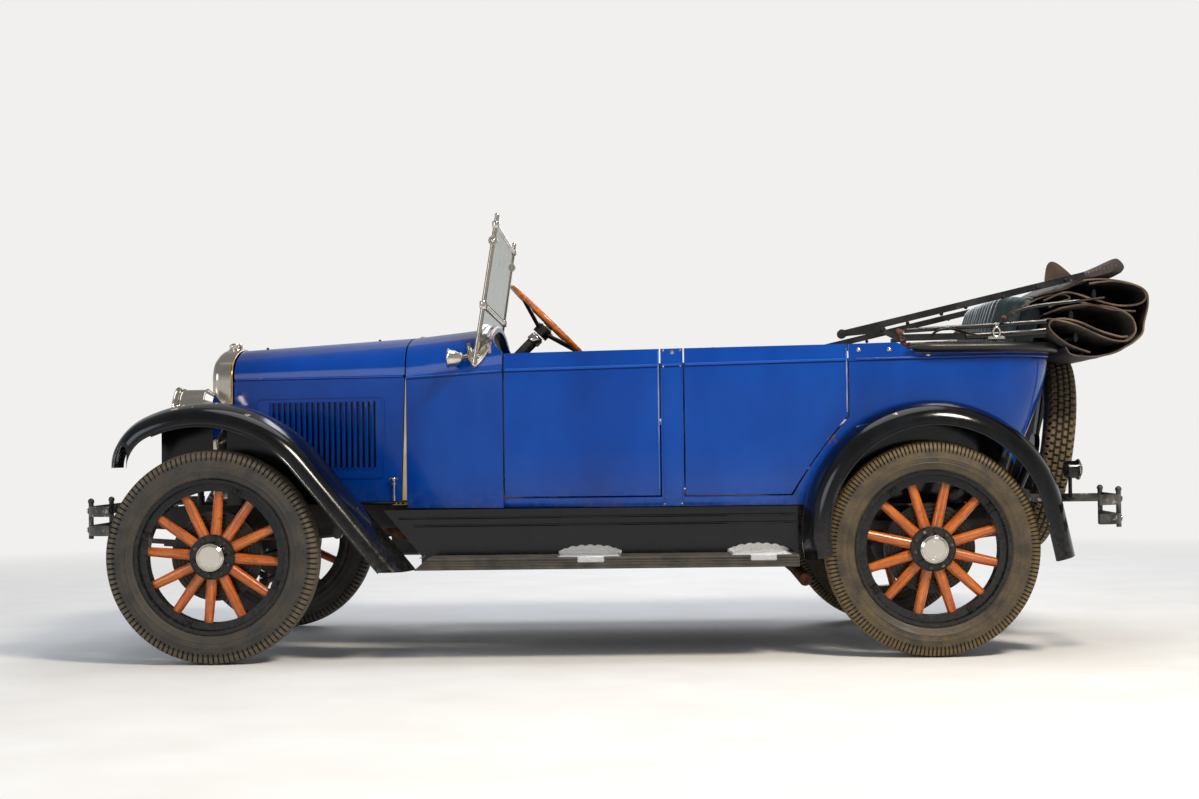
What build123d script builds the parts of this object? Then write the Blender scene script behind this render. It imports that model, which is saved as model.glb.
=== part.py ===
from build123d import *
import math
import os

# Open touring car of the nineteen twenties. Lengths in millimetres, angles in degrees.
# Stations along the car are measured from the front axle, positive towards the rear.
# Y points to the car's right, Z up from the ground. save() moves the origin to mid-length.

# Wheels and axles
WHEELBASE = 2546.0
HALF_TRACK = 711.0
AXLE_HEIGHT = 381.0
TYRE_RADIUS = AXLE_HEIGHT
TYRE_WIDTH = 118.0
BEAD_RADIUS = 267.0
RIM_FLANGE_RADIUS = 274.0
RIM_WIDTH = 96.0
FELLOE_INNER_RADIUS = 234.0
FELLOE_WIDTH = 58.0
FELLOE_THICKNESS = 12.0
SPOKE_COUNT = 12
SPOKE_HUB_RADIUS = 20.0
SPOKE_FELLOE_RADIUS = 16.0
HUB_FLANGE_RADIUS = 80.0
HUB_FLANGE_THICKNESS = 8.0
HUB_NAVE_WIDTH = 52.0
HUB_CAP_RADIUS = 52.0
HUB_CAP_REACH = 74.0
HUB_BARREL_RADIUS = 38.0
DRUM_RADIUS = 160.0
DRUM_WIDTH = 46.0
DRUM_WALL = 5.0
DRUM_OUTER_FACE = 40.0
DRUM_RING_COUNT = 4
DRUM_RING_FIRST = 102.0
DRUM_RING_PITCH = 14.0
DRUM_RING_WIDTH = 6.0
DRUM_RING_PROUD = 3.0
SPOKE_PHASES = {"front": 5.0, "rear": 13.0}
BACKPLATE_THICKNESS = 5.0
BACKPLATE_GAP = 6.0
SPINDLE_RADIUS = 17.0
RUNNING_FIT = 0.05

# Front suspension and steering
KINGPIN_HALF_SPAN = 566.0
KINGPIN_RADIUS = 11.0
KNUCKLE_BARREL_RADIUS = 24.0
KNUCKLE_HALF_HEIGHT = 36.0
EAR_THICKNESS = 16.0
EAR_GAP = 2.0
BEAM_DEPTH = 44.0
BEAM_WIDTH = 40.0
BEAM_WEB = 12.0
BEAM_DROP = 24.0
STEERING_ARM_LENGTH = 150.0
STEERING_ARM_DROP = 82.0
STEERING_ARM_OFFSET = 38.0
STEERING_ARM_RADIUS = 10.0
TIE_PIN_RADIUS = 7.0
TIE_ROD_RADIUS = 12.0
OPEN_PIN_CLEARANCE = 1.0
REAR_TUBE_RADIUS = 38.0
DIFFERENTIAL_RADIUS = 130.0
TORQUE_TUBE_RADIUS = 34.0
GEARBOX_REAR = 1000.0
TRANSMISSION_Z = 470.0
SPRING_HALF_TRACK = 370.0
SPRING_WIDTH = 40.0
LEAF_THICKNESS = 8.0
LEAF_COUNT = 5
SPRING_EYE_RADIUS = 16.0
HANGER_HALF = 13.0

# Frame
RAIL_DEPTH = 85.0
RAIL_WEB = 5.0
RAIL_FLANGE = 42.0
RAIL_OUTER = 392.0
RAIL_TOP = 545.0
FRONT_RAIL_TOP = 552.0
REAR_RAIL_TOP = 640.0
RAIL_KICK_X = 2042.0
FRAME_FRONT = -405.0
FRAME_REAR = 2960.0
CROSSMEMBER_WIDTH = 60.0

# Radiator and hood
SHELL_FRONT = -100.0
SHELL_DEPTH = 80.0
SHELL_BOTTOM = 575.0
SHELL_FACE_BORDER = 36.0
SHELL_PROUD = 4.0
SHELL_FRONT_ROUND = 26.0
CORE_CLEARANCE = 0.5
CORE_DEPTH = 50.0
CORE_SETBACK = 24.0
FIN_PITCH = 12.0
FIN_SLOT = 5.0
FIN_SLOT_DEPTH = 6.0
CAP_X = -62.0
CAP_RADIUS = 25.0
CAP_HEIGHT = 26.0
HOOD_FRONT = -14.0
HOOD_REAR = 654.0
HOOD_SHEET = 4.0
HOOD_BOTTOM = 562.0
HOOD_SHOULDER = 1024.0
HOOD_GAP = 5.0
HOOD_ROD_RADIUS = 4.0
HOOD_FRONT_HALF = 272.0
HOOD_FRONT_TOP = 1148.0
HOOD_FRONT_CORNER = 85.0
HOOD_REAR_HALF = 450.0
HOOD_REAR_TOP = 1187.0
HOOD_REAR_CORNER = 120.0
HOOD_REAR_RAKE = 16.0
HINGE_BEAD_RADIUS = 5.0
HINGE_BEAD_INSET = 2.0
HINGE_BEAD_GAP = 0.4
LOUVRE_COUNT = 19
LOUVRE_PITCH = 22.0
LOUVRE_FIRST = 125.0
LOUVRE_BOTTOM = 685.0
LOUVRE_TOP = 938.0
LOUVRE_WIDTH = 15.0
LOUVRE_PROUD = 6.0
LOUVRE_SKIN = 1.5
PANEL_FRONT = 70.0
PANEL_REAR = 577.0
PANEL_BOTTOM = 648.0
PANEL_TOP = 955.0
PANEL_CORNER = 25.0
PANEL_BEAD_WIDTH = 6.0
PANEL_BEAD_PROUD = 3.0
LEDGE_THICKNESS = 4.0
LEDGE_LAP = 14.0

# Body shell
BODY_FRONT = 1024.0
BODY_BOTTOM = 538.0
BODY_FRONT_HALF = 585.0
BODY_MID_X = 1850.0
BODY_MID_HALF = 626.0
BODY_REAR_HALF = 606.0
BODY_CORNER = 230.0
BODY_REAR_BOW = 12.0
WALL = 40.0
COWL_WALL = 16.0
COWL_REAR_SHOULDER = 1060.0
COWL_REAR_TOP = 1226.0
COWL_REAR_CORNER = 115.0
COWL_CREST_X = 985.0
SHELL_SEAM = 1.0
DOOR_GAP = 5.5
RABBET_GAP = 8.5
RABBET_DEPTH = 12.0
DOOR_BOTTOM = 577.0
FRONT_DOOR_FRONT = 1030.0
FRONT_DOOR_REAR = 1592.0
REAR_DOOR_FRONT = 1683.0
REAR_DOOR_REAR = 2268.0
REAR_DOOR_STEP_Z = 857.0
REAR_DOOR_STEP_X = 2062.0
FLOOR_THICKNESS = 15.0
FLOOR_TOP = RAIL_TOP + FLOOR_THICKNESS
SEAT_PAN_TOP = 664.0
SEAT_PAN_FRONT = 2038.0
FLOOR_CLEARANCE = 3.0

# Fenders and running boards
FENDER_SHEET = 4.0
FENDER_OUTER = 805.0
FENDER_LIP_DROP = 85.0
FRONT_FENDER_INNER = 470.0
REAR_FENDER_INNER = 560.0
FRONT_ARC_X = -34.0
FRONT_ARC_Z = 421.0
FRONT_ARC_RADIUS = 510.0
FRONT_TIP_X = -372.0
FRONT_TIP_Z = 700.0
FRONT_TIP_ANGLE = 115.0
RAMP_ANGLE = 39.4
RAMP_END_X = 732.0
RAMP_END_Z = 322.0
FRONT_SKIRT_Y = 503.0
FRONT_SKIRT_BOTTOM = 705.0
FRONT_SKIRT_FRONT = -235.0
FRONT_SKIRT_REAR = -45.0
REAR_ARC_X = 2558.0
REAR_ARC_Z = 440.0
REAR_ARC_RADIUS = 465.0
REAR_START_ANGLE = 192.0
REAR_TAIL_ANGLE = 12.0
REAR_TAIL_LENGTH = 188.0
BODY_FENDER_GAP = 1.0
BOARD_FRONT = 767.0
BOARD_RAKE = 46.0
BOARD_REAR = 2072.0
BOARD_TOP = 368.0
BOARD_THICKNESS = 40.0
BOARD_INNER = 592.0
APRON_PLANE = 585.0
APRON_TOP = 534.0

# Windshield and steering column
POST_BASE_X = 922.0
POST_BASE_Y = 563.0
POST_BASE_Z = 1062.0
POST_TOP_X = 1008.0
POST_TOP_Y = 507.0
POST_TOP_Z = 1610.0
POST_RADIUS = 8.5
HEADER_Z = 1574.0
MID_BAR_Z = 1277.0
BAR_RADIUS = 9.0
PIVOT_Z = 1513.0
PIVOT_RADIUS = 17.0
GLASS_THICKNESS = 6.0
CROWN_STRIP_WIDTH = 34.0
CROWN_STRIP_HEIGHT = 12.0
COLUMN_Y = -310.0
STEERING_HUB_X = 1190.0
STEERING_HUB_Z = 1220.0
COLUMN_ANGLE = 45.0
COLUMN_RADIUS = 21.0
COLUMN_LENGTH = 790.0
STEERING_RADIUS = 198.0
STEERING_RIM_RADIUS = 11.0
STEERING_DISH = 42.0
STEERING_SPOKES = 4

# Bumpers, lamps, spare, folded top
BUMPER_FACE = -470.0
BUMPER_HALF = 762.0
BUMPER_BAR_HEIGHT = 36.0
BUMPER_BAR_THICKNESS = 8.0
BUMPER_UPPER_Z = 546.0
BUMPER_LOWER_Z = 478.0
BUMPER_END_RADIUS = 95.0
BUMPER_POST_Y = 640.0
REAR_BUMPER_FACE = 3236.0
REAR_BUMPER_INNER = 330.0
HEADLAMP_Y = 380.0
HEADLAMP_Z = 884.0
HEADLAMP_RADIUS = 108.0
HEADLAMP_FRONT = -206.0
HEADLAMP_REAR = -34.0
COWL_LAMP_X = 852.0
COWL_LAMP_Y = 574.0
COWL_LAMP_Z = 1081.0
COWL_LAMP_RADIUS = 33.0
COWL_LAMP_LENGTH = 58.0
TAIL_LAMP_X = 3092.0
TAIL_LAMP_Y = 470.0
TAIL_LAMP_Z = 650.0
TAIL_LAMP_RADIUS = 36.0
SPARE_X = 3078.0
SPARE_Z = 722.0
SPARE_LEAN = 9.0
CLOTH_HALF = 575.0
CLOTH_REAR = 3366.0
SOFT_CLEARANCE = 12.0
IRON_Y = 592.0
IRON_THICKNESS = 12.0
IRON_WIDTH = 24.0

MID_X = (BUMPER_FACE + CLOTH_REAR) / 2


def save(name, *solids):
    """Write one node, moved so that the origin lies at mid-length on the ground."""
    placed = [Pos(-MID_X, 0, 0) * piece for shape in solids for piece in shape.solids()]
    export_step(placed[0] if len(placed) == 1 else Compound(children=placed), f"parts/{name}.step")


def block(x_span, y_span, z_span):
    """Box between the given limits."""
    spans = (x_span, y_span, z_span)
    centre = [(low + high) / 2 for low, high in spans]
    return Pos(*centre) * Box(*[high - low for low, high in spans])


def mirrored(shape):
    """The same shape on the other side of the car."""
    return mirror(shape, about=Plane.XZ)


def rod(start, end, radius):
    """Round bar between two points."""
    start, end = Vector(*start), Vector(*end)
    run = end - start
    return extrude(Plane(origin=start, z_dir=run) * Circle(radius), run.length)


def bent_tube(points, radius, bend):
    """Round bar along a route of straight runs and tangent bends."""
    path = FilletPolyline(*points, radius=bend)
    section = Plane(origin=path @ 0, z_dir=path % 0) * Circle(radius)
    return sweep(section, path=path)


def lathe(profile, origin, direction, across):
    """Turned piece: profile points are (radius, distance along the axis)."""
    plane = Plane(origin=origin, x_dir=across, z_dir=direction)
    face = make_face(Polyline(*[(r, 0, h) for r, h in profile], close=True))
    return plane * revolve(face, Axis.Z)


def side_plate(points, y_span):
    """Plate parallel to the car's side: outline points are (station, height)."""
    low, high = y_span
    face = make_face(Polyline(*[(x, low, z) for x, z in points], close=True))
    return extrude(face, high - low, dir=(0, 1, 0))


def strip(edges, thickness):
    """Sheet section: a chain of arcs and the same chain moved square to itself."""
    inner = []
    for edge in edges:
        moved = []
        for place in (0, 0.5, 1):
            along = edge % place
            moved.append(edge @ place + Vector(along.Y, -along.X) * thickness)
        inner.append(ThreePointArc(*moved))
    ends = [Line(edges[0] @ 0, inner[0] @ 0), Line(edges[-1] @ 1, inner[-1] @ 1)]
    return make_face(list(edges) + inner + ends)


# Hood and cowl sections

def crown_section(station, half, shoulder, top, corner, bottom, inset=0.0):
    """Outline across the car: upright sides, round shoulders and a shallow crown."""
    w, z_top, r = half - inset, top - inset, corner - inset
    reach, rise = w - r, z_top - shoulder
    big = (reach ** 2 + rise ** 2 - r ** 2) / (2 * (rise - r))
    angle = math.atan2(shoulder - z_top + big, reach)
    mid_angle = angle / 2
    touch = (reach + r * math.cos(angle), shoulder + r * math.sin(angle))
    middle = (reach + r * math.cos(mid_angle), shoulder + r * math.sin(mid_angle))
    plane = Plane(origin=(station, 0, 0), x_dir=(0, 1, 0), z_dir=(1, 0, 0))
    outline = [
        Line((-w, bottom), (-w, shoulder)),
        ThreePointArc((-w, shoulder), (-middle[0], middle[1]), (-touch[0], touch[1])),
        ThreePointArc((-touch[0], touch[1]), (0, z_top), touch),
        ThreePointArc(touch, middle, (w, shoulder)),
        Line((w, shoulder), (w, bottom)),
        Line((w, bottom), (-w, bottom)),
    ]
    return plane * make_face(outline)


def hood_solid(inset, bottom):
    """The hood's filled form between the radiator shell and the cowl."""
    front = crown_section(HOOD_FRONT, HOOD_FRONT_HALF, HOOD_SHOULDER, HOOD_FRONT_TOP,
                          HOOD_FRONT_CORNER, bottom, inset)
    rear = crown_section(HOOD_REAR, HOOD_REAR_HALF, HOOD_SHOULDER, HOOD_REAR_TOP,
                         HOOD_REAR_CORNER, bottom, inset)
    return loft([front, rear], ruled=True)


def cowl_solid(inset, bottom):
    """The cowl's filled form between the hood and the front doors."""
    front = crown_section(HOOD_REAR + HOOD_GAP, HOOD_REAR_HALF, HOOD_SHOULDER, HOOD_REAR_TOP,
                          HOOD_REAR_CORNER, bottom, inset)
    rear = crown_section(BODY_FRONT, BODY_FRONT_HALF, COWL_REAR_SHOULDER, COWL_REAR_TOP,
                         COWL_REAR_CORNER, bottom, inset)
    return loft([front, rear], ruled=True)


def hood_panels():
    """Left top leaf, and left side leaf with its hinge bead, louvres and pressed frame."""
    shell = hood_solid(0.0, HOOD_BOTTOM) - hood_solid(HOOD_SHEET, HOOD_BOTTOM - 1)
    centre_gap = HOOD_ROD_RADIUS + 3.0
    top_low = HOOD_SHOULDER + HINGE_BEAD_RADIUS + HINGE_BEAD_GAP
    side_high = HOOD_SHOULDER - HINGE_BEAD_RADIUS + 0.5
    top = shell & block((HOOD_FRONT - 1, HOOD_REAR + 1), (-700, -centre_gap), (top_low, 1400))
    leaf = [(HOOD_FRONT - 1, HOOD_BOTTOM), (HOOD_REAR - HOOD_REAR_RAKE, HOOD_BOTTOM), (HOOD_REAR, side_high),
            (HOOD_FRONT - 1, side_high)]
    side = shell & side_plate(leaf, (-700, -centre_gap))
    pressings = [hinge_bead(), panel_bead()] + [louvre(index) for index in range(LOUVRE_COUNT)]
    return top, side + pressings


def hood_hinge_rod():
    """Rod along the middle of the hood, from the radiator shell into the cowl."""
    start = (HOOD_FRONT - 5, 0, HOOD_FRONT_TOP - HOOD_ROD_RADIUS)
    end = (HOOD_REAR + HOOD_GAP + 3, 0, HOOD_REAR_TOP - HOOD_ROD_RADIUS)
    return rod(start, end, HOOD_ROD_RADIUS)


def hood_side_half(station):
    """Half-width of the hood's side at a station."""
    share = (station - HOOD_FRONT) / (HOOD_REAR - HOOD_FRONT)
    return HOOD_FRONT_HALF + share * (HOOD_REAR_HALF - HOOD_FRONT_HALF)


def hood_side_plane(station):
    """Plane of the hood's left side: x runs back along it, y is height, z points outward."""
    along = Vector(HOOD_REAR - HOOD_FRONT, HOOD_FRONT_HALF - HOOD_REAR_HALF, 0)
    outward = Vector(along.Y, -along.X, 0)
    return Plane(origin=(station, -hood_side_half(station), 0), x_dir=along, z_dir=outward)


def hinge_bead():
    """Round bead along the shoulder, on which the side leaf turns under the top leaf."""
    ends = []
    for station in (HOOD_FRONT + HINGE_BEAD_RADIUS, HOOD_REAR - HINGE_BEAD_RADIUS):
        ends.append((station, HINGE_BEAD_INSET - hood_side_half(station), HOOD_SHOULDER))
    return rod(ends[0], ends[1], HINGE_BEAD_RADIUS)


def panel_bead():
    """Raised bead with round corners that frames the louvres."""
    middle = (PANEL_FRONT + PANEL_REAR) / 2
    stretch = 1 / math.cos(math.atan2(HOOD_REAR_HALF - HOOD_FRONT_HALF, HOOD_REAR - HOOD_FRONT))
    width, height = (PANEL_REAR - PANEL_FRONT) * stretch, PANEL_TOP - PANEL_BOTTOM
    ring = RectangleRounded(width, height, PANEL_CORNER) - RectangleRounded(
        width - 2 * PANEL_BEAD_WIDTH, height - 2 * PANEL_BEAD_WIDTH, PANEL_CORNER - PANEL_BEAD_WIDTH)
    bead = Pos(0, (PANEL_TOP + PANEL_BOTTOM) / 2, -1) * extrude(ring, PANEL_BEAD_PROUD + 1)
    return hood_side_plane(middle) * bead


def louvre_ridge(shift, shorten):
    """Filled louvre on its panel: low at the front, square at the rear, round at its ends."""
    height = LOUVRE_TOP - LOUVRE_BOTTOM
    rise = ThreePointArc((0, 0, 0), (LOUVRE_WIDTH * 0.45, 0, LOUVRE_PROUD * 0.72), (LOUVRE_WIDTH, 0, LOUVRE_PROUD))
    back = Polyline((LOUVRE_WIDTH, 0, LOUVRE_PROUD), (LOUVRE_WIDTH, 0, -1), (0, 0, -1), (0, 0, 0))
    wedge = extrude(make_face([rise] + back.edges()), height, dir=(0, 1, 0))
    slot = Pos(LOUVRE_WIDTH / 2, height / 2, -1) * extrude(
        RectangleRounded(LOUVRE_WIDTH, height - 2 * shorten, LOUVRE_WIDTH * 0.48), LOUVRE_PROUD + 2)
    return Pos(shift, 0, -shift / 2) * (wedge & slot)


def louvre(index):
    """One pressed louvre of the hood's left side, open to the rear."""
    pressed = louvre_ridge(0.0, 0.0) - louvre_ridge(2 * LOUVRE_SKIN, 2 * LOUVRE_SKIN)
    plane = hood_side_plane(LOUVRE_FIRST + index * LOUVRE_PITCH)
    return plane * (Pos(0, LOUVRE_BOTTOM, 0) * pressed)


# Body shell

# height, inward tuck of the sides, station of the rear panel
BODY_SECTIONS = (
    (BODY_BOTTOM, 26.0, 2872.0),
    (740.0, 1.0, 2941.0),
    (900.0, 0.0, 3005.0),
    (1045.0, 0.0, 3041.0),
    (1120.0, 9.0, 3040.0),
)

# station, height of the body's top edge
TOP_EDGE = (
    (1024.0, 1097.0),
    (1640.0, 1105.0),
    (2268.0, 1113.0),
    (2446.0, 1117.0),
    (2520.0, 1079.0),
    (3100.0, 1079.0),
)


def plan_outline(height, tuck, rear, inset):
    """Plan of the body at one height."""
    front = BODY_FRONT + SHELL_SEAM - (20.0 if inset > 0 else 0.0)
    w_front, w_mid, w_rear = [w - tuck - inset for w in (BODY_FRONT_HALF, BODY_MID_HALF, BODY_REAR_HALF)]
    back = rear - inset
    c = BODY_CORNER - inset * 0.5
    diagonal = c * math.sqrt(0.5)
    start = (back - c, w_rear)
    end = (back - BODY_REAR_BOW, w_rear - c)
    middle = (back - c - BODY_REAR_BOW / 2 + diagonal, w_rear - c + diagonal)
    right = [
        ThreePointArc((front, w_front), (BODY_MID_X, w_mid), start),
        ThreePointArc(start, middle, end),
    ]
    left = [mirrored(edge) for edge in right]
    across = [
        Line((front, w_front), (front, -w_front)),
        ThreePointArc(end, (back, 0), (end[0], -end[1])),
    ]
    return Pos(0, 0, height) * make_face(right + left + across)


def body_solid(inset):
    """The body's filled form behind the cowl; a negative inset makes it fuller."""
    return loft([plan_outline(z, tuck, rear, inset) for z, tuck, rear in BODY_SECTIONS])


def above_top_edge():
    """Everything above the body's top edge."""
    outline = list(TOP_EDGE) + [(TOP_EDGE[-1][0], 1300.0), (900.0, 1300.0), (900.0, TOP_EDGE[0][1])]
    return side_plate(outline, (-800, 800))


def door_outline(front, rear, stepped, grow=0.0):
    """Filled outline of a door in side view, far enough across to cut one wall."""
    bottom = DOOR_BOTTOM - grow
    left, right, top = front - grow, rear + grow, 1300.0
    if not stepped:
        edges = Polyline((left, bottom), (right, bottom), (right, top), (left, top), close=True)
        return extrude(Plane.XZ * make_face(edges), 400) + Pos(0, -300, 0) * extrude(
            Plane.XZ * make_face(edges), 400)
    step_x, step_z = REAR_DOOR_STEP_X + grow, REAR_DOOR_STEP_Z - grow
    radius = REAR_ARC_RADIUS + 34.0 - grow
    middle_angle = math.radians(157)
    middle = (REAR_ARC_X + radius * math.cos(middle_angle), REAR_ARC_Z + radius * math.sin(middle_angle))
    edges = [
        Line((left, bottom), (step_x, bottom)),
        ThreePointArc((step_x, bottom), middle, (right, step_z)),
        Line((right, step_z), (right, top)),
        Line((right, top), (left, top)),
        Line((left, top), (left, bottom)),
    ]
    return extrude(Plane.XZ * make_face(edges), 800)


def body_panels():
    """Doors, pillars with sills, and the rear tub, all cut from one shell."""
    shell = body_solid(0.0) - body_solid(WALL) - above_top_edge()
    left_half = block((900, 3200), (-800, 0), (400, 1400))
    left_shell = shell & left_half
    fronts = door_outline(FRONT_DOOR_FRONT, FRONT_DOOR_REAR, False)
    rears = door_outline(REAR_DOOR_FRONT, REAR_DOOR_REAR, True)
    front_door = left_shell & fronts
    rear_door = left_shell & rears
    gap_front = door_outline(FRONT_DOOR_FRONT, FRONT_DOOR_REAR, False, DOOR_GAP)
    gap_rear = door_outline(REAR_DOOR_FRONT, REAR_DOOR_REAR, True, DOOR_GAP)
    core = body_solid(RABBET_DEPTH)
    rabbet = door_outline(FRONT_DOOR_FRONT, FRONT_DOOR_REAR, False, RABBET_GAP) + door_outline(
        REAR_DOOR_FRONT, REAR_DOOR_REAR, True, RABBET_GAP)
    rabbet = rabbet & core
    rest = shell - gap_front - mirrored(gap_front) - gap_rear - mirrored(gap_rear)
    rest = rest - rabbet - mirrored(rabbet)
    tub_start = REAR_DOOR_STEP_X + 20.0
    tub = rest & block((tub_start + SHELL_SEAM, 3200), (-800, 800), (400, 1400))
    notch = block((2700, 3000), (-RAIL_OUTER - 4, -RAIL_OUTER + RAIL_FLANGE + 4), (400, REAR_RAIL_TOP + 4))
    tub = tub - notch - mirrored(notch)
    frame = rest & block((900, tub_start), (-800, 800), (400, 1400))
    return front_door, rear_door, frame, tub


def cowl():
    """Scuttle shell with its curved rear edge."""
    shell = cowl_solid(0.0, BODY_BOTTOM) - cowl_solid(COWL_WALL, BODY_BOTTOM - 1)
    curve = [
        Line((BODY_FRONT + 80, TOP_EDGE[0][1]), (BODY_FRONT + 80, 1400)),
        Line((BODY_FRONT + 80, 1400), (COWL_CREST_X, 1400)),
        Line((COWL_CREST_X, 1400), (COWL_CREST_X, 1190)),
        ThreePointArc((COWL_CREST_X, 1190), (COWL_CREST_X + 14, 1128), (BODY_FRONT + 16, TOP_EDGE[0][1])),
        Line((BODY_FRONT + 16, TOP_EDGE[0][1]), (BODY_FRONT + 80, TOP_EDGE[0][1])),
    ]
    cutter = extrude(Plane.XZ * make_face(curve), 800, both=True)
    return shell - cutter + hood_hinge_rod()


def dashboard():
    """Firewall behind the engine, toe board and instrument panel."""
    column = column_clearance()
    fill = cowl_solid(COWL_WALL + 1.0, FLOOR_TOP + 2.0)
    firewall = fill & block((HOOD_REAR + HOOD_GAP + 4, HOOD_REAR + HOOD_GAP + 12), (-600, 600), (500, 1300))
    panel = fill & block((COWL_CREST_X - 42, COWL_CREST_X - 30), (-600, 600), (1078, 1300))
    board = side_plate([(690, 800), (880, 574), (895, 586), (705, 812)], (-560, 560)) & fill
    return [piece - column for piece in (firewall, panel, board)]


def floor():
    """Floor boards, heel board and rear seat pan."""
    room = body_solid(WALL + FLOOR_CLEARANCE)
    front_room = cowl_solid(COWL_WALL + FLOOR_CLEARANCE, 500)
    under = RAIL_TOP
    boards = block((900, SEAT_PAN_FRONT), (-640, 640), (under, FLOOR_TOP))
    front = boards & front_room & block((900, BODY_FRONT), (-640, 640), (0, 1000))
    rear = boards & room & block((BODY_FRONT, 3000), (-640, 640), (0, 1000))
    heel = block((SEAT_PAN_FRONT - FLOOR_THICKNESS, SEAT_PAN_FRONT), (-640, 640), (under, SEAT_PAN_TOP)) & room
    pan = block((SEAT_PAN_FRONT - FLOOR_THICKNESS, 3000), (-640, 640),
                (SEAT_PAN_TOP - FLOOR_THICKNESS, SEAT_PAN_TOP)) & room
    return front + rear + heel + pan


# Fenders

def fender_section(inner, lip_drop):
    """Crowned fender section: x is the distance from the car's middle, y is height."""
    crown = (inner + FENDER_OUTER) / 2 + 12.0
    shoulder = (FENDER_OUTER - 40.0, -20.0)
    across = ThreePointArc((inner, -34.0), (crown, 0), shoulder)
    skirt = TangentArc(shoulder, (FENDER_OUTER - 2.0, -lip_drop), tangent=across % 1)
    return strip([across, skirt], FENDER_SHEET)


def crown_drop(distance):
    """How far the front fender's top lies below its crest, at a distance from the car's middle."""
    crown = (FRONT_FENDER_INNER + FENDER_OUTER) / 2 + 12.0
    arc = ThreePointArc((FRONT_FENDER_INNER, -34.0), (crown, 0), (FENDER_OUTER - 40.0, -20.0))
    centre = arc.arc_center
    return -(centre.Y + math.sqrt(arc.radius ** 2 - (distance - centre.X) ** 2))


def arc_point(centre_x, centre_z, radius, angle):
    """Point on a circle in the side view."""
    turn = math.radians(angle)
    return Vector(centre_x + radius * math.cos(turn), 0, centre_z + radius * math.sin(turn))


def front_fender_path():
    """Tip, crown and straight ramp of the front fender."""
    crest = arc_point(FRONT_ARC_X, FRONT_ARC_Z, FRONT_ARC_RADIUS, FRONT_TIP_ANGLE)
    ramp = arc_point(FRONT_ARC_X, FRONT_ARC_Z, FRONT_ARC_RADIUS, RAMP_ANGLE)
    top = arc_point(FRONT_ARC_X, FRONT_ARC_Z, FRONT_ARC_RADIUS, 80.0)
    slope = math.tan(math.radians(90 - RAMP_ANGLE))
    end = Vector(RAMP_END_X, 0, ramp.Z - (RAMP_END_X - ramp.X) * slope)
    crown = ThreePointArc(crest, top, ramp)
    tip = TangentArc(crest, Vector(FRONT_TIP_X, 0, FRONT_TIP_Z), tangent=(crown % 0) * -1)
    return tip, crown, Line(ramp, end)


def front_fender():
    """Left front fender with its inner valance."""
    tip, crown, ramp = front_fender_path()
    path = Wire([Line(ramp @ 1, ramp @ 0), crown, tip])
    forward = (ramp @ 0) - (ramp @ 1)
    plane = Plane(origin=ramp @ 1, x_dir=(0, -1, 0), z_dir=forward)
    blade = sweep(plane * fender_section(FRONT_FENDER_INNER, FENDER_LIP_DROP), path=path)
    corner = block((FRONT_TIP_X - 60, FRONT_TIP_X + 150), (-FENDER_OUTER - 10, -FENDER_OUTER + 140), (500, 1000))
    corner -= Pos(FRONT_TIP_X + 150, -FENDER_OUTER + 140, 750) * Cylinder(150, 600)
    blade -= corner
    blade -= block((RAMP_END_X - 200, RAMP_END_X + 200), (-FENDER_OUTER - 10, -400), (RAMP_END_Z - 150, RAMP_END_Z))
    lamp_bay = Polyline((-8, -400), (-8, -FRONT_FENDER_INNER), (-40, -500), (-240, -506), (-420, -585), (-420, -400),
                        close=True)
    blade -= extrude(Pos(0, 0, 500) * make_face(lamp_bay), 600)
    return blade + fender_valance() + fender_skirt()


def fender_valance():
    """Upright sheet from the left front fender's inner edge down to the ledge beside the hood."""
    low = HOOD_BOTTOM - LEDGE_THICKNESS - 2.0
    inner_radius = FRONT_ARC_RADIUS - crown_drop(FRONT_FENDER_INNER + 1)
    front = arc_point(FRONT_ARC_X, FRONT_ARC_Z, inner_radius, 86.0)
    top = arc_point(FRONT_ARC_X, FRONT_ARC_Z, inner_radius, 75.0)
    turn = arc_point(FRONT_ARC_X, FRONT_ARC_Z, inner_radius, RAMP_ANGLE)
    slope = math.tan(math.radians(90 - RAMP_ANGLE))
    foot = Vector(turn.X + (turn.Z - low) / slope, 0, low)
    outline = [
        Line((front.X, 0, low), front),
        ThreePointArc(front, top, turn),
        Line(turn, foot),
        Line(foot, (front.X, 0, low)),
    ]
    valance = extrude(make_face(outline), FENDER_SHEET + 1, dir=(0, -1, 0))
    return Pos(0, -FRONT_FENDER_INNER - 1, 0) * valance


def fender_skirt():
    """Upright sheet below the left front fender beside the headlamp, clear of the steered wheel."""
    radius = FRONT_ARC_RADIUS - crown_drop(FRONT_SKIRT_Y + FENDER_SHEET) - 1.0
    ends = []
    for station in (FRONT_SKIRT_FRONT, FRONT_SKIRT_REAR):
        ends.append((station, 0, FRONT_ARC_Z + math.sqrt(radius ** 2 - (station - FRONT_ARC_X) ** 2)))
    middle_x = (FRONT_SKIRT_FRONT + FRONT_SKIRT_REAR) / 2
    middle = (middle_x, 0, FRONT_ARC_Z + math.sqrt(radius ** 2 - (middle_x - FRONT_ARC_X) ** 2))
    outline = [
        ThreePointArc(ends[0], middle, ends[1]),
        Line(ends[1], (FRONT_SKIRT_REAR, 0, FRONT_SKIRT_BOTTOM)),
        Line((FRONT_SKIRT_REAR, 0, FRONT_SKIRT_BOTTOM), (FRONT_SKIRT_FRONT, 0, FRONT_SKIRT_BOTTOM)),
        Line((FRONT_SKIRT_FRONT, 0, FRONT_SKIRT_BOTTOM), ends[0]),
    ]
    return Pos(0, -FRONT_SKIRT_Y, 0) * extrude(make_face(outline), FENDER_SHEET, dir=(0, -1, 0))


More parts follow.
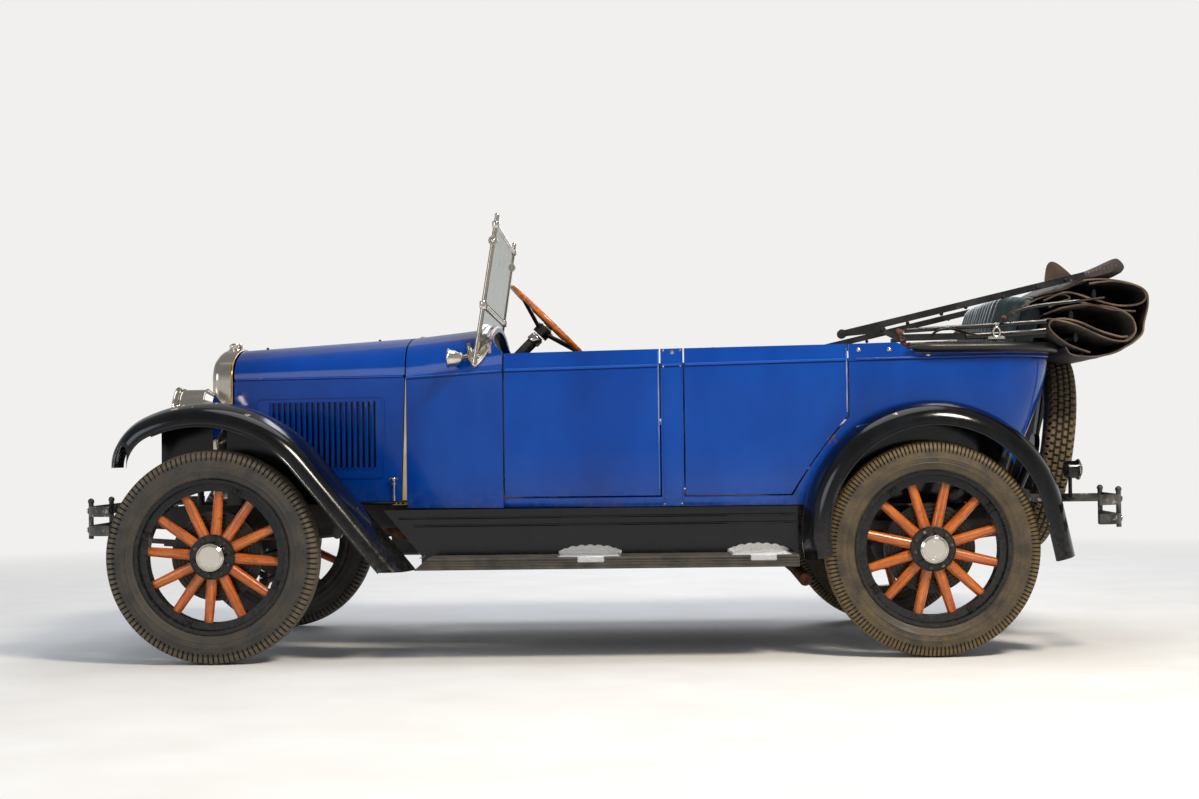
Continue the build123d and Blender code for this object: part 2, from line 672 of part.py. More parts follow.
def rear_fender():
    """Left rear fender, let into the body's side."""
    start = arc_point(REAR_ARC_X, REAR_ARC_Z, REAR_ARC_RADIUS, REAR_START_ANGLE)
    top = arc_point(REAR_ARC_X, REAR_ARC_Z, REAR_ARC_RADIUS, 95.0)
    turn = arc_point(REAR_ARC_X, REAR_ARC_Z, REAR_ARC_RADIUS, REAR_TAIL_ANGLE)
    tail = math.radians(REAR_TAIL_ANGLE)
    end = turn + Vector(math.sin(tail), 0, -math.cos(tail)) * REAR_TAIL_LENGTH
    path = Wire([Line(end, turn), ThreePointArc(turn, top, start)])
    plane = Plane(origin=end, x_dir=(0, -1, 0), z_dir=turn - end)
    blade = sweep(plane * fender_section(REAR_FENDER_INNER, FENDER_LIP_DROP), path=path)
    return blade - body_solid(-BODY_FENDER_GAP)


def running_board():
    """Left running board."""
    low = BOARD_TOP - BOARD_THICKNESS
    outline = [(BOARD_FRONT, BOARD_TOP), (BOARD_REAR, BOARD_TOP), (BOARD_REAR, low), (BOARD_FRONT - BOARD_RAKE, low)]
    return side_plate(outline, (-FENDER_OUTER + 5, -BOARD_INNER))


def splash_aprons():
    """Sheet between body and running board, and the ledge beside the hood, on the left."""
    slope = math.tan(math.radians(90 - RAMP_ANGLE))
    foot = BOARD_FRONT - BOARD_RAKE + 5.0
    low = BOARD_TOP - BOARD_THICKNESS
    top_front = foot - (APRON_TOP - BOARD_TOP) / slope
    outline = [(foot, low), (foot, BOARD_TOP), (top_front, APRON_TOP), (2086, APRON_TOP), (2086, low)]
    apron = side_plate(outline, (-APRON_PLANE - FENDER_SHEET, -APRON_PLANE))
    outer = -FRONT_FENDER_INNER + 1
    plan = Polyline((HOOD_FRONT, LEDGE_LAP - HOOD_FRONT_HALF), (HOOD_FRONT, outer), (HOOD_REAR, outer),
                    (HOOD_REAR, LEDGE_LAP - HOOD_REAR_HALF), close=True)
    ledge = extrude(Pos(0, 0, HOOD_BOTTOM - LEDGE_THICKNESS - 1) * make_face(plan), LEDGE_THICKNESS)
    return apron, ledge


# Frame and running gear

# station, height of the rail's top, depth of the rail
RAIL_SECTIONS = (
    (FRAME_FRONT, 526.0, 50.0),
    (-250.0, FRONT_RAIL_TOP, RAIL_DEPTH),
    (350.0, FRONT_RAIL_TOP, RAIL_DEPTH),
    (800.0, RAIL_TOP, RAIL_DEPTH),
    (RAIL_KICK_X, RAIL_TOP, RAIL_DEPTH),
    (RAIL_KICK_X + 75.0, REAR_RAIL_TOP, RAIL_DEPTH),
    (2760.0, REAR_RAIL_TOP, RAIL_DEPTH),
    (FRAME_REAR, 575.0, 62.0),
)

# station of the front face, height of the underside, depth
CROSSMEMBERS = (
    (-330.0, 480.0, 44.0),
    (1015.0, 506.0, 32.0),
    (1500.0, 482.0, 56.0),
    (2190.0, 566.0, 60.0),
    (2700.0, 575.0, 52.0),
    (2896.0, 534.0, 30.0),
)


def rail_underside(station):
    """Height of a rail's underside at a station."""
    for (x_low, top_low, deep_low), (x_high, top_high, deep_high) in zip(RAIL_SECTIONS, RAIL_SECTIONS[1:]):
        if station <= x_high:
            share = (station - x_low) / (x_high - x_low)
            return top_low - deep_low + share * (top_high - deep_high - top_low + deep_low)
    raise ValueError("station behind the frame")


def frame_rail():
    """Left channel rail, open towards the middle of the car."""
    top = [(x, z) for x, z, _ in RAIL_SECTIONS]
    low = [(x, z - depth) for x, z, depth in RAIL_SECTIONS]
    solid = side_plate(top + low[::-1], (-RAIL_OUTER, -RAIL_OUTER + RAIL_FLANGE))
    hollow_top = [(x, z - RAIL_WEB) for x, z in top]
    hollow_low = [(x, z + RAIL_WEB) for x, z in low]
    hollow = side_plate(hollow_top + hollow_low[::-1], (-RAIL_OUTER + RAIL_WEB, -RAIL_OUTER + RAIL_FLANGE + 1))
    return solid - hollow


def chassis_frame():
    """Two channel rails joined by their crossmembers."""
    rail = frame_rail()
    frame = rail + mirrored(rail)
    reach = RAIL_OUTER - RAIL_WEB
    for x, z, depth in CROSSMEMBERS:
        frame += block((x, x + CROSSMEMBER_WIDTH), (-reach, reach), (z, z + depth))
    return frame


def leaf_spring(centre_x, seat_z, half_length, rise):
    """Left semi-elliptic spring: stacked leaves between two eyes."""
    y_span = (-SPRING_HALF_TRACK - SPRING_WIDTH / 2, -SPRING_HALF_TRACK + SPRING_WIDTH / 2)
    radius = (half_length ** 2 + rise ** 2) / (2 * rise)
    centre_z = seat_z + LEAF_COUNT * LEAF_THICKNESS + radius
    leaves = None
    for index in range(LEAF_COUNT):
        r_inner = radius + index * LEAF_THICKNESS
        reach = half_length * (1 - 0.17 * index)
        ring = Cylinder(r_inner + LEAF_THICKNESS, SPRING_WIDTH) - Cylinder(r_inner, SPRING_WIDTH)
        ring = Pos(centre_x, -SPRING_HALF_TRACK, centre_z) * Rot(90, 0, 0) * ring
        leaf = ring & block((centre_x - reach, centre_x + reach), y_span, (0, centre_z - radius * 0.5))
        leaves = leaf if leaves is None else leaves + leaf
    eye_z = seat_z + LEAF_COUNT * LEAF_THICKNESS + rise
    for side in (-1, 1):
        eye = Pos(centre_x + side * half_length, -SPRING_HALF_TRACK, eye_z) * Rot(90, 0, 0) * Cylinder(
            SPRING_EYE_RADIUS, SPRING_WIDTH)
        x = centre_x + side * half_length
        hanger = block((x - HANGER_HALF, x + HANGER_HALF), y_span, (eye_z, rail_underside(x + HANGER_HALF) - 1))
        leaves += eye + hanger
    return leaves


def front_axle():
    """I-section beam with yokes and king pins."""
    seat = AXLE_HEIGHT - BEAM_DROP
    pad = SPRING_HALF_TRACK + 60.0
    half_beam = BEAM_DEPTH / 2
    end_y = KINGPIN_HALF_SPAN - KNUCKLE_BARREL_RADIUS - 8.0
    upper = [(-end_y, AXLE_HEIGHT + half_beam), (-pad, seat + half_beam), (pad, seat + half_beam),
             (end_y, AXLE_HEIGHT + half_beam)]
    lower = [(y, z - BEAM_DEPTH) for y, z in upper]
    face = make_face(Polyline(*[(-BEAM_WIDTH / 2, y, z) for y, z in upper + lower[::-1]], close=True))
    beam = extrude(face, BEAM_WIDTH, dir=(1, 0, 0))
    recess_upper = [(y, z - 8) for y, z in upper]
    recess_lower = [(y, z + 8) for y, z in lower]
    recess_face = make_face(Polyline(*[(0, y, z) for y, z in recess_upper + recess_lower[::-1]], close=True))
    recess = extrude(recess_face, BEAM_WIDTH, dir=(1, 0, 0))
    beam -= Pos(BEAM_WEB / 2, 0, 0) * recess
    beam -= Pos(-BEAM_WEB / 2 - BEAM_WIDTH, 0, 0) * recess
    for side in (-1, 1):
        y = side * KINGPIN_HALF_SPAN
        inner = side * end_y
        reach = KNUCKLE_HALF_HEIGHT + EAR_GAP
        for sign in (-1, 1):
            z = AXLE_HEIGHT + sign * (reach + EAR_THICKNESS / 2)
            beam += Pos(0, y, z) * Cylinder(KNUCKLE_BARREL_RADIUS, EAR_THICKNESS)
            beam += block((-18, 18), sorted((inner, y)), (z - EAR_THICKNESS / 2, z + EAR_THICKNESS / 2))
        post = block((-20, 20), sorted((inner - side * 16, inner)),
                     (AXLE_HEIGHT - reach - EAR_THICKNESS, AXLE_HEIGHT + reach + EAR_THICKNESS))
        beam += post
        beam += Pos(0, y, AXLE_HEIGHT) * Cylinder(KINGPIN_RADIUS, 2 * reach + 2)
    return beam


def knuckle():
    """Left steering knuckle with spindle, backing plate and steering arm."""
    y = -KINGPIN_HALF_SPAN
    plate_y = -HALF_TRACK + DRUM_OUTER_FACE + DRUM_WIDTH + BACKPLATE_GAP
    barrel = Pos(0, y, AXLE_HEIGHT) * Cylinder(KNUCKLE_BARREL_RADIUS, 2 * KNUCKLE_HALF_HEIGHT)
    spindle = rod((0, y, AXLE_HEIGHT), (0, -HALF_TRACK - 30, AXLE_HEIGHT), SPINDLE_RADIUS)
    boss = rod((0, y, AXLE_HEIGHT), (0, plate_y - 1, AXLE_HEIGHT), 30)
    plate = rod((0, plate_y, AXLE_HEIGHT), (0, plate_y - BACKPLATE_THICKNESS, AXLE_HEIGHT), DRUM_RADIUS - 2)
    arm_z = AXLE_HEIGHT - STEERING_ARM_DROP
    elbow = (KNUCKLE_BARREL_RADIUS + 40, y - STEERING_ARM_OFFSET, AXLE_HEIGHT - 24)
    arm = rod((10, y - STEERING_ARM_OFFSET, AXLE_HEIGHT), elbow, STEERING_ARM_RADIUS)
    arm += rod(elbow, (STEERING_ARM_LENGTH, y, arm_z + 6), STEERING_ARM_RADIUS)
    arm += Pos(*elbow) * Sphere(STEERING_ARM_RADIUS + 0.5)
    head = Pos(STEERING_ARM_LENGTH, y, arm_z + 6) * Cylinder(16, 20)
    pin = Pos(STEERING_ARM_LENGTH, y, arm_z - 18) * Cylinder(TIE_PIN_RADIUS, 32)
    body = barrel + spindle + boss + plate + arm + head + pin
    return body - Pos(0, y, AXLE_HEIGHT) * Cylinder(KINGPIN_RADIUS + RUNNING_FIT, 2 * KNUCKLE_HALF_HEIGHT + 2)


def tie_rod():
    """Rod behind the axle that joins the two steering arms."""
    z = AXLE_HEIGHT - STEERING_ARM_DROP - 18.0
    x = STEERING_ARM_LENGTH
    bar = rod((x, -KINGPIN_HALF_SPAN + 12, z), (x, KINGPIN_HALF_SPAN - 12, z), TIE_ROD_RADIUS)
    for side, clearance in ((-1, RUNNING_FIT), (1, OPEN_PIN_CLEARANCE)):
        bar += Pos(x, side * KINGPIN_HALF_SPAN, z) * Cylinder(18, 22)
        bar -= Pos(x, side * KINGPIN_HALF_SPAN, z) * Cylinder(TIE_PIN_RADIUS + clearance, 40)
    return bar


def rear_axle():
    """Tubes, differential housing, torque tube, spindles and backing plates."""
    plate_y = HALF_TRACK - DRUM_OUTER_FACE - DRUM_WIDTH - BACKPLATE_GAP
    tube = rod((WHEELBASE, -plate_y, AXLE_HEIGHT), (WHEELBASE, plate_y, AXLE_HEIGHT), REAR_TUBE_RADIUS)
    ball = Pos(WHEELBASE, 0, AXLE_HEIGHT) * Sphere(DIFFERENTIAL_RADIUS)
    torque = rod((WHEELBASE, 0, AXLE_HEIGHT), (GEARBOX_REAR + 4, 0, TRANSMISSION_Z), TORQUE_TUBE_RADIUS)
    axle = tube + ball + torque
    for side in (-1, 1):
        plate_end = side * (plate_y + BACKPLATE_THICKNESS)
        axle += rod((WHEELBASE, side * (plate_y - 1), AXLE_HEIGHT), (WHEELBASE, plate_end, AXLE_HEIGHT), DRUM_RADIUS - 2)
        axle += rod((WHEELBASE, 0, AXLE_HEIGHT), (WHEELBASE, side * (HALF_TRACK + 30), AXLE_HEIGHT), SPINDLE_RADIUS)
        axle += block((WHEELBASE - 40, WHEELBASE + 40), sorted((side * 350, side * 390)),
                      (AXLE_HEIGHT, AXLE_HEIGHT + REAR_TUBE_RADIUS + 3))
    return axle


def power_unit():
    """Engine as one plain block with its clutch housing and gearbox."""
    engine = block((60, 560), (-165, 165), (420, 930))
    housing = Pos(606, 0, TRANSMISSION_Z) * Rot(0, 90, 0) * Cylinder(130, 96)
    gearbox = block((650, GEARBOX_REAR), (-85, 85), (TRANSMISSION_Z - 70, TRANSMISSION_Z + 70))
    reach = RAIL_OUTER - RAIL_WEB - 0.5
    bearers = block((430, 480), (-reach, reach), (495, 515)) + block((80, 130), (-reach, reach), (495, 515))
    return engine + housing + gearbox + bearers


def exhaust():
    """Silencer and pipe that turns out ahead of the left rear wheel."""
    silencer = rod((1050, -230, 400), (1600, -230, 400), 60)
    front = bent_tube([(520, -210, 470), (700, -230, 400), (1060, -230, 400)], 22, 60)
    tail = bent_tube([(1590, -230, 400), (1960, -230, 400), (2090, -330, 300), (2112, -560, 265)], 23, 60)
    hangers = block((1056, 1072), (-245, -215), (450, 505.5)) + block((1520, 1540), (-245, -215), (450, 481.5))
    return silencer + front + tail + hangers


def fuel_tank():
    """Tank between the rear ends of the rails."""
    tank = fillet(block((2690, 2850), (-300, 300), (400, 515)).edges().filter_by(Axis.Y), 40)
    for side in (-1, 1):
        tank += block((2715, 2745), sorted((side * 220, side * 250)), (505, 574.5))
    return tank


# Wheels

def tyre(origin, outward):
    """Tyre with rounded tread and sidewalls."""
    half = TYRE_WIDTH / 2
    bead = RIM_WIDTH / 2 - 7.0
    seat = RIM_FLANGE_RADIUS + 2.0
    wide_r = (TYRE_RADIUS + BEAD_RADIUS) / 2 + 2
    outline = [
        Line((BEAD_RADIUS, 0, -bead), (seat, 0, -bead)),
        ThreePointArc((seat, 0, -bead), (seat + 18, 0, -half * 0.93), (wide_r, 0, -half)),
        ThreePointArc((wide_r, 0, -half), (TYRE_RADIUS - 40, 0, -half * 0.95), (TYRE_RADIUS - 14, 0, -half * 0.74)),
        ThreePointArc((TYRE_RADIUS - 14, 0, -half * 0.74), (TYRE_RADIUS, 0, 0), (TYRE_RADIUS - 14, 0, half * 0.74)),
        ThreePointArc((TYRE_RADIUS - 14, 0, half * 0.74), (TYRE_RADIUS - 40, 0, half * 0.95), (wide_r, 0, half)),
        ThreePointArc((wide_r, 0, half), (seat + 18, 0, half * 0.93), (seat, 0, bead)),
        Line((seat, 0, bead), (BEAD_RADIUS, 0, bead)),
        Line((BEAD_RADIUS, 0, bead), (BEAD_RADIUS, 0, -bead)),
    ]
    plane = Plane(origin=origin, z_dir=outward)
    return plane * revolve(make_face(outline), Axis.Z)


def rim_ring():
    """Demountable rim with its two flanges, about the Z axis."""
    half = RIM_WIDTH / 2
    profile = [(BEAD_RADIUS - 0.5, -half + 7), (RIM_FLANGE_RADIUS, -half + 6), (RIM_FLANGE_RADIUS, -half),
               (BEAD_RADIUS - 6, -half), (BEAD_RADIUS - 8, -half + 8), (BEAD_RADIUS - 8, half - 8),
               (BEAD_RADIUS - 6, half), (RIM_FLANGE_RADIUS, half), (RIM_FLANGE_RADIUS, half - 6),
               (BEAD_RADIUS - 0.5, half - 7)]
    return lathe(profile, (0, 0, 0), (0, 0, 1), (1, 0, 0))


def drum_profile():
    """Half-section of the brake drum, with concentric rings on its face: (radius, reach outward)."""
    face = 1.0 - DRUM_OUTER_FACE
    back = -DRUM_OUTER_FACE - DRUM_WIDTH
    points = [(0, face)]
    for index in range(DRUM_RING_COUNT):
        inner = DRUM_RING_FIRST + index * DRUM_RING_PITCH
        outer = inner + DRUM_RING_WIDTH
        points += [(inner, face), (inner, face + DRUM_RING_PROUD), (outer, face + DRUM_RING_PROUD), (outer, face)]
    points += [(DRUM_RADIUS, face), (DRUM_RADIUS, back), (DRUM_RADIUS - DRUM_WALL, back),
               (DRUM_RADIUS - DRUM_WALL, face - 1 - DRUM_WALL), (0, face - 1 - DRUM_WALL)]
    return points


def road_wheel(origin, outward, phase):
    """Wood-spoked wheel with felloe, rim, hub, cap and brake drum; phase turns its first spoke off the top."""
    half = FELLOE_WIDTH / 2
    felloe = lathe([(FELLOE_INNER_RADIUS, -half), (BEAD_RADIUS - 7, -half), (BEAD_RADIUS - 7, half),
                    (FELLOE_INNER_RADIUS, half)], (0, 0, 0), (0, 0, 1), (1, 0, 0))
    nave = HUB_NAVE_WIDTH / 2
    face = nave + HUB_FLANGE_THICKNESS
    hub = lathe([(0, -DRUM_OUTER_FACE), (HUB_BARREL_RADIUS, -DRUM_OUTER_FACE), (HUB_BARREL_RADIUS, -face),
                 (HUB_FLANGE_RADIUS, -face), (HUB_FLANGE_RADIUS, face), (HUB_CAP_RADIUS + 3, face),
                 (HUB_CAP_RADIUS, face + 6), (HUB_CAP_RADIUS - 3, HUB_CAP_REACH - 6),
                 (HUB_CAP_RADIUS - 12, HUB_CAP_REACH), (0, HUB_CAP_REACH)], (0, 0, 0), (0, 0, 1), (1, 0, 0))
    drum = lathe(drum_profile(), (0, 0, 0), (0, 0, 1), (1, 0, 0))
    wheel = felloe + rim_ring() + hub + drum
    start = HUB_FLANGE_RADIUS - 6.0
    length = FELLOE_INNER_RADIUS + FELLOE_THICKNESS + 2.0 - start
    for index in range(SPOKE_COUNT):
        spoke = Pos(start + length / 2, 0, 0) * Rot(0, 90, 0) * Cone(SPOKE_HUB_RADIUS, SPOKE_FELLOE_RADIUS, length)
        wheel += Rot(0, 0, index * 360 / SPOKE_COUNT - phase) * spoke
    bore = Pos(0, 0, -60) * Cylinder(SPINDLE_RADIUS + RUNNING_FIT, 200)
    return Plane(origin=origin, x_dir=(0, 0, 1), z_dir=outward) * (wheel - bore)


# Windshield, steering, seats

def post_point(height, side=-1):
    """Point on a windshield post's axis at the given height."""
    share = (height - POST_BASE_Z) / (POST_TOP_Z - POST_BASE_Z)
    x = POST_BASE_X + share * (POST_TOP_X - POST_BASE_X)
    y = POST_BASE_Y + share * (POST_TOP_Y - POST_BASE_Y)
    return (x, side * y, height)


def crown_band(low, high, x_span):
    """Band that follows the cowl's crown, between two offsets above it."""
    shape = cowl_solid(-high, 900) - cowl_solid(-low, 899)
    return shape & block(x_span, (-556, 556), (1100, 1400))


def windshield_frame():
    """Posts, header, bars, crown strip, pivots and foot brackets."""
    strip_x = post_point(1230)[0]
    half_strip = CROWN_STRIP_WIDTH / 2
    frame = crown_band(2.0, 2.0 + CROWN_STRIP_HEIGHT, (strip_x - half_strip, strip_x + half_strip))
    bracket_skin = cowl_solid(-10.0, 900) - cowl_solid(-2.0, 899)
    for side in (-1, 1):
        frame += rod((POST_BASE_X, side * POST_BASE_Y, POST_BASE_Z), post_point(POST_TOP_Z, side), POST_RADIUS)
        x, y, z = post_point(PIVOT_Z, side)
        frame += rod((x, y - side * 9, z), (x, y + side * 16, z), PIVOT_RADIUS)
        foot = side_plate([(890, 1140), (896, 1085), (922, 1048), (950, 1075), (985, 1150), (972, 1156), (936, 1104),
                           (908, 1104), (904, 1142)], sorted((side * 500, side * 620)))
        frame += foot & bracket_skin
    for height in (HEADER_Z, MID_BAR_Z):
        frame += rod(post_point(height, -1), post_point(height, 1), BAR_RADIUS)
    return frame


def windshield_glass():
    """Upper swinging pane and the small pane above the cowl."""
    lean = (POST_TOP_X - POST_BASE_X) / (POST_TOP_Z - POST_BASE_Z)

    def pane(low, high):
        edge = POST_RADIUS + 3.0
        x_low, y_low, _ = post_point(low, 1)
        x_high, y_high, _ = post_point(high, 1)
        corners = [(x_low, -(y_low - edge), low), (x_low, y_low - edge, low), (x_high, y_high - edge, high),
                   (x_high, -(y_high - edge), high)]
        return extrude(make_face(Polyline(*corners, close=True)), GLASS_THICKNESS / 2, both=True)

    upper = pane(MID_BAR_Z + BAR_RADIUS + 1, HEADER_Z - BAR_RADIUS - 1)
    lower = pane(1130, MID_BAR_Z - BAR_RADIUS - 1) - cowl_solid(-16.0, 900)
    return upper, lower


def column_axis():
    """Unit vector from the toe board up to the steering wheel."""
    turn = math.radians(COLUMN_ANGLE)
    return Vector(math.cos(turn), 0, math.sin(turn))


def column_clearance():
    """Room for the steering column through the boards."""
    hub = Vector(STEERING_HUB_X, COLUMN_Y, STEERING_HUB_Z)
    return rod(hub - column_axis() * 60, hub - column_axis() * 1000, COLUMN_RADIUS + 2)


def steering_column():
    """Jacketed column with the steering box at its foot."""
    hub = Vector(STEERING_HUB_X, COLUMN_Y, STEERING_HUB_Z)
    top = hub - column_axis() * (STEERING_DISH + 22)
    foot = top - column_axis() * COLUMN_LENGTH
    column = rod(top, foot, COLUMN_RADIUS)
    box = Pos(foot.X, COLUMN_Y + 4, foot.Z) * Box(90, 62, 100)
    bracket = block((foot.X - 30, foot.X + 30), (-RAIL_OUTER + 2, COLUMN_Y), (RAIL_TOP + 5, RAIL_TOP + 25))
    return column + box + bracket


def steering_wheel():
    """Wooden rim on dished spokes with a hub and button."""
    spin = Plane(origin=(STEERING_HUB_X, COLUMN_Y, STEERING_HUB_Z), x_dir=(0, 1, 0), z_dir=column_axis())
    rim = Torus(STEERING_RADIUS, STEERING_RIM_RADIUS)
    hub = Pos(0, 0, -STEERING_DISH) * Cylinder(32, 36)
    button = Pos(0, 0, -STEERING_DISH + 30) * Cylinder(20, 26)
    wheel = rim + hub + button
    for index in range(STEERING_SPOKES):
        spoke = rod((20, 0, -STEERING_DISH), (STEERING_RADIUS, 0, -2), 7)
        wheel += Rot(0, 0, 45 + index * 360 / STEERING_SPOKES) * spoke
    return spin * wheel


def cushion(x_span, half_width, z_span, rounding):
    """Plain upholstered block with rounded edges."""
    body = block(x_span, (-half_width, half_width), z_span)
    return fillet(body.edges(), rounding)


def front_seat():
    """Front bench: cushion and leaning back on a box."""
    base = cushion((1200, 1650), 535, (FLOOR_TOP + 2, 860), 35)
    back = Pos(1665, 0, 720) * Rot(0, 12, 0) * cushion((0, 110), 535, (0, 410), 40)
    return base + back


def rear_seat():
    """Rear bench: cushion and taller leaning back."""
    base = cushion((2240, 2790), 535, (SEAT_PAN_TOP + 2, 850), 35)
    back = Pos(2745, 0, 700) * Rot(0, 15, 0) * cushion((0, 100), 470, (0, 570), 40)
    return base + back


# Radiator, lamps, bumpers

def radiator_shell():
    """Polished shell with its window, and the filler cap."""
    def outline(station, inset):
        return crown_section(station, HOOD_FRONT_HALF + SHELL_PROUD, HOOD_SHOULDER, HOOD_FRONT_TOP + SHELL_PROUD,
                             HOOD_FRONT_CORNER + SHELL_PROUD, SHELL_BOTTOM + inset, inset)
    solid = extrude(outline(SHELL_FRONT, 0), SHELL_DEPTH)
    front_edges = solid.faces().sort_by(Axis.X)[0].edges()
    solid = fillet(front_edges, SHELL_FRONT_ROUND)
    window = extrude(outline(SHELL_FRONT - 1, SHELL_FACE_BORDER), SHELL_DEPTH + 2)
    cap_profile = [(0, -14), (16, -14), (16, 4), (CAP_RADIUS, 4), (CAP_RADIUS, CAP_HEIGHT - 6),
                   (CAP_RADIUS - 8, CAP_HEIGHT), (0, CAP_HEIGHT)]
    cap = lathe(cap_profile, (CAP_X, 0, HOOD_FRONT_TOP + SHELL_PROUD), (0, 0, 1), (1, 0, 0))
    return solid - window + cap


def radiator_core():
    """Core seen through the shell's window, with upright slots between its fins."""
    inset = SHELL_FACE_BORDER + CORE_CLEARANCE
    front = SHELL_FRONT + CORE_SETBACK
    face = crown_section(front, HOOD_FRONT_HALF + SHELL_PROUD, HOOD_SHOULDER, HOOD_FRONT_TOP + SHELL_PROUD,
                         HOOD_FRONT_CORNER + SHELL_PROUD, SHELL_BOTTOM + inset, inset)
    core = extrude(face, CORE_DEPTH)
    half = HOOD_FRONT_HALF - SHELL_FACE_BORDER - FIN_PITCH
    count = int(half / FIN_PITCH)
    slots = []
    for index in range(-count, count + 1):
        y = index * FIN_PITCH
        slots.append(block((front - 1, front + FIN_SLOT_DEPTH), (y - FIN_SLOT / 2, y + FIN_SLOT / 2),
                           (SHELL_BOTTOM + inset + FIN_PITCH, HOOD_SHOULDER)))
    return core - slots


def headlamp():
    """Left headlamp drum with its domed back and stand."""
    r = HEADLAMP_RADIUS
    length = HEADLAMP_REAR - HEADLAMP_FRONT
    profile = [(0, 20), (r - 16, 20), (r - 14, 4), (r - 10, 0), (r, 4), (r, 22), (r - 6, 26), (r - 6, length - 52),
               (r - 22, length - 26), (r - 58, length - 6), (0, length)]
    drum = lathe(profile, (HEADLAMP_FRONT, -HEADLAMP_Y, HEADLAMP_Z), (1, 0, 0), (0, 1, 0))
    middle = (HEADLAMP_FRONT + HEADLAMP_REAR) / 2
    stand = rod((middle, -HEADLAMP_Y, HEADLAMP_Z - 60), (middle, -HEADLAMP_Y, FRONT_RAIL_TOP + 1), 12)
    return drum + stand


def lamps():
    """Headlamps on their cross bar, cowl lamps and the tail lamp."""
    middle = (HEADLAMP_FRONT + HEADLAMP_REAR) / 2
    bar = rod((middle, -HEADLAMP_Y, 745), (middle, HEADLAMP_Y, 745), 10)
    heads = headlamp() + mirrored(headlamp()) + bar
    side_profile = [(0, 8), (COWL_LAMP_RADIUS - 6, 8), (COWL_LAMP_RADIUS - 3, 0), (COWL_LAMP_RADIUS, 4),
                    (COWL_LAMP_RADIUS - 5, 30), (COWL_LAMP_RADIUS - 16, COWL_LAMP_LENGTH - 6), (0, COWL_LAMP_LENGTH)]
    cowl_lamp = lathe(side_profile, (COWL_LAMP_X - 28, -COWL_LAMP_Y, COWL_LAMP_Z), (1, 0, 0), (0, 1, 0))
    arm = rod((COWL_LAMP_X + 20, -COWL_LAMP_Y, COWL_LAMP_Z), (COWL_LAMP_X + 40, -543, COWL_LAMP_Z + 10), 8)
    cowl_lamp += arm
    return heads, cowl_lamp, mirrored(cowl_lamp), tail_lamp()


def tail_lamp():
    """Tail lamp on a bracket from the left rear bumper's arm."""
    r = TAIL_LAMP_RADIUS
    profile = [(0, 0), (r - 10, 0), (r - 4, 10), (r - 4, 44), (r, 44), (r, 54), (r - 6, 56), (r - 16, 62), (0, 64)]
    lamp = lathe(profile, (TAIL_LAMP_X - 20, -TAIL_LAMP_Y, TAIL_LAMP_Z), (1, 0, 0), (0, 1, 0))
    stalk = rod((TAIL_LAMP_X, -TAIL_LAMP_Y, TAIL_LAMP_Z - r + 8), (TAIL_LAMP_X, -TAIL_LAMP_Y, 544), 7)
    arm_side = RAIL_OUTER - RAIL_FLANGE / 2 + 9.0
    bracket = block((TAIL_LAMP_X - 14, TAIL_LAMP_X + 14), (-TAIL_LAMP_Y - 10, -arm_side), (540, 548))
    return lamp + stalk + bracket


def lamp_lenses():
    """Shallow domed lenses of the headlamps and cowl lamps."""
    big = HEADLAMP_RADIUS - 17
    small = COWL_LAMP_RADIUS - 7
    lenses = []
    for radius, x, y, z, depth in ((big, HEADLAMP_FRONT, HEADLAMP_Y, HEADLAMP_Z, 19),
                                   (small, COWL_LAMP_X - 28, COWL_LAMP_Y, COWL_LAMP_Z, 7)):
        lens = lathe([(0, 0), (radius * 0.6, 2), (radius, depth * 0.5), (radius, depth), (0, depth)], (x, -y, z),
                     (1, 0, 0), (0, 1, 0))
        lenses += [lens, mirrored(lens)]
    return lenses


def bumper_bar(face_x, height, inner_y, outer_y, inward):
    """One flat bar bowed across the car with its outer ends turned back."""
    back = inward * BUMPER_BAR_THICKNESS
    turn = BUMPER_END_RADIUS
    end_y = outer_y - turn
    start = (face_x, inner_y)
    path = [
        Line(start, (face_x + inward * 14, end_y)),
        ThreePointArc((face_x + inward * 14, end_y),
                      (face_x + inward * (14 + turn * 0.29), end_y + turn * 0.70),
                      (face_x + inward * (14 + turn), outer_y)),
    ]
    inner = [
        Line((face_x + back, inner_y), (face_x + inward * 14 + back, end_y)),
        ThreePointArc((face_x + inward * 14 + back, end_y),
                      (face_x + inward * (14 + turn * 0.29) + back * 0.7, end_y + turn * 0.70 - 6),
                      (face_x + inward * (14 + turn), outer_y - BUMPER_BAR_THICKNESS)),
    ]
    ends = [Line(path[0] @ 0, inner[0] @ 0), Line(path[1] @ 1, inner[1] @ 1)]
    bar = extrude(make_face(path + inner + ends), BUMPER_BAR_HEIGHT)
    return Pos(0, 0, height - BUMPER_BAR_HEIGHT / 2) * bar


def bumper_posts(face_x, inward, stations):
    """Upright bolts with ball ends that join the two bars."""
    posts = None
    for y in stations:
        x = face_x + inward * 12
        post = Pos(x, y, (BUMPER_UPPER_Z + BUMPER_LOWER_Z) / 2) * Cylinder(9, 132)
        post += Pos(x, y, BUMPER_UPPER_Z + 34) * Sphere(11.5)
        posts = post if posts is None else posts + post
    return posts


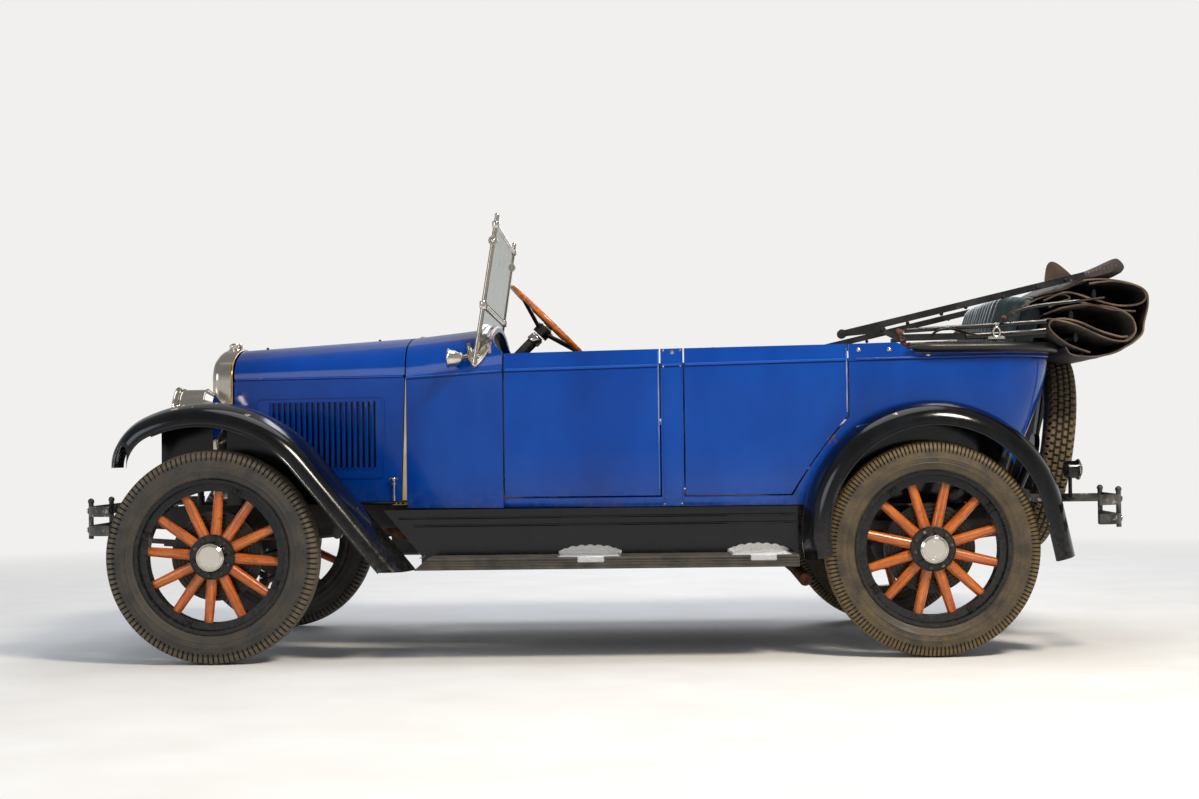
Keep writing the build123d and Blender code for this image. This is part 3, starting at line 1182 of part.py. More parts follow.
def bumpers():
    """Front bumper across the car and the pair of rear corner bumpers."""
    rail_y = RAIL_OUTER - RAIL_FLANGE / 2
    front = None
    for z in (BUMPER_UPPER_Z, BUMPER_LOWER_Z):
        half = bumper_bar(BUMPER_FACE, z, 0, BUMPER_HALF, 1)
        whole = half + mirrored(half)
        front = whole if front is None else front + whole
    front += bumper_posts(BUMPER_FACE, 1, (-BUMPER_POST_Y, -rail_y, rail_y, BUMPER_POST_Y))
    for side in (-1, 1):
        arm_span = sorted((side * (rail_y - 8), side * (rail_y + 8)))
        front += block((BUMPER_FACE + 8, FRAME_FRONT - 1), arm_span, (490, 520))
    corner = None
    for z in (BUMPER_UPPER_Z, BUMPER_LOWER_Z):
        bar = mirrored(bumper_bar(REAR_BUMPER_FACE, z, REAR_BUMPER_INNER, BUMPER_HALF, -1))
        corner = bar if corner is None else corner + bar
    corner += bumper_posts(REAR_BUMPER_FACE, -1, (-BUMPER_POST_Y, -rail_y))
    corner += block((FRAME_REAR + 1, REAR_BUMPER_FACE - 8), (-rail_y - 8, -rail_y + 8), (530, 560))
    return front, corner, mirrored(corner)


# Spare wheel and folded top

def spare_plane():
    """Plane of the spare, leaning back."""
    lean = math.radians(SPARE_LEAN)
    return Plane(origin=(SPARE_X, 0, SPARE_Z), x_dir=(0, 1, 0), z_dir=(math.cos(lean), 0, -math.sin(lean)))


def spare_rim():
    """Bare rim held by a three-armed bracket on the last crossmember."""
    rim = rim_ring()
    for index in range(3):
        arm = Pos(0, BEAD_RADIUS / 2 - 2, -20) * Box(50, BEAD_RADIUS - 6, 8)
        rim += Rot(0, 0, index * 120) * arm
    rim += Pos(0, 0, -20) * Cylinder(60, 20)
    placed = spare_plane() * rim
    stay = rod((FRAME_REAR + 9, 0, 512), (SPARE_X - 22, 0, SPARE_Z - 16), 18)
    foot = block((FRAME_REAR - 5, FRAME_REAR + 7), (-60, 60), (490, 533.5))
    return placed + stay + foot


def top_cloth():
    """Folded top: one bundle across the car, open below for the spare."""
    outline = [(2996, 1122), (2992, 1176), (3047, 1284), (3119, 1362), (3252, 1412), (3290, 1384), (3284, 1330),
               (CLOTH_REAR - 14, 1290), (CLOTH_REAR, 1262), (CLOTH_REAR, 1200), (3330, 1135), (3246, 1074),
               (3173, 1056), (3080, 1064), (3070, 1110)]
    bundle = side_plate(outline, (-CLOTH_HALF, CLOTH_HALF))
    bundle = fillet(bundle.edges().filter_by(Axis.Y), 9)
    room = spare_plane() * Cylinder(TYRE_RADIUS + SOFT_CLEARANCE, TYRE_WIDTH + 2 * SOFT_CLEARANCE)
    return bundle - room


def flat_bar(start, end, width, y_span):
    """Flat bar in the side view between two (station, height) points."""
    run_x, run_z = end[0] - start[0], end[1] - start[1]
    length = math.hypot(run_x, run_z)
    off_x, off_z = -run_z / length * width / 2, run_x / length * width / 2
    outline = [(start[0] + off_x, start[1] + off_z), (end[0] + off_x, end[1] + off_z),
               (end[0] - off_x, end[1] - off_z), (start[0] - off_x, start[1] - off_z)]
    return side_plate(outline, y_span)


def top_irons():
    """Left side of the folded top's ironwork: sockets, links, knees and the two supports on the body."""
    y_span = (-IRON_Y - IRON_THICKNESS / 2, -IRON_Y + IRON_THICKNESS / 2)
    hook, knee, pivot, clamp = (2253.0, 1150.0), (2397.0, 1162.0), (2451.0, 1134.0), (2799.0, 1136.0)
    irons = flat_bar(hook, (3130.0, 1351.0), IRON_WIDTH, y_span)
    irons += flat_bar(hook, knee, IRON_WIDTH - 6, y_span)
    irons += flat_bar(knee, pivot, IRON_WIDTH - 6, y_span)
    irons += flat_bar(pivot, (2985.0, 1140.0), IRON_WIDTH, y_span)
    for (x, z), radius in ((hook, 17), (knee, 15), (pivot, 15)):
        irons += Pos(x, -IRON_Y, z) * Rot(90, 0, 0) * Cylinder(radius, IRON_THICKNESS + 4)
    irons += block((pivot[0] - 22, pivot[0] + 22), y_span, (1118, 1130))
    irons += block((clamp[0] - 10, clamp[0] + 10), y_span, (1080, 1156))
    return irons


def main():
    """Build every node in turn."""
    os.makedirs("parts", exist_ok=True)
    front_door, rear_door, frame, tub = body_panels()
    save("door_front_left", front_door)
    save("door_front_right", mirrored(front_door))
    save("door_rear_left", rear_door)
    save("door_rear_right", mirrored(rear_door))
    save("body_frame", frame)
    save("body_tub", tub)
    save("cowl", cowl())
    save("dashboard", *dashboard())
    save("floor", floor())
    front, rear = front_fender(), rear_fender()
    save("front_fenders", front, mirrored(front))
    save("rear_fenders", rear, mirrored(rear))
    board = running_board()
    save("running_boards", board, mirrored(board))
    apron, ledge = splash_aprons()
    save("splash_aprons", apron, mirrored(apron), ledge, mirrored(ledge))
    top, side = hood_panels()
    save("hood_top_left", top)
    save("hood_top_right", mirrored(top))
    save("hood_side_left", side)
    save("hood_side_right", mirrored(side))
    save("radiator_shell", radiator_shell())
    save("radiator_core", radiator_core())
    save("frame", chassis_frame())
    front_spring = leaf_spring(0.0, AXLE_HEIGHT - BEAM_DROP + BEAM_DEPTH / 2 + 1, 390.0, 20.0)
    rear_spring = leaf_spring(WHEELBASE, AXLE_HEIGHT + REAR_TUBE_RADIUS + 4, 380.0, 26.0)
    save("leaf_springs", front_spring, mirrored(front_spring), rear_spring, mirrored(rear_spring))
    save("front_axle", front_axle())
    save("rear_axle", rear_axle())
    left_knuckle = knuckle()
    save("knuckle_left", left_knuckle)
    save("knuckle_right", mirrored(left_knuckle))
    save("tie_rod", tie_rod())
    save("power_unit", power_unit())
    save("exhaust", exhaust())
    save("fuel_tank", fuel_tank())
    for end, station in (("front", 0.0), ("rear", WHEELBASE)):
        for name, side_sign in (("left", -1), ("right", 1)):
            origin, outward = (station, side_sign * HALF_TRACK, AXLE_HEIGHT), (0, side_sign, 0)
            save(f"wheel_{end}_{name}", road_wheel(origin, outward, SPOKE_PHASES[end]))
            save(f"tyre_{end}_{name}", tyre(origin, outward))
    save("windshield_frame", windshield_frame())
    save("windshield_glass", *windshield_glass())
    save("steering_column", steering_column())
    save("steering_wheel", steering_wheel())
    save("seats", front_seat(), rear_seat())
    save("lamps", *lamps())
    save("lamp_lenses", *lamp_lenses())
    save("bumpers", *bumpers())
    save("spare_rim", spare_rim())
    place = spare_plane()
    save("spare_tyre", tyre(place.origin, place.z_dir))
    save("top_cloth", top_cloth())
    irons = top_irons()
    save("top_irons", irons, mirrored(irons))


if __name__ == "__main__":
    main()
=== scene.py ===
"""Dresses the touring car of the 1920s: finishes, tread, trim, upholstery and folded top.

Places along the car are given in millimetres behind the front axle (stations), across it in
millimetres to the car's right, and up from the ground. The function at() turns them into the
model's metres.
"""
import logging
import math
from dataclasses import dataclass, field
from enum import Enum
from typing import Any, Callable, Iterable, Optional, Sequence

import bmesh
import bpy
from mathutils import Matrix, Vector, noise
from mathutils.bvhtree import BVHTree

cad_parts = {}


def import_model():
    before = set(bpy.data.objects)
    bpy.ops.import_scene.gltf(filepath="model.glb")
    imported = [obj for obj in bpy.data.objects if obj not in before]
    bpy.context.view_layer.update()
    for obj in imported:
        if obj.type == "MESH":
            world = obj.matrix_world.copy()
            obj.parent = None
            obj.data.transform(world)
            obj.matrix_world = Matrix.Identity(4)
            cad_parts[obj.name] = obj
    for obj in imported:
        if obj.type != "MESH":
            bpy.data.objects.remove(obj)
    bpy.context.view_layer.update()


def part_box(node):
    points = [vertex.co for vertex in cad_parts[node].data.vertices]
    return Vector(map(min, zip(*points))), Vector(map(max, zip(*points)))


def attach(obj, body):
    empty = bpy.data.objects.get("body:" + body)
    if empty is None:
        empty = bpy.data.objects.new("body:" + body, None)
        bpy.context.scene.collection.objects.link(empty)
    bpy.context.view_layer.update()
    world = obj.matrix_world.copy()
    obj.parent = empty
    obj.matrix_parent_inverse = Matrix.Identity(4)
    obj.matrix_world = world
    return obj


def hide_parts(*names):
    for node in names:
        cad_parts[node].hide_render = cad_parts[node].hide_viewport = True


LOG = logging.getLogger("touring_car")

MM = 0.001
FULL_TURN = 2 * math.pi
SMOOTH_ANGLE = math.radians(32)
PHOTO_WIDTH = 1199
BACKDROP = "#F1F0EE"
# In millimetres: between the axles, to the tread, and the middle of the body's rounded back corners
WHEELBASE = 2546.0
TYRE_RADIUS = 381.0
BACK_CORNER = (2812.0, 376.0)

Tree = bpy.types.NodeTree
Node = bpy.types.Node
Socket = bpy.types.NodeSocket
Piece = bpy.types.Object
Face = bpy.types.MeshPolygon
Point = Sequence[float]


class Side(Enum):
    """Side of the car, with the sign of its Y."""

    LEFT = -1
    RIGHT = 1

    @property
    def word(self) -> str:
        """Name used in the frame's nodes and bodies."""
        return self.name.lower()

    @property
    def out(self) -> Vector:
        """Direction away from the car's middle."""
        return Vector((0, self.value, 0))

    def at(self, station: float, across: float, height: float) -> Vector:
        """Point in the model's metres, on this side.

        Args:
            station: millimetres behind the front axle.
            across: millimetres outward from the car's middle.
            height: millimetres above the ground.

        Returns:
            The point as a vector in metres.
        """
        return at(station, self.value * across, height)


class End(Enum):
    """End of the car."""

    FRONT = "front"
    REAR = "rear"


# Places

class Drawing:
    """The car's datum: the station of its front axle in the model's frame."""

    axle_x = 0.0

    @classmethod
    def read(cls) -> None:
        """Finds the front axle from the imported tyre."""
        low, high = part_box("tyre_front_left")
        cls.axle_x = (low.x + high.x) / 2


def at(station: float, across: float, height: float) -> Vector:
    """Point in the model's metres.

    Args:
        station: millimetres behind the front axle.
        across: millimetres to the car's right.
        height: millimetres above the ground.

    Returns:
        The point as a vector in metres.
    """
    return Vector((Drawing.axle_x + station * MM, across * MM, height * MM))


# Colours and nodes

def linear(code: str) -> tuple[float, float, float, float]:
    """Linear colour from an sRGB hex code.

    Args:
        code: six hex digits after a hash.

    Returns:
        Red, green, blue and an alpha of 1.
    """
    channels = [int(code[i:i + 2], 16) / 255 for i in (1, 3, 5)]
    red, green, blue = (c / 12.92 if c <= 0.04045 else ((c + 0.055) / 1.055) ** 2.4 for c in channels)
    return red, green, blue, 1.0


def feed(tree: Tree, node: Node, inputs: dict) -> None:
    """Links sockets to a node's inputs, or sets their values.

    Args:
        tree: the node tree.
        node: the node that is fed.
        inputs: sockets or values, by the input's name or number.
    """
    for key, value in inputs.items():
        if isinstance(value, Socket):
            tree.links.new(value, node.inputs[key])
        else:
            node.inputs[key].default_value = value


def add(tree: Tree, kind: str, inputs: Optional[dict] = None, out: Any = 0, **settings: Any) -> Socket:
    """Adds a shader node.

    Args:
        tree: the node tree.
        kind: the node's type, without the prefix that all share.
        inputs: sockets or values for its inputs, by name or number.
        out: the output to give back, by name or number.
        settings: the node's own properties.

    Returns:
        The output's socket.
    """
    node = tree.nodes.new("ShaderNode" + kind)
    for key, value in settings.items():
        setattr(node, key, value)
    feed(tree, node, inputs or {})
    return node.outputs[out]


# Masks

class Mask:
    """Something that has a share, mostly from 0 to 1, at every place."""

    def share(self, tree: Tree, place: Socket) -> Socket:
        """Adds the mask's nodes. Each mask has its own.

        Args:
            tree: the material's node tree.
            place: coordinates in the model's frame, in metres.

        Returns:
            The share's socket.
        """
        raise NotImplementedError


@dataclass(frozen=True)
class Blotches(Mask):
    """Noise of a real size, turned to a share between two of its values.

    It can be stretched along the model's axes, and fade in downwards between two heights.
    """

    size_mm: float
    detail: float
    low: float = 0.0
    high: float = 1.0
    least: float = 0.0
    most: float = 1.0
    stretch: tuple[float, float, float] = (1.0, 1.0, 1.0)
    fade_mm: Optional[tuple[float, float]] = None

    def share(self, tree: Tree, place: Socket) -> Socket:
        """Adds the mask's nodes."""
        moved = add(tree, "VectorMath", {0: place, 1: self.stretch}, operation="MULTIPLY")
        value = add(tree, "TexNoise", {"Vector": moved, "Scale": 1 / (self.size_mm * MM), "Detail": self.detail})
        value = add(tree, "MapRange", {0: value, 1: self.low, 2: self.high, 3: self.least, 4: self.most})
        if self.fade_mm:
            top, foot = self.fade_mm
            value = add(tree, "MapRange", {0: add(tree, "SeparateXYZ", {0: place}, "Z"), 1: top * MM, 2: foot * MM,
                                           3: 0.0, 4: value})
        return value


@dataclass(frozen=True)
class WornSpot(Mask):
    """Paint worn through round one place, with a ragged edge. All in mm."""

    station: float
    across: float
    height: float
    radius: float

    def share(self, tree: Tree, place: Socket) -> Socket:
        """Adds the mask's nodes."""
        middle = tuple(at(self.station, self.across, self.height))
        distance = add(tree, "VectorMath", {0: place, 1: middle}, 1, operation="DISTANCE")
        ragged = Blotches(self.radius * 0.5, 6.0, most=self.radius * 2.4 * MM).share(tree, place)
        reach = add(tree, "Math", {0: distance, 1: ragged}, operation="ADD")
        return add(tree, "MapRange", {0: reach, 1: self.radius * 1.75 * MM, 2: self.radius * 1.62 * MM})


@dataclass(frozen=True)
class WheelWell(Mask):
    """What lies inside a wheel's arch, seen from the side. All in mm."""

    station: float
    height: float
    radius: float

    def share(self, tree: Tree, place: Socket) -> Socket:
        """Adds the mask's nodes."""
        flat = add(tree, "VectorMath", {0: place, 1: (1.0, 0.0, 1.0)}, operation="MULTIPLY")
        middle = tuple(at(self.station, 0.0, self.height))
        reach = add(tree, "VectorMath", {0: flat, 1: middle}, 1, operation="DISTANCE")
        return add(tree, "MapRange", {0: reach, 1: (self.radius + 1) * MM, 2: (self.radius - 1) * MM})


@dataclass(frozen=True)
class LouvreGapShade(Mask):
    """Painted shade in the gap behind each louvre of the hood. All in mm."""

    first: float = 125.0
    pitch: float = 22.0
    width: float = 15.0
    count: int = 19
    low: float = 687.0
    high: float = 936.0

    def share(self, tree: Tree, place: Socket) -> Socket:
        """Adds the mask's nodes."""
        along = add(tree, "Math", {0: add(tree, "SeparateXYZ", {0: place}, "X"), 1: at(self.first, 0, 0).x},
                    operation="SUBTRACT")
        steps = add(tree, "Math", {0: along, 1: self.pitch * MM}, operation="DIVIDE")
        part = add(tree, "Math", {0: steps}, operation="FRACT")
        height, edge = add(tree, "SeparateXYZ", {0: place}, "Z"), self.width / self.pitch
        total: Any = 1.0
        for value, start, end in ((part, edge - 0.1, edge - 0.02), (part, 0.995, 0.95), (steps, 0.0, 0.1),
                                  (steps, self.count + 0.02, self.count - 0.02),
                                  (height, self.low * MM, (self.low + 4) * MM),
                                  (height, self.high * MM, (self.high - 4) * MM)):
            total = add(tree, "MapRange", {0: value, 1: start, 2: end, 3: 0.0, 4: total})
        return total


@dataclass(frozen=True)
class BeltShadow(Mask):
    """Painted shadow along the belt bead's lower edge. All in mm."""

    line: tuple[tuple[float, float], ...]
    drop: float = 7.6

    def share(self, tree: Tree, place: Socket) -> Socket:
        """Adds the mask's nodes."""
        along, line = add(tree, "SeparateXYZ", {0: place}, "X"), (self.line[0][1] - self.drop) * MM
        for (front, low), (rear, high) in zip(self.line, self.line[1:]):
            rise = add(tree, "MapRange", {0: along, 1: at(front, 0, 0).x, 2: at(rear, 0, 0).x, 3: 0.0,
                                          4: (high - low) * MM})
            line = add(tree, "Math", {0: line, 1: rise}, operation="ADD")
        away = add(tree, "Math", {0: add(tree, "SeparateXYZ", {0: place}, "Z"), 1: line}, operation="SUBTRACT")
        away = add(tree, "Math", {0: away}, operation="ABSOLUTE")
        return add(tree, "MapRange", {0: away, 1: 2.6 * MM, 2: 1.4 * MM, 3: 0.0, 4: 0.85})


@dataclass(frozen=True)
class BoardJoints(Mask):
    """Joints between boards that run along the car."""

    board_mm: float = 120.0

    def share(self, tree: Tree, place: Socket) -> Socket:
        """Adds the mask's nodes."""
        value = add(tree, "SeparateXYZ", {0: place}, "Y")
        for operation, by in (("DIVIDE", self.board_mm * MM), ("FRACT", 0.0), ("SUBTRACT", 0.5), ("ABSOLUTE", 0.0)):
            value = add(tree, "Math", {0: value, 1: by}, operation=operation)
        return add(tree, "MapRange", {0: value, 1: 0.485, 2: 0.495})


@dataclass(frozen=True)
class Twill(Mask):
    """Diagonal threads of a cloth."""

    thread_mm: float

    def share(self, tree: Tree, place: Socket) -> Socket:
        """Adds the mask's nodes."""
        return add(tree, "TexWave", {"Vector": place, "Scale": 1 / (self.thread_mm * MM) / FULL_TURN,
                                     "Distortion": 1.0}, "Fac", bands_direction="DIAGONAL")


@dataclass(frozen=True)
class Pebbles(Mask):
    """Cells of a hide's grain."""

    grain_mm: float

    def share(self, tree: Tree, place: Socket) -> Socket:
        """Adds the mask's nodes."""
        return add(tree, "TexVoronoi", {"Vector": place, "Scale": 1 / (self.grain_mm * MM)}, "Distance")


@dataclass(frozen=True)
class TyreRings(Mask):
    """Rings on a sidewall, from the distance to the wheel's middle that the mesh stores."""

    low: float = 0.0
    high: float = 1.0

    def share(self, tree: Tree, place: Socket) -> Socket:
        """Adds the mask's nodes."""
        ring = add(tree, "Attribute", None, "Fac", attribute_name="ring")
        value = add(tree, "TexNoise", {"W": ring, "Scale": 420.0, "Detail": 4.0}, noise_dimensions="1D")
        return add(tree, "MapRange", {0: value, 1: self.low, 2: self.high})


@dataclass(frozen=True)
class TyreDust(Mask):
    """Dust in clouds on a tyre, and nearly all over its tread."""

    most: float

    def share(self, tree: Tree, place: Socket) -> Socket:
        """Adds the mask's nodes."""
        both = add(tree, "Math", {0: Blotches(70.0, 7.0, most=0.7).share(tree, place),
                                  1: Blotches(7.0, 5.0, most=0.3).share(tree, place)}, operation="ADD")
        dusty = add(tree, "MapRange", {0: both, 1: 0.4, 2: 0.62, 3: 0.0, 4: self.most})
        ring = add(tree, "Attribute", None, "Fac", attribute_name="ring")
        tread = add(tree, "MapRange", {0: ring, 1: 0.349, 2: 0.356, 3: 0.0, 4: 0.9})
        return add(tree, "Math", {0: dusty, 1: tread}, operation="MAXIMUM")


@dataclass(frozen=True)
class TyreGrooves(Mask):
    """Depth of the tread's grooves, which the mesh stores."""

    def share(self, tree: Tree, place: Socket) -> Socket:
        """Adds the mask's nodes."""
        return add(tree, "Attribute", None, "Fac", attribute_name="groove")


# Finishes

@dataclass(frozen=True)
class Finish:
    """Base of every finish: a colour, coats over it, roughness, relief and fixed values."""

    name: str
    colour: str = "#808080"

    def material(self) -> bpy.types.Material:
        """The material, made at its first use."""
        found = bpy.data.materials.get(self.name)
        if found is not None:
            return found
        made = bpy.data.materials.new(self.name)
        made.use_nodes = True
        self.dress(made.node_tree, made.node_tree.nodes["Principled BSDF"])
        return made

    def coats(self) -> Sequence[tuple[str, Mask]]:
        """Colours laid over the first, each with its mask."""
        return ()

    def rough(self) -> Sequence[tuple[str, Mask]]:
        """Masks that make the roughness from 0 up, each with its operation."""
        return ()

    def relief(self) -> Sequence[tuple[Mask, float, float]]:
        """Bumps from the lowest up: mask, depth in mm and strength."""
        return ()

    def fixed(self) -> dict[str, float]:
        """Values of the shader's own sockets."""
        return {}

    def place(self, tree: Tree) -> Socket:
        """Coordinates of the masks: the model's own frame, in metres."""
        return add(tree, "TexCoord", None, "Object")

    def dress(self, tree: Tree, shader: Node) -> None:
        """Adds the finish's nodes.

        Args:
            tree: the material's node tree.
            shader: the surface's shader, which they feed.
        """
        place = self.place(tree)
        values: dict = {"Base Color": linear(self.colour), **self.fixed()}
        for code, mask in self.coats():
            values["Base Color"] = add(tree, "Mix", {0: mask.share(tree, place), 6: values["Base Color"],
                                                     7: linear(code)}, 2, data_type="RGBA")
        for operation, mask in self.rough():
            values["Roughness"] = add(tree, "Math", {0: values.get("Roughness", 0.0), 1: mask.share(tree, place)},
                                      operation=operation)
        for mask, depth, strength in self.relief():
            under = {"Normal": values["Normal"]} if "Normal" in values else {}
            values["Normal"] = add(tree, "Bump", {"Strength": strength, "Distance": depth * MM,
                                                  "Height": mask.share(tree, place), **under})
        feed(tree, shader, values)


@dataclass(frozen=True)
class SprayedEnamel(Finish):
    """Synthetic enamel, sprayed over steel and polished: deep gloss with slight orange peel."""

    colour: str = "#003280"
    mid: str = "#003C94"
    faded: str = "#044AA8"
    gloss: float = 0.14
    marks: tuple[tuple[str, Mask], ...] = ()

    def dust(self, most: float) -> Blotches:
        """Road dust low down."""
        return Blotches(26.0, 5.0, 0.4, 0.75, most=0.22 * most, fade_mm=(640.0, 480.0))

    def coats(self) -> Sequence[tuple[str, Mask]]:
        """Faint fading in patches, dust, and marks of its own."""
        patchy = {"stretch": (1.0, 1.0, 0.45)}
        return ((self.mid, Blotches(420.0, 4.0, 0.35, 0.5, **patchy)),
                (self.faded, Blotches(420.0, 4.0, 0.52, 0.7, **patchy)), ("#7C7568", self.dust(1.0)), *self.marks)

    def rough(self) -> Sequence[tuple[str, Mask]]:
        """Gloss, duller in specks and under dust."""
        return ("ADD", Blotches(26.0, 5.0, 0.3, 0.8, self.gloss, self.gloss + 0.08)), ("ADD", self.dust(0.8))

    def relief(self) -> Sequence[tuple[Mask, float, float]]:
        """Orange peel and panel waves."""
        return (Blotches(5.0, 2.0), 0.03, 0.35), (Blotches(260.0, 1.0), 1.2, 0.5)

    def fixed(self) -> dict[str, float]:
        """A thin clear coat."""
        return {"Coat Weight": 0.1, "Coat Roughness": 0.05, "IOR": 1.35}


@dataclass(frozen=True)
class BakedEnamel(Finish):
    """Black baked enamel on pressed steel: glossy, with chips down to pale primer and road dust."""

    colour: str = "#07080B"
    worn: str = "#101318"
    primer: str = "#8E7A6E"
    dust: str = "#6E675B"
    gloss: float = 0.11
    dust_top_mm: float = 560.0
    dust_share: float = 0.16
    chip_mm: float = 70.0
    chip_from: float = 0.735
    spots: tuple[WornSpot, ...] = ()

    def chips(self, most: float = 1.0) -> Blotches:
        """Where the enamel is chipped off."""
        return Blotches(self.chip_mm, 8.0, self.chip_from, self.chip_from + 0.012, most=most)

    def dusty(self, most: float) -> Blotches:
        """Road dust low down."""
        return Blotches(18.0, 5.0, 0.38, 0.7, most=self.dust_share * most,
                        fade_mm=(self.dust_top_mm, self.dust_top_mm - 260))

    def coats(self) -> Sequence[tuple[str, Mask]]:
        """Streaks, dust, chips and spots worn bare."""
        return ((self.worn, Blotches(60.0, 6.0, 0.45, 0.75, stretch=(1.0, 1.0, 0.35))), (self.dust, self.dusty(1.0)),
                (self.primer, self.chips()), *(("#C9A79C", spot) for spot in self.spots))

    def rough(self) -> Sequence[tuple[str, Mask]]:
        """Gloss, duller in streaks, under dust and on chips."""
        streaks = Blotches(60.0, 6.0, 0.3, 0.8, self.gloss, self.gloss + 0.09, (1.0, 1.0, 0.35))
        return ("ADD", streaks), ("ADD", self.dusty(0.9)), ("MAXIMUM", self.chips(0.6))

    def relief(self) -> Sequence[tuple[Mask, float, float]]:
        """Edges of the chips, and dents."""
        return (self.chips(), -0.4, 0.8), (Blotches(140.0, 2.0), 0.8, 0.4)

    def fixed(self) -> dict[str, float]:
        """A baked skin."""
        return {"Coat Weight": 0.12, "Coat Roughness": 0.12, "IOR": 1.4}


@dataclass(frozen=True)
class ChassisBlack(Finish):
    """Brushed black chassis paint: dull, greasy and dusty, with rust where it has flaked."""

    colour: str = "#17171A"
    dust: str = "#574F45"
    rust: str = "#4B2A1A"
    dust_share: float = 0.55
    rust_from: float = 0.62
    dull: float = 0.55

    def coats(self) -> Sequence[tuple[str, Mask]]:
        """Dust in blotches and rust flakes."""
        return ((self.dust, Blotches(70.0, 6.0, 0.42, 0.7, most=self.dust_share)),
                (self.rust, Blotches(22.0, 7.0, self.rust_from, self.rust_from + 0.06, most=0.75)))

    def rough(self) -> Sequence[tuple[str, Mask]]:
        """Duller where dusty."""
        return (("ADD", Blotches(70.0, 6.0, 0.3, 0.7, self.dull - 0.12, self.dull + 0.25)),)

    def relief(self) -> Sequence[tuple[Mask, float, float]]:
        """Brush marks and flakes."""
        return ((Blotches(22.0, 7.0), 0.5, 0.6),)


@dataclass(frozen=True)
class NickelPlate(Finish):
    """Nickel plate on brass, polished by hand: warm and bright, slightly pitted."""

    colour: str = "#D6CFC4"
    tarnish: str = "#8D8071"
    gloss: float = 0.13
    tarnish_from: float = 0.56

    def coats(self) -> Sequence[tuple[str, Mask]]:
        """Tarnish clouds."""
        return ((self.tarnish, Blotches(60.0, 2.5, self.tarnish_from, self.tarnish_from + 0.2, most=0.45)),)

    def rough(self) -> Sequence[tuple[str, Mask]]:
        """Duller in the clouds and the pits."""
        clouds = Blotches(60.0, 2.5, self.tarnish_from, self.tarnish_from + 0.2, self.gloss, self.gloss + 0.14)
        return ("ADD", clouds), ("ADD", Blotches(2.5, 3.0, 0.66, 0.84, most=0.06))

    def fixed(self) -> dict[str, float]:
        """Bare metal."""
        return {"Metallic": 1.0}


@dataclass(frozen=True)
class CastAluminium(Finish):
    """Cast aluminium, brushed on its raised parts: pale and satin with dark in its pores."""

    colour: str = "#D9DADB"

    def coats(self) -> Sequence[tuple[str, Mask]]:
        """Dark pores."""
        return (("#8C8C8A", Blotches(3.0, 4.0, 0.5, 0.72)),)

    def rough(self) -> Sequence[tuple[str, Mask]]:
        """Fine scratches across."""
        return (("ADD", Blotches(8.0, 3.0, 0.3, 0.7, 0.3, 0.48, (1.0, 8.0, 1.0))),)

    def relief(self) -> Sequence[tuple[Mask, float, float]]:
        """Casting grain."""
        return ((Blotches(3.0, 4.0), 0.12, 0.5),)

    def fixed(self) -> dict[str, float]:
        """Nearly bare metal."""
        return {"Metallic": 0.9}


@dataclass(frozen=True)
class VarnishedHickory(Finish):
    """Hickory under spar varnish: orange, with dark grain along each spoke or round the steering rim."""

    colour: str = "#A54C12"
    pale: str = "#CC6E1E"
    dark: str = "#5A2409"
    radial: bool = True
    half_size_mm: tuple[float, float, float] = (281.0, 60.0, 281.0)

    def dress(self, tree: Tree, shader: Node) -> None:
        """Grain runs out from the middle of a wheel."""
        if self.radial:
            share = add(tree, "TexCoord", None, "Generated")
            middle = add(tree, "VectorMath", {0: share, 1: (0.5, 0.5, 0.5)}, operation="SUBTRACT")
            place = add(tree, "VectorMath", {0: middle, 1: tuple(2 * v * MM for v in self.half_size_mm)},
                        operation="MULTIPLY")
            flat = add(tree, "VectorMath", {0: place, 1: (1.0, 0.0, 1.0)}, operation="MULTIPLY")
            x, y, z = (add(tree, "SeparateXYZ", {0: place}, axis) for axis in "XYZ")
            radius = add(tree, "VectorMath", {0: flat}, 1, operation="LENGTH")
            angle = add(tree, "Math", {0: z, 1: x}, operation="ARCTAN2")
            grain = add(tree, "CombineXYZ", {0: add(tree, "Math", {0: radius, 1: 0.12}, operation="MULTIPLY"),
                                             1: add(tree, "Math", {0: angle, 1: 0.22}, operation="MULTIPLY"), 2: y})
        else:
            place = grain = self.place(tree)
        colour: Any = linear(self.colour)
        for code, mask, where in ((self.pale, Blotches(14.0, 3.0, 0.35, 0.65), grain),
                                  (self.dark, Blotches(3.2, 5.0, 0.56, 0.74, most=0.85), grain),
                                  (self.dark, Blotches(24.0, 5.0, 0.6, 0.8, most=0.7), place)):
            colour = add(tree, "Mix", {0: mask.share(tree, where), 6: colour, 7: linear(code)}, 2, data_type="RGBA")
        normal = add(tree, "Bump", {"Strength": 0.5, "Distance": 0.25 * MM,
                                    "Height": Blotches(3.2, 5.0).share(tree, grain)})
        feed(tree, shader, {"Base Color": colour, "Normal": normal, "Coat Weight": 0.5, "Coat Roughness": 0.15,
                            "Roughness": Blotches(24.0, 5.0, 0.3, 0.8, 0.22, 0.45).share(tree, place)})


@dataclass(frozen=True)
class MouldedRubber(Finish):
    """Moulded black rubber greyed by age and road dust."""

    colour: str = "#2B2A28"
    dust: str = "#6E6350"
    dust_share: float = 0.5

    def coats(self) -> Sequence[tuple[str, Mask]]:
        """Dust clouds."""
        return ((self.dust, Blotches(55.0, 7.0, 0.35, 0.72, most=self.dust_share)),)

    def rough(self) -> Sequence[tuple[str, Mask]]:
        """Duller where dusty."""
        return (("ADD", Blotches(55.0, 7.0, 0.3, 0.7, 0.55, 0.85)),)

    def relief(self) -> Sequence[tuple[Mask, float, float]]:
        """A fine moulded skin."""
        return ((Blotches(6.0, 6.0), 0.3, 0.5),)


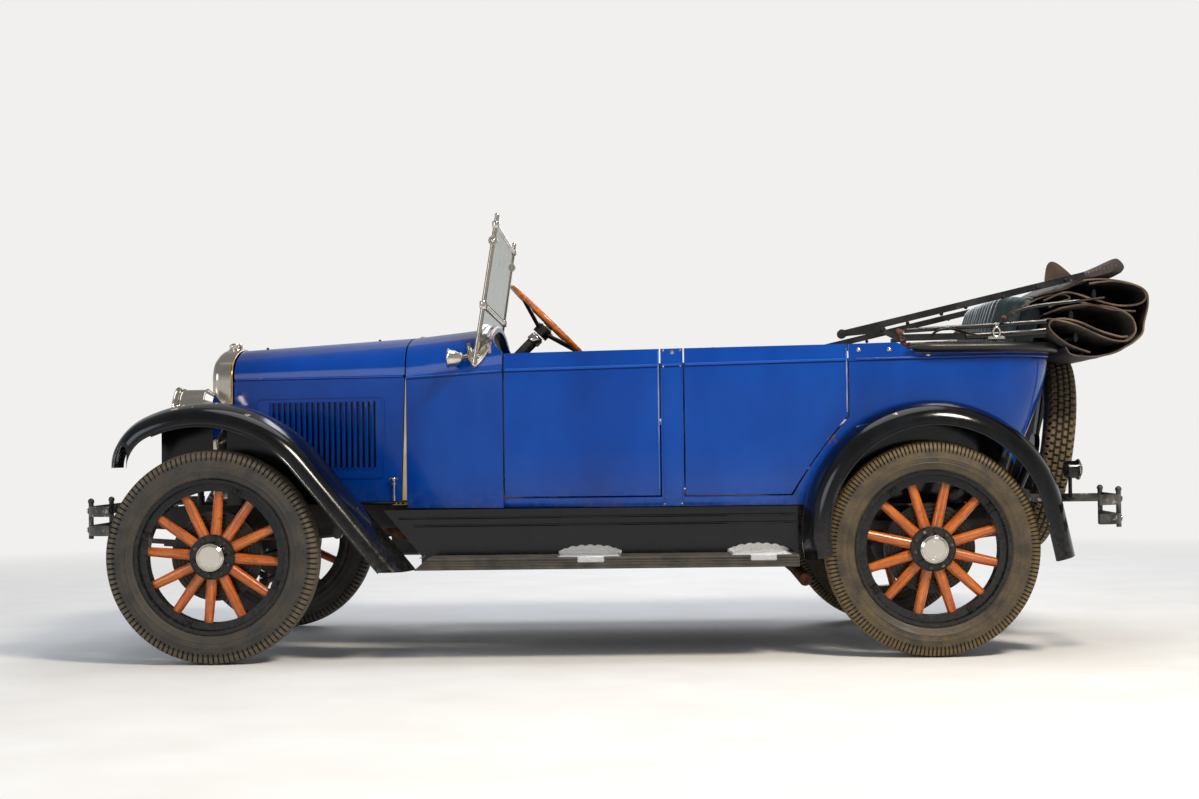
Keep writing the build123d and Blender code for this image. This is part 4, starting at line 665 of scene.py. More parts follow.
@dataclass(frozen=True)
class TyreRubber(Finish):
    """Tyre rubber: dark sidewalls with concentric scuffs, lugs rubbed pale, and painted shade in the grooves between
    them.
    """

    colour: str = "#181716"
    wall: str = "#35312C"
    dust: str = "#5E5445"
    dust_share: float = 0.4

    def coats(self) -> Sequence[tuple[str, Mask]]:
        """Scuffed rings, dust, and painted shade in the grooves."""
        # Over the grooves, #15130F is painted shade in them.
        return (self.wall, TyreRings(0.35, 0.65)), (self.dust, TyreDust(self.dust_share)), ("#15130F", TyreGrooves())

    def rough(self) -> Sequence[tuple[str, Mask]]:
        """Duller where dusty."""
        return (("ADD", Blotches(70.0, 7.0, 0.3, 0.7, 0.4, 0.75)),)

    def relief(self) -> Sequence[tuple[Mask, float, float]]:
        """Fine skin under the rings."""
        return (Blotches(7.0, 5.0), 0.25, 0.5), (TyreRings(), 0.5, 0.7)


@dataclass(frozen=True)
class WovenCloth(Finish):
    """Rubberised cotton drill: brown-black, dull, with threads of about 1 mm drawn at 2 mm so that they show."""

    colour: str = "#231A13"
    faded: str = "#483828"
    thread_mm: float = 2.0

    def coats(self) -> Sequence[tuple[str, Mask]]:
        """Dusty fading."""
        return ((self.faded, Blotches(90.0, 6.0, 0.4, 0.72, most=0.8)),)

    def relief(self) -> Sequence[tuple[Mask, float, float]]:
        """Twill threads and creases."""
        return (Twill(self.thread_mm), 0.25, 0.4), (Blotches(28.0, 5.0), 1.5, 0.5)

    def fixed(self) -> dict[str, float]:
        """Dull, with a little fuzz."""
        return {"Roughness": 0.85, "Sheen Weight": 0.08, "Sheen Roughness": 0.5}


@dataclass(frozen=True)
class PleatedHide(Finish):
    """Dyed hide: deep teal, satin, rubbed paler, with a pebble grain of about 1 mm drawn at 3 mm."""

    colour: str = "#17292C"
    worn: str = "#2E4A4C"

    def coats(self) -> Sequence[tuple[str, Mask]]:
        """Rubbed patches."""
        return ((self.worn, Blotches(80.0, 5.0, 0.45, 0.75, most=0.8)),)

    def rough(self) -> Sequence[tuple[str, Mask]]:
        """Duller where rubbed."""
        return (("ADD", Blotches(80.0, 5.0, 0.3, 0.7, 0.32, 0.5)),)

    def relief(self) -> Sequence[tuple[Mask, float, float]]:
        """Pebble grain."""
        return ((Pebbles(3.0), 0.25, 0.35),)


@dataclass(frozen=True)
class SheetGlass(Finish):
    """Drawn sheet glass: faint green, slightly waved, with a film of dust."""

    colour: str = "#E4F0E8"
    film: float = 0.06

    def rough(self) -> Sequence[tuple[str, Mask]]:
        """Dusty patches."""
        return (("ADD", Blotches(60.0, 5.0, 0.45, 0.8, most=self.film)),)

    def relief(self) -> Sequence[tuple[Mask, float, float]]:
        """Slight waves."""
        return ((Blotches(120.0, 1.0), 0.3, 0.3),)

    def fixed(self) -> dict[str, float]:
        """Clear glass."""
        return {"Transmission Weight": 1.0, "IOR": 1.45}


@dataclass(frozen=True)
class RustyIron(Finish):
    """Bare iron pipe and castings: brown rust in layers with dark scale."""

    colour: str = "#2A211C"
    rust: str = "#6E3E22"
    bright: str = "#9A5A2C"

    def coats(self) -> Sequence[tuple[str, Mask]]:
        """Two depths of rust."""
        return (self.rust, Blotches(30.0, 8.0, 0.38, 0.6)), (self.bright, Blotches(7.0, 6.0, 0.58, 0.75))

    def relief(self) -> Sequence[tuple[Mask, float, float]]:
        """A scaly surface."""
        return ((Blotches(7.0, 6.0), 0.8, 0.7),)

    def fixed(self) -> dict[str, float]:
        """Dull, with some metal left."""
        return {"Roughness": 0.85, "Metallic": 0.2}


@dataclass(frozen=True)
class OiledBoards(Finish):
    """Softwood boards stained dark brown and oiled: dull, with grain along the car."""

    colour: str = "#2B1E15"
    grain: Blotches = Blotches(9.0, 6.0, 0.35, 0.7, stretch=(0.08, 1.0, 1.0))

    def coats(self) -> Sequence[tuple[str, Mask]]:
        """Grain and dark joints."""
        return ("#5A4230", self.grain), ("#0C0907", BoardJoints())

    def relief(self) -> Sequence[tuple[Mask, float, float]]:
        """Open joints and raised grain."""
        return (BoardJoints(), -1.0, 0.6), (Blotches(9.0, 6.0, stretch=(0.08, 1.0, 1.0)), 0.3, 0.4)

    def fixed(self) -> dict[str, float]:
        """Oiled."""
        return {"Roughness": 0.6}


def seen_directly(tree: Tree) -> Socket:
    """1 for rays from the camera, in reflections and through glass, and 0 for others."""
    rays = [add(tree, "LightPath", None, f"Is {kind} Ray") for kind in ("Camera", "Glossy", "Transmission")]
    return add(tree, "Math", {0: rays[0], 1: add(tree, "Math", {0: rays[1], 1: rays[2]}, operation="MAXIMUM")},
               operation="MAXIMUM")


@dataclass(frozen=True)
class PlainGround(Finish):
    """Pale studio floor: white to the camera and to reflections, and still taking shadows."""

    colour: str = "#E9E7E3"
    matte_reach: float = 2.6
    plain_reach: float = 8.5

    def coats(self) -> Sequence[tuple[str, Mask]]:
        """Faint clouds."""
        return (("#F0EFEC", Blotches(400.0, 2.0, 0.3, 0.7)),)

    def fixed(self) -> dict[str, float]:
        """Matte."""
        return {"Roughness": 0.95}

    def dress(self, tree: Tree, shader: Node) -> None:
        """Matte near the car, and the backdrop's own colour far from it, so that no horizon shows."""
        super().dress(tree, shader)
        distance = add(tree, "VectorMath", {0: self.place(tree)}, 1, operation="LENGTH")
        plain = add(tree, "Emission", {"Color": linear(BACKDROP)})
        share = add(tree, "MapRange", {0: distance, 1: self.matte_reach, 2: self.plain_reach, 3: 0.0,
                                       4: seen_directly(tree)})
        mixed = add(tree, "MixShader", {0: share, 1: shader.outputs[0], 2: plain})
        feed(tree, tree.nodes["Material Output"], {"Surface": mixed})


BELT_LINE = ((660.0, 1019.0), (1021.0, 1035.5), (1683.0, 1047.0), (2815.0, 1066.0))
REAR_WELL = ("#0A0A0B", WheelWell(WHEELBASE, TYRE_RADIUS, 452.0))
BODY_SPOTS = tuple(("#6B4A35", WornSpot(*spot)) for spot in (
    (2212.0, -632.0, 779.0, 26.0), (2200.0, -632.0, 764.0, 14.0), (2226.0, -632.0, 792.0, 12.0)))
FENDER_SPOTS = tuple(WornSpot(*spot) for spot in (
    (-130.0, -745.0, 903.0, 26.0), (-96.0, -745.0, 897.0, 20.0), (131.0, -760.0, 876.0, 22.0),
    (2419.0, -770.0, 857.0, 13.0), (2718.0, -745.0, 842.0, 12.0), (2739.0, -765.0, 806.0, 30.0)))
# The dark #010511 line along the belt is painted shadow under the bead.
BODY_BLUE = SprayedEnamel("sprayed_blue_enamel", marks=(*BODY_SPOTS, REAR_WELL, ("#010511", BeltShadow(BELT_LINE))))
BEAD_BLUE = SprayedEnamel("bead_blue_enamel", colour="#0646A0", mid="#0A50AE", marks=(REAR_WELL,))
# The dark #010511 strips between the louvres are painted shade in their gaps.
HOOD_BLUE = SprayedEnamel("louvred_blue_enamel", marks=(REAR_WELL, ("#010511", LouvreGapShade())))
FENDER_BLACK = BakedEnamel("baked_black_enamel", spots=FENDER_SPOTS)
APRON_BLACK = BakedEnamel("apron_black_enamel", chip_from=0.9, dust_share=0.07, dust_top_mm=520.0)
WHEEL_BLACK = BakedEnamel("wheel_black_enamel", chip_mm=20.0, chip_from=0.79, primer="#4A4038",
                          gloss=0.2, dust_top_mm=700.0, dust_share=0.12)
# Door edge strips: their lighter blue is a painted highlight of the lit edge; the pale streaks and chips are wear.
CHIPPED_EDGE_HIGHLIGHT = BakedEnamel("chipped_blue_edge_highlights", "#2C62B8", "#C9CBC9", "#E4DDD0", "#7C7568",
                        dust_share=0.1, chip_mm=16.0, chip_from=0.68, gloss=0.3)
HUB_IRON = ChassisBlack("greasy_hub_iron", colour="#111113", dust="#2E2924", rust="#3B2A20", dull=0.34)
DRUM_IRON = ChassisBlack("dusty_drum_iron", colour="#241F1B", dust="#6B5C49", rust="#5A3A26", dust_share=0.7)
CHASSIS = ChassisBlack("brushed_chassis_black")
IRON_BLACK = ChassisBlack("worn_black_irons", colour="#070708", dust="#1C1917", rust="#77695E", dust_share=0.3,
                          rust_from=0.69, dull=0.26)
BUMPER_STEEL = ChassisBlack("worn_bumper_steel", colour="#1A1B1E", dust="#77736C", rust="#9A9890", dust_share=0.5,
                            rust_from=0.6, dull=0.32)
SPRING_STEEL = ChassisBlack("spring_steel", colour="#24221F", rust="#5A3822", rust_from=0.56)
CAST = ChassisBlack("cast_iron_paint", colour="#22272A", dust="#4A4740")
CORE = ChassisBlack("core_black", colour="#0C0C0D", dust="#2B2926", rust="#3A2D22", dull=0.6)
NICKEL = NickelPlate("nickel_plate")
AGED_NICKEL = NickelPlate("aged_nickel_plate", colour="#B9B2A6", tarnish="#6C6257", gloss=0.2, tarnish_from=0.48)
BRASS = NickelPlate("worn_brass", colour="#B08A4A", tarnish="#5A4630", gloss=0.24, tarnish_from=0.46)
ALUMINIUM = CastAluminium("cast_aluminium")
SPOKE_WOOD = VarnishedHickory("varnished_hickory_spokes")
RIM_WOOD = VarnishedHickory("varnished_steering_rim", radial=False)
BOARD_RUBBER = MouldedRubber("ribbed_board_rubber", colour="#2E2C29", dust="#5E574B", dust_share=0.75)
BLACK_RUBBER = MouldedRubber("black_rubber", dust_share=0.25)
FRONT_TYRE = TyreRubber("front_tyre_rubber")
REAR_TYRE = TyreRubber("rear_tyre_rubber", colour="#2B261F", wall="#3D3529", dust="#6B5A3C", dust_share=0.6)
SPARE_TYRE = TyreRubber("spare_tyre_rubber", colour="#27221B", wall="#332D23", dust="#6E5D40", dust_share=0.7)
TOP_CLOTH = WovenCloth("top_cloth")
CLOTH_LINING = WovenCloth("top_cloth_lining", colour="#33271F", faded="#5F4D3E")
# Hood lacing: its cream colour is a painted highlight of the lit edge behind the hood.
LACING_HIGHLIGHT = WovenCloth("lacing_painted_highlight", colour="#BFA983", faded="#DCCBA8")
CARPET = WovenCloth("seat_box_carpet", "#1B1C1E", "#34322F", thread_mm=4.0)
BINDING = WovenCloth("tan_binding", colour="#4C3E33", faded="#85705A")
HIDE = PleatedHide("teal_hide")
BLACK_HIDE = PleatedHide("black_rail_hide", colour="#0B0A0A", worn="#1D1A18")
LINING_HIDE = PleatedHide("quarter_lining_hide", colour="#121F21", worn="#223638")
STRAP_HIDE = PleatedHide("strap_hide", colour="#1E1712", worn="#4A3B2E")
TAN_HIDE = PleatedHide("tan_hide", colour="#7E5F49", worn="#B69A84")
WINDOW = SheetGlass("window_glass")
LENS = SheetGlass("lamp_glass", colour="#F4F6F4", film=0.12)
RED_GLASS = SheetGlass("red_glass", colour="#B01A12", film=0.15)
RUST = RustyIron("rusty_iron")
RUSTED_BRASS = RustyIron("rusted_brass_pivots", colour="#35241E", rust="#6A4637", bright="#9C7A66")
BOARDS = OiledBoards("oiled_floor_boards")
DIAL_FACE = SprayedEnamel("dial_enamel", "#CFC8B2", "#D8D2BE", "#E2DDCB")
GROUND = PlainGround("pale_ground")


# Mesh helpers

def make_piece(name: str, verts: Sequence[Point], faces: Sequence[Sequence[int]], finish: Finish,
               smooth: bool = True) -> Piece:
    """Makes a mesh object with one finish.

    Args:
        name: the piece's name.
        verts: points in metres.
        faces: indices of each face's corners.
        finish: its finish.
        smooth: whether its faces shade smooth up to a limiting angle.

    Returns:
        The new object, linked to the scene.
    """
    mesh = bpy.data.meshes.new(name)
    mesh.from_pydata([tuple(v) for v in verts], [], [tuple(f) for f in faces])
    mesh.validate()
    piece = bpy.data.objects.new(name, mesh)
    bpy.context.scene.collection.objects.link(piece)
    mesh.materials.append(finish.material())
    outward(mesh)
    if smooth:
        mesh.shade_smooth()
        mesh.set_sharp_from_angle(angle=SMOOTH_ANGLE)
    return piece


def outward(mesh: bpy.types.Mesh) -> None:
    """Turns a mesh's faces so that they agree and look outward."""
    shape = bmesh.new()
    shape.from_mesh(mesh)
    bmesh.ops.recalc_face_normals(shape, faces=shape.faces)
    shape.to_mesh(mesh)
    shape.free()


class Shape:
    """Gathers points and faces of many small solids into one mesh."""

    def __init__(self) -> None:
        """Starts empty."""
        self.verts: list[Vector] = []
        self.faces: list[list[int]] = []

    def grid(self, rows: Sequence[Sequence[Point]], closed_rows: bool = False, closed_columns: bool = False,
             caps: bool = False) -> None:
        """Adds a net of quads.

        Args:
            rows: rows of points, all of one length.
            closed_rows: whether each row's end joins its start.
            closed_columns: whether the last row joins the first.
            caps: whether the first and last rows are filled.
        """
        start, width = len(self.verts), len(rows[0])
        for row in rows:
            self.verts.extend(Vector(p) for p in row)
        count = len(rows)
        for r in range(count if closed_columns else count - 1):
            for c in range(width if closed_rows else width - 1):
                a, b = start + r * width + c, start + r * width + (c + 1) % width
                below = (r + 1) % count
                self.faces.append([a, b, start + below * width + (c + 1) % width, start + below * width + c])
        if caps:
            self.faces.append([start + c for c in range(width)])
            self.faces.append([start + (count - 1) * width + c for c in reversed(range(width))])

    def sweep(self, path: Sequence[Point], section: Callable[[int], Sequence[tuple[float, float]]],
              up: Point = (0.0, 0.0, 1.0), closed: bool = False) -> None:
        """Adds a bar: a section carried along a path.

        Args:
            path: points in metres.
            section: section outline in metres at each path index, as (across, up).
            up: direction that the section's second axis leans to.
            closed: whether the path is a loop.
        """
        rows = []
        count = len(path)
        for i, point in enumerate(path):
            before = Vector(path[(i - 1) % count] if closed or i > 0 else path[0])
            after = Vector(path[(i + 1) % count] if closed or i < count - 1 else path[-1])
            along = (after - before).normalized()
            across = along.cross(Vector(up)).normalized()
            rise = across.cross(along)
            rows.append([Vector(point) + across * a + rise * b for a, b in section(i)])
        self.grid(rows, closed_rows=True, closed_columns=closed, caps=not closed)

    def tube(self, path: Sequence[Point], radius_mm: float, sides: int = 12, up: Point = (0.0, 0.0, 1.0),
             closed: bool = False) -> None:
        """Adds a round bar along a path.

        Args:
            path: points in metres.
            radius_mm: its radius.
            sides: flats round it.
            up: direction that its section leans to.
            closed: whether the path is a loop.
        """
        ring = circle(radius_mm * MM, sides)
        self.sweep(path, lambda _: ring, up, closed)

    def turned(self, profile: Sequence[tuple[float, float]], origin: Point, axis: Point, sides: int = 24) -> None:
        """Adds a turned solid.

        Args:
            profile: (radius, distance along the axis) in millimetres; its ends close on the axis.
            origin: point on the axis, in metres.
            axis: direction of the axis.
            sides: steps round it.
        """
        along = Vector(axis).normalized()
        first = along.orthogonal().normalized()
        second = along.cross(first)
        rows = []
        for radius, distance in profile:
            ring = []
            for k in range(sides):
                turn = FULL_TURN * k / sides
                ring.append(Vector(origin) + along * (distance * MM)
                            + (first * math.cos(turn) + second * math.sin(turn)) * (max(radius, 0.01) * MM))
            rows.append(ring)
        self.grid(rows, closed_rows=True, caps=True)

    def block(self, centre: Point, size_mm: Point, turn: Optional[Matrix] = None, bevel_mm: float = 0.0) -> None:
        """Adds a box with chamfered upright edges.

        Args:
            centre: its middle, in metres.
            size_mm: its three sizes.
            turn: rotation about its middle.
            bevel_mm: chamfer of its edges.
        """
        half = [s * MM / 2 for s in size_mm]
        c = min(bevel_mm * MM, min(half) * 0.9)
        matrix = turn.to_3x3() if turn is not None else Matrix.Identity(3)
        outline = [(-half[0] + c, -half[1]), (half[0] - c, -half[1]), (half[0], -half[1] + c),
                   (half[0], half[1] - c), (half[0] - c, half[1]), (-half[0] + c, half[1]),
                   (-half[0], half[1] - c), (-half[0], -half[1] + c)]
        rows = []
        for height, inset in ((-half[2], c), (-half[2] + c, 0.0), (half[2] - c, 0.0), (half[2], c)):
            row = []
            for x, y in outline:
                sx = x - math.copysign(inset, x) if abs(x) > inset else x
                sy = y - math.copysign(inset, y) if abs(y) > inset else y
                row.append(Vector(centre) + matrix @ Vector((sx, sy, height)))
            rows.append(row)
        self.grid(rows, closed_rows=True, caps=True)

    def nut(self, origin: Point, axis: Point, across_mm: float, height_mm: float) -> None:
        """Adds a hexagon nut with a domed bolt end.

        Args:
            origin: middle of its foot, in metres.
            axis: direction it points in.
            across_mm: width over its corners.
            height_mm: height of the nut.
        """
        r = across_mm / 2
        self.turned([(0, 0), (r, 0), (r, height_mm * 0.8), (r * 0.85, height_mm), (0, height_mm)], origin, axis, 6)
        self.turned([(0, 0), (r * 0.5, 0), (r * 0.5, height_mm * 1.3), (r * 0.3, height_mm * 1.5),
                     (0, height_mm * 1.5)], origin, axis, 10)

    def dome(self, origin: Point, axis: Point, radius_mm: float, height_mm: float) -> None:
        """Adds a domed head.

        Args:
            origin: middle of its foot, in metres.
            axis: direction it points in.
            radius_mm: radius of its foot.
            height_mm: height of the head.
        """
        profile = [(0, -0.3), (radius_mm, -0.3), (radius_mm, height_mm * 0.25), (radius_mm * 0.8, height_mm * 0.7),
                   (radius_mm * 0.4, height_mm * 0.95), (0, height_mm)]
        self.turned(profile, origin, axis, 12)

    def piece(self, name: str, finish: Finish, smooth: bool = True) -> Piece:
        """Makes the gathered mesh an object."""
        return make_piece(name, self.verts, self.faces, finish, smooth)

    def fit(self, name: str, finish: Finish, slot: str, body: str = "chassis") -> Piece:
        """Makes the mesh object and lets it ride on a body.

        Args:
            name: the piece's name.
            finish: its finish.
            slot: the frame's slot meant for its surface; not used.
            body: the body it moves with.

        Returns:
            The new object.
        """
        return finish_piece(self.piece(name, finish), body)


def raised(height_mm: float) -> Vector:
    """Step upward, from millimetres."""
    return Vector((0, 0, height_mm * MM))


def circle(radius: float, sides: int) -> list[tuple[float, float]]:
    """Points on a circle, in the unit of its radius."""
    return [(radius * math.cos(FULL_TURN * k / sides), radius * math.sin(FULL_TURN * k / sides))
            for k in range(sides)]


def round_bar(width_mm: float, height_mm: float, sides: int = 12) -> list[tuple[float, float]]:
    """Oval section in metres."""
    return [(width_mm / 2 * MM * c, height_mm / 2 * MM * s) for c, s in circle(1.0, sides)]


def smooth_path(points: Sequence[Point], per_span: int = 8, closed: bool = False) -> list[Vector]:
    """Curve through points.

    Args:
        points: points that the curve passes.
        per_span: steps between two of them.
        closed: whether it is a loop.

    Returns:
        Points along a Catmull-Rom curve.
    """
    given = [Vector(p) for p in points]
    count = len(given)
    path = []
    for i in range(count if closed else count - 1):
        p1, p2 = given[i], given[(i + 1) % count]
        p0 = given[i - 1] if closed or i > 0 else p1 * 2 - p2
        p3 = given[(i + 2) % count] if closed or i + 2 < count else p2 * 2 - p1
        for step in range(per_span):
            t = step / per_span
            path.append(0.5 * ((2 * p1) + (p2 - p0) * t + (2 * p0 - 5 * p1 + 4 * p2 - p3) * t ** 2
                               + (3 * p1 - p0 - 3 * p2 + p3) * t ** 3))
    if not closed:
        path.append(given[-1])
    return path


def paint(node: str, finishes: Sequence[Finish], choose: Optional[Callable[[Face], int]] = None) -> Piece:
    """Gives a frame node its finishes.

    Args:
        node: the frame node's name.
        finishes: one or more finishes.
        choose: gives the finish's number from a face.

    Returns:
        The node's object.
    """
    shown = bpy.data.objects[node]
    shown.data.materials.clear()
    for finish in finishes:
        shown.data.materials.append(finish.material())
    for face in shown.data.polygons:
        face.material_index = choose(face) if choose else 0
    return shown


# Studio

@dataclass
class Studio:
    """Camera where the photographer stood, soft light and a pale floor."""

    camera_mm: tuple[float, float, float] = (1492.7, -7491.4, 751.8)
    yaw: float = 0.01689
    pitch: float = 0.02513
    roll: float = 0.01248
    focal_px: float = 1910.1
    sensor_mm: float = 36.0
    floor_half: float = 40.0
    mirror_share: float = 0.6
    ceiling_share: float = 0.45

    def build(self) -> None:
        """Sets the scene round the car."""
        self.camera()
        self.floor()
        self.world()
        self.lamps()
        bpy.context.scene.view_settings.view_transform = "Standard"

    def camera(self) -> None:
        """Places the camera."""
        data = bpy.data.cameras.new("camera")
        data.sensor_width = self.sensor_mm
        data.lens = self.focal_px / PHOTO_WIDTH * self.sensor_mm
        data.clip_start, data.clip_end = 0.05, 100.0
        eye = bpy.data.objects.new("camera", data)
        bpy.context.scene.collection.objects.link(eye)
        turn = (Matrix.Rotation(self.yaw, 3, "Z") @ Matrix.Rotation(self.pitch, 3, "X")
                @ Matrix.Rotation(self.roll, 3, "Y"))
        right, ahead, up = turn.col[0], turn.col[1], turn.col[2]
        pose = Matrix((right, up, -ahead)).transposed().to_4x4()
        pose.translation = at(*self.camera_mm)
        eye.matrix_world = pose
        bpy.context.scene.camera = eye

    def floor(self) -> None:
        """Pale floor, wide enough to fill the view."""
        h = self.floor_half
        ground = make_piece("studio_floor", [(-h, -h, 0), (h, -h, 0), (h, h, 0), (-h, h, 0)], [(0, 1, 2, 3)],
                            GROUND, smooth=False)

    def world(self) -> None:
        """Even grey-white surroundings that metal and glass reflect."""
        world = bpy.data.worlds.new("soft_sky")
        world.use_nodes = True
        tree = world.node_tree
        tree.nodes.clear()
        height = add(tree, "SeparateXYZ", {0: add(tree, "TexCoord", None, "Generated")}, "Z")
        share = add(tree, "MapRange", {0: height, 1: -0.1, 2: 0.9})
        sky = add(tree, "Mix", {0: share, 6: linear("#E4E4E2"), 7: linear("#B9C6D8")}, 2, data_type="RGBA")
        plain = add(tree, "Background", {"Strength": 0.5, "Color": sky})
        mirrored = add(tree, "MapRange", {0: height, 1: 0.02, 2: 0.5, 3: self.mirror_share,
                                          4: self.mirror_share * self.ceiling_share})
        strength = add(tree, "Math", {0: add(tree, "LightPath", None, "Is Camera Ray"), 1: mirrored},
                       operation="MAXIMUM")
        white = add(tree, "Background", {"Color": linear(BACKDROP), "Strength": strength})
        mixed = add(tree, "MixShader", {0: seen_directly(tree), 1: plain, 2: white})
        feed(tree, tree.nodes.new("ShaderNodeOutputWorld"), {"Surface": mixed})
        bpy.context.scene.world = world

    def lamps(self) -> None:
        """A soft high lamp on the camera's right, as the sun stood, and two fills."""
        table = (
            ("key_light", (2.8, -4.6, 5.6), 1.6, 430.0, "#FFF4E4"),
            ("left_fill", (-5.0, -5.0, 3.0), 3.0, 70.0, "#E9F0FF"),
            ("back_fill", (1.0, 6.0, 4.0), 4.0, 150.0, "#F3F6FF"),
            ("top_fill", (0.0, 0.5, 6.5), 5.0, 120.0, "#FFFFFF"),
        )
        for name, place, size, power, colour in table:
            data = bpy.data.lights.new(name, "AREA")
            data.shape, data.size, data.energy = "DISK", size, power
            data.color = linear(colour)[:3]
            lamp = bpy.data.objects.new(name, data)
            bpy.context.scene.collection.objects.link(lamp)
            lamp.location = place
            lamp.rotation_euler = (Vector((0, 0, 0.6)) - Vector(place)).to_track_quat("-Z", "Y").to_euler()


# Running gear

@dataclass
class Tyre:
    """A balloon tyre with its moulded tread, in place of the plain solid."""

    node: str
    body: str
    finish: Finish
    centre: Vector
    axle: Vector
    radius: float = TYRE_RADIUS
    width: float = 117.0
    bead_radius: float = 269.0
    lugs: int = 168
    steps_per_lug: int = 5
    lug_depth: float = 5.0
    rib_depth: float = 4.5

    def section(self) -> list[tuple[float, float, float]]:
        """Half of the section, from the bead to the middle of the tread.

        Returns:
            Rows of (radius, distance from the middle, share of the lug pattern).
        """
        half = self.width / 2
        depths = (
            (100, 0.80, 0), (97, 0.84, 0), (94, 0.85, 0), (90, 0.885, 0), (80, 0.945, 0), (78, 0.972, 0),
            (76, 0.955, 0), (62, 0.985, 0), (60, 1.0, 0), (58, 0.985, 0), (48, 0.975, 0), (42, 0.95, 0),
            (39, 0.955, 0), (36, 0.95, 1), (30, 0.93, 1), (22, 0.885, 1), (15, 0.825, 1), (9.5, 0.755, 1),
            (7, 0.70, 1), (5.5, 0.64, 1), (4.6, 0.58, 0), (4.0, 0.52, 2), (3.3, 0.46, 2), (2.6, 0.38, 0),
            (1.6, 0.30, 0), (1.2, 0.24, 2), (0.8, 0.18, 2), (0.3, 0.10, 0), (0, 0.0, 0))
        return [(self.bead_radius, half * 0.66, 0), (self.bead_radius + 6, half * 0.73, 0),
                *((self.radius - depth, half * share, kind) for depth, share, kind in depths)]

    def build(self) -> Piece:
        """Turns the section round the axle and cuts lugs and ribs into it."""
        half = self.section()
        rows = half + [(r, -w, kind) for r, w, kind in reversed(half[:-1])]
        steps = self.lugs * self.steps_per_lug
        up = Vector((0, 0, 1)) - self.axle * self.axle.z
        up.normalize()
        ahead = self.axle.cross(up)
        verts, rings, grooves = [], [], []
        for step in range(steps):
            turn = FULL_TURN * step / steps
            out = up * math.cos(turn) + ahead * math.sin(turn)
            phase = (step % self.steps_per_lug) / self.steps_per_lug
            for index, (radius, across, kind) in enumerate(rows):
                cut = self.cut(kind, phase, step, across, index)
                inset = math.copysign(cut * 0.9, across) if kind == 1 else 0.0
                verts.append(self.centre + (out * (radius - cut) + self.axle * (across - inset)) * MM)
                rings.append(radius * MM)
                grooves.append(min(cut / 4.0, 1.0))
        width = len(rows)
        faces = []
        for step in range(steps):
            for k in range(width - 1):
                a, b = step * width + k, (step + 1) % steps * width + k
                faces.append((a, b, b + 1, a + 1))
            a, b = step * width, (step + 1) % steps * width
            faces.append((a + width - 1, b + width - 1, b, a))
        piece = make_piece(self.node + "_treaded", verts, faces, self.finish)
        for name, values in (("ring", rings), ("groove", grooves)):
            piece.data.attributes.new(name, "FLOAT", "POINT").data.foreach_set("value", values)
        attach(piece, self.body)
        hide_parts(self.node)
        return piece

    def cut(self, kind: int, phase: float, step: int, across: float, index: int) -> float:
        """Depth of the tread pattern at one point.

        Args:
            kind: 0 for none, 1 for shoulder lugs, 2 for the ribs' zigzag grooves.
            phase: place within a lug, from 0 to 1.
            step: step round the tyre.
            across: distance from the middle.
            index: row of the section.

        Returns:
            Millimetres cut towards the axle.
        """
        if kind == 1:
            return self.lug_depth if phase >= 0.7 else 0.0
        if kind == 2:
            zigzag = (step // self.steps_per_lug) % 2
            return self.rib_depth if (index + zigzag) % 2 == 0 or phase > 0.75 else 0.6
        return 0.0


@dataclass
class SpareTyre(Tyre):
    """The spare's coarser block tread."""

    lugs: int = 80
    steps_per_lug: int = 7
    lug_depth: float = 7.0
    block_width: float = 22.0
    tread_half: float = 54.0

    def cut(self, kind: int, phase: float, step: int, across: float, index: int) -> float:
        """Depth of the staggered blocks at one point, with the same arguments as a road tyre's."""
        if abs(across) > self.tread_half or (kind == 0 and abs(across) > self.block_width * 1.9):
            return 0.0
        row = int((across + 3 * self.block_width) // self.block_width)
        between = abs(abs(across) - self.block_width) < 2.4 or abs(across) < 2.0
        return self.lug_depth if between or (phase + 0.5 * (row % 2)) % 1.0 >= 0.7 else 0.0


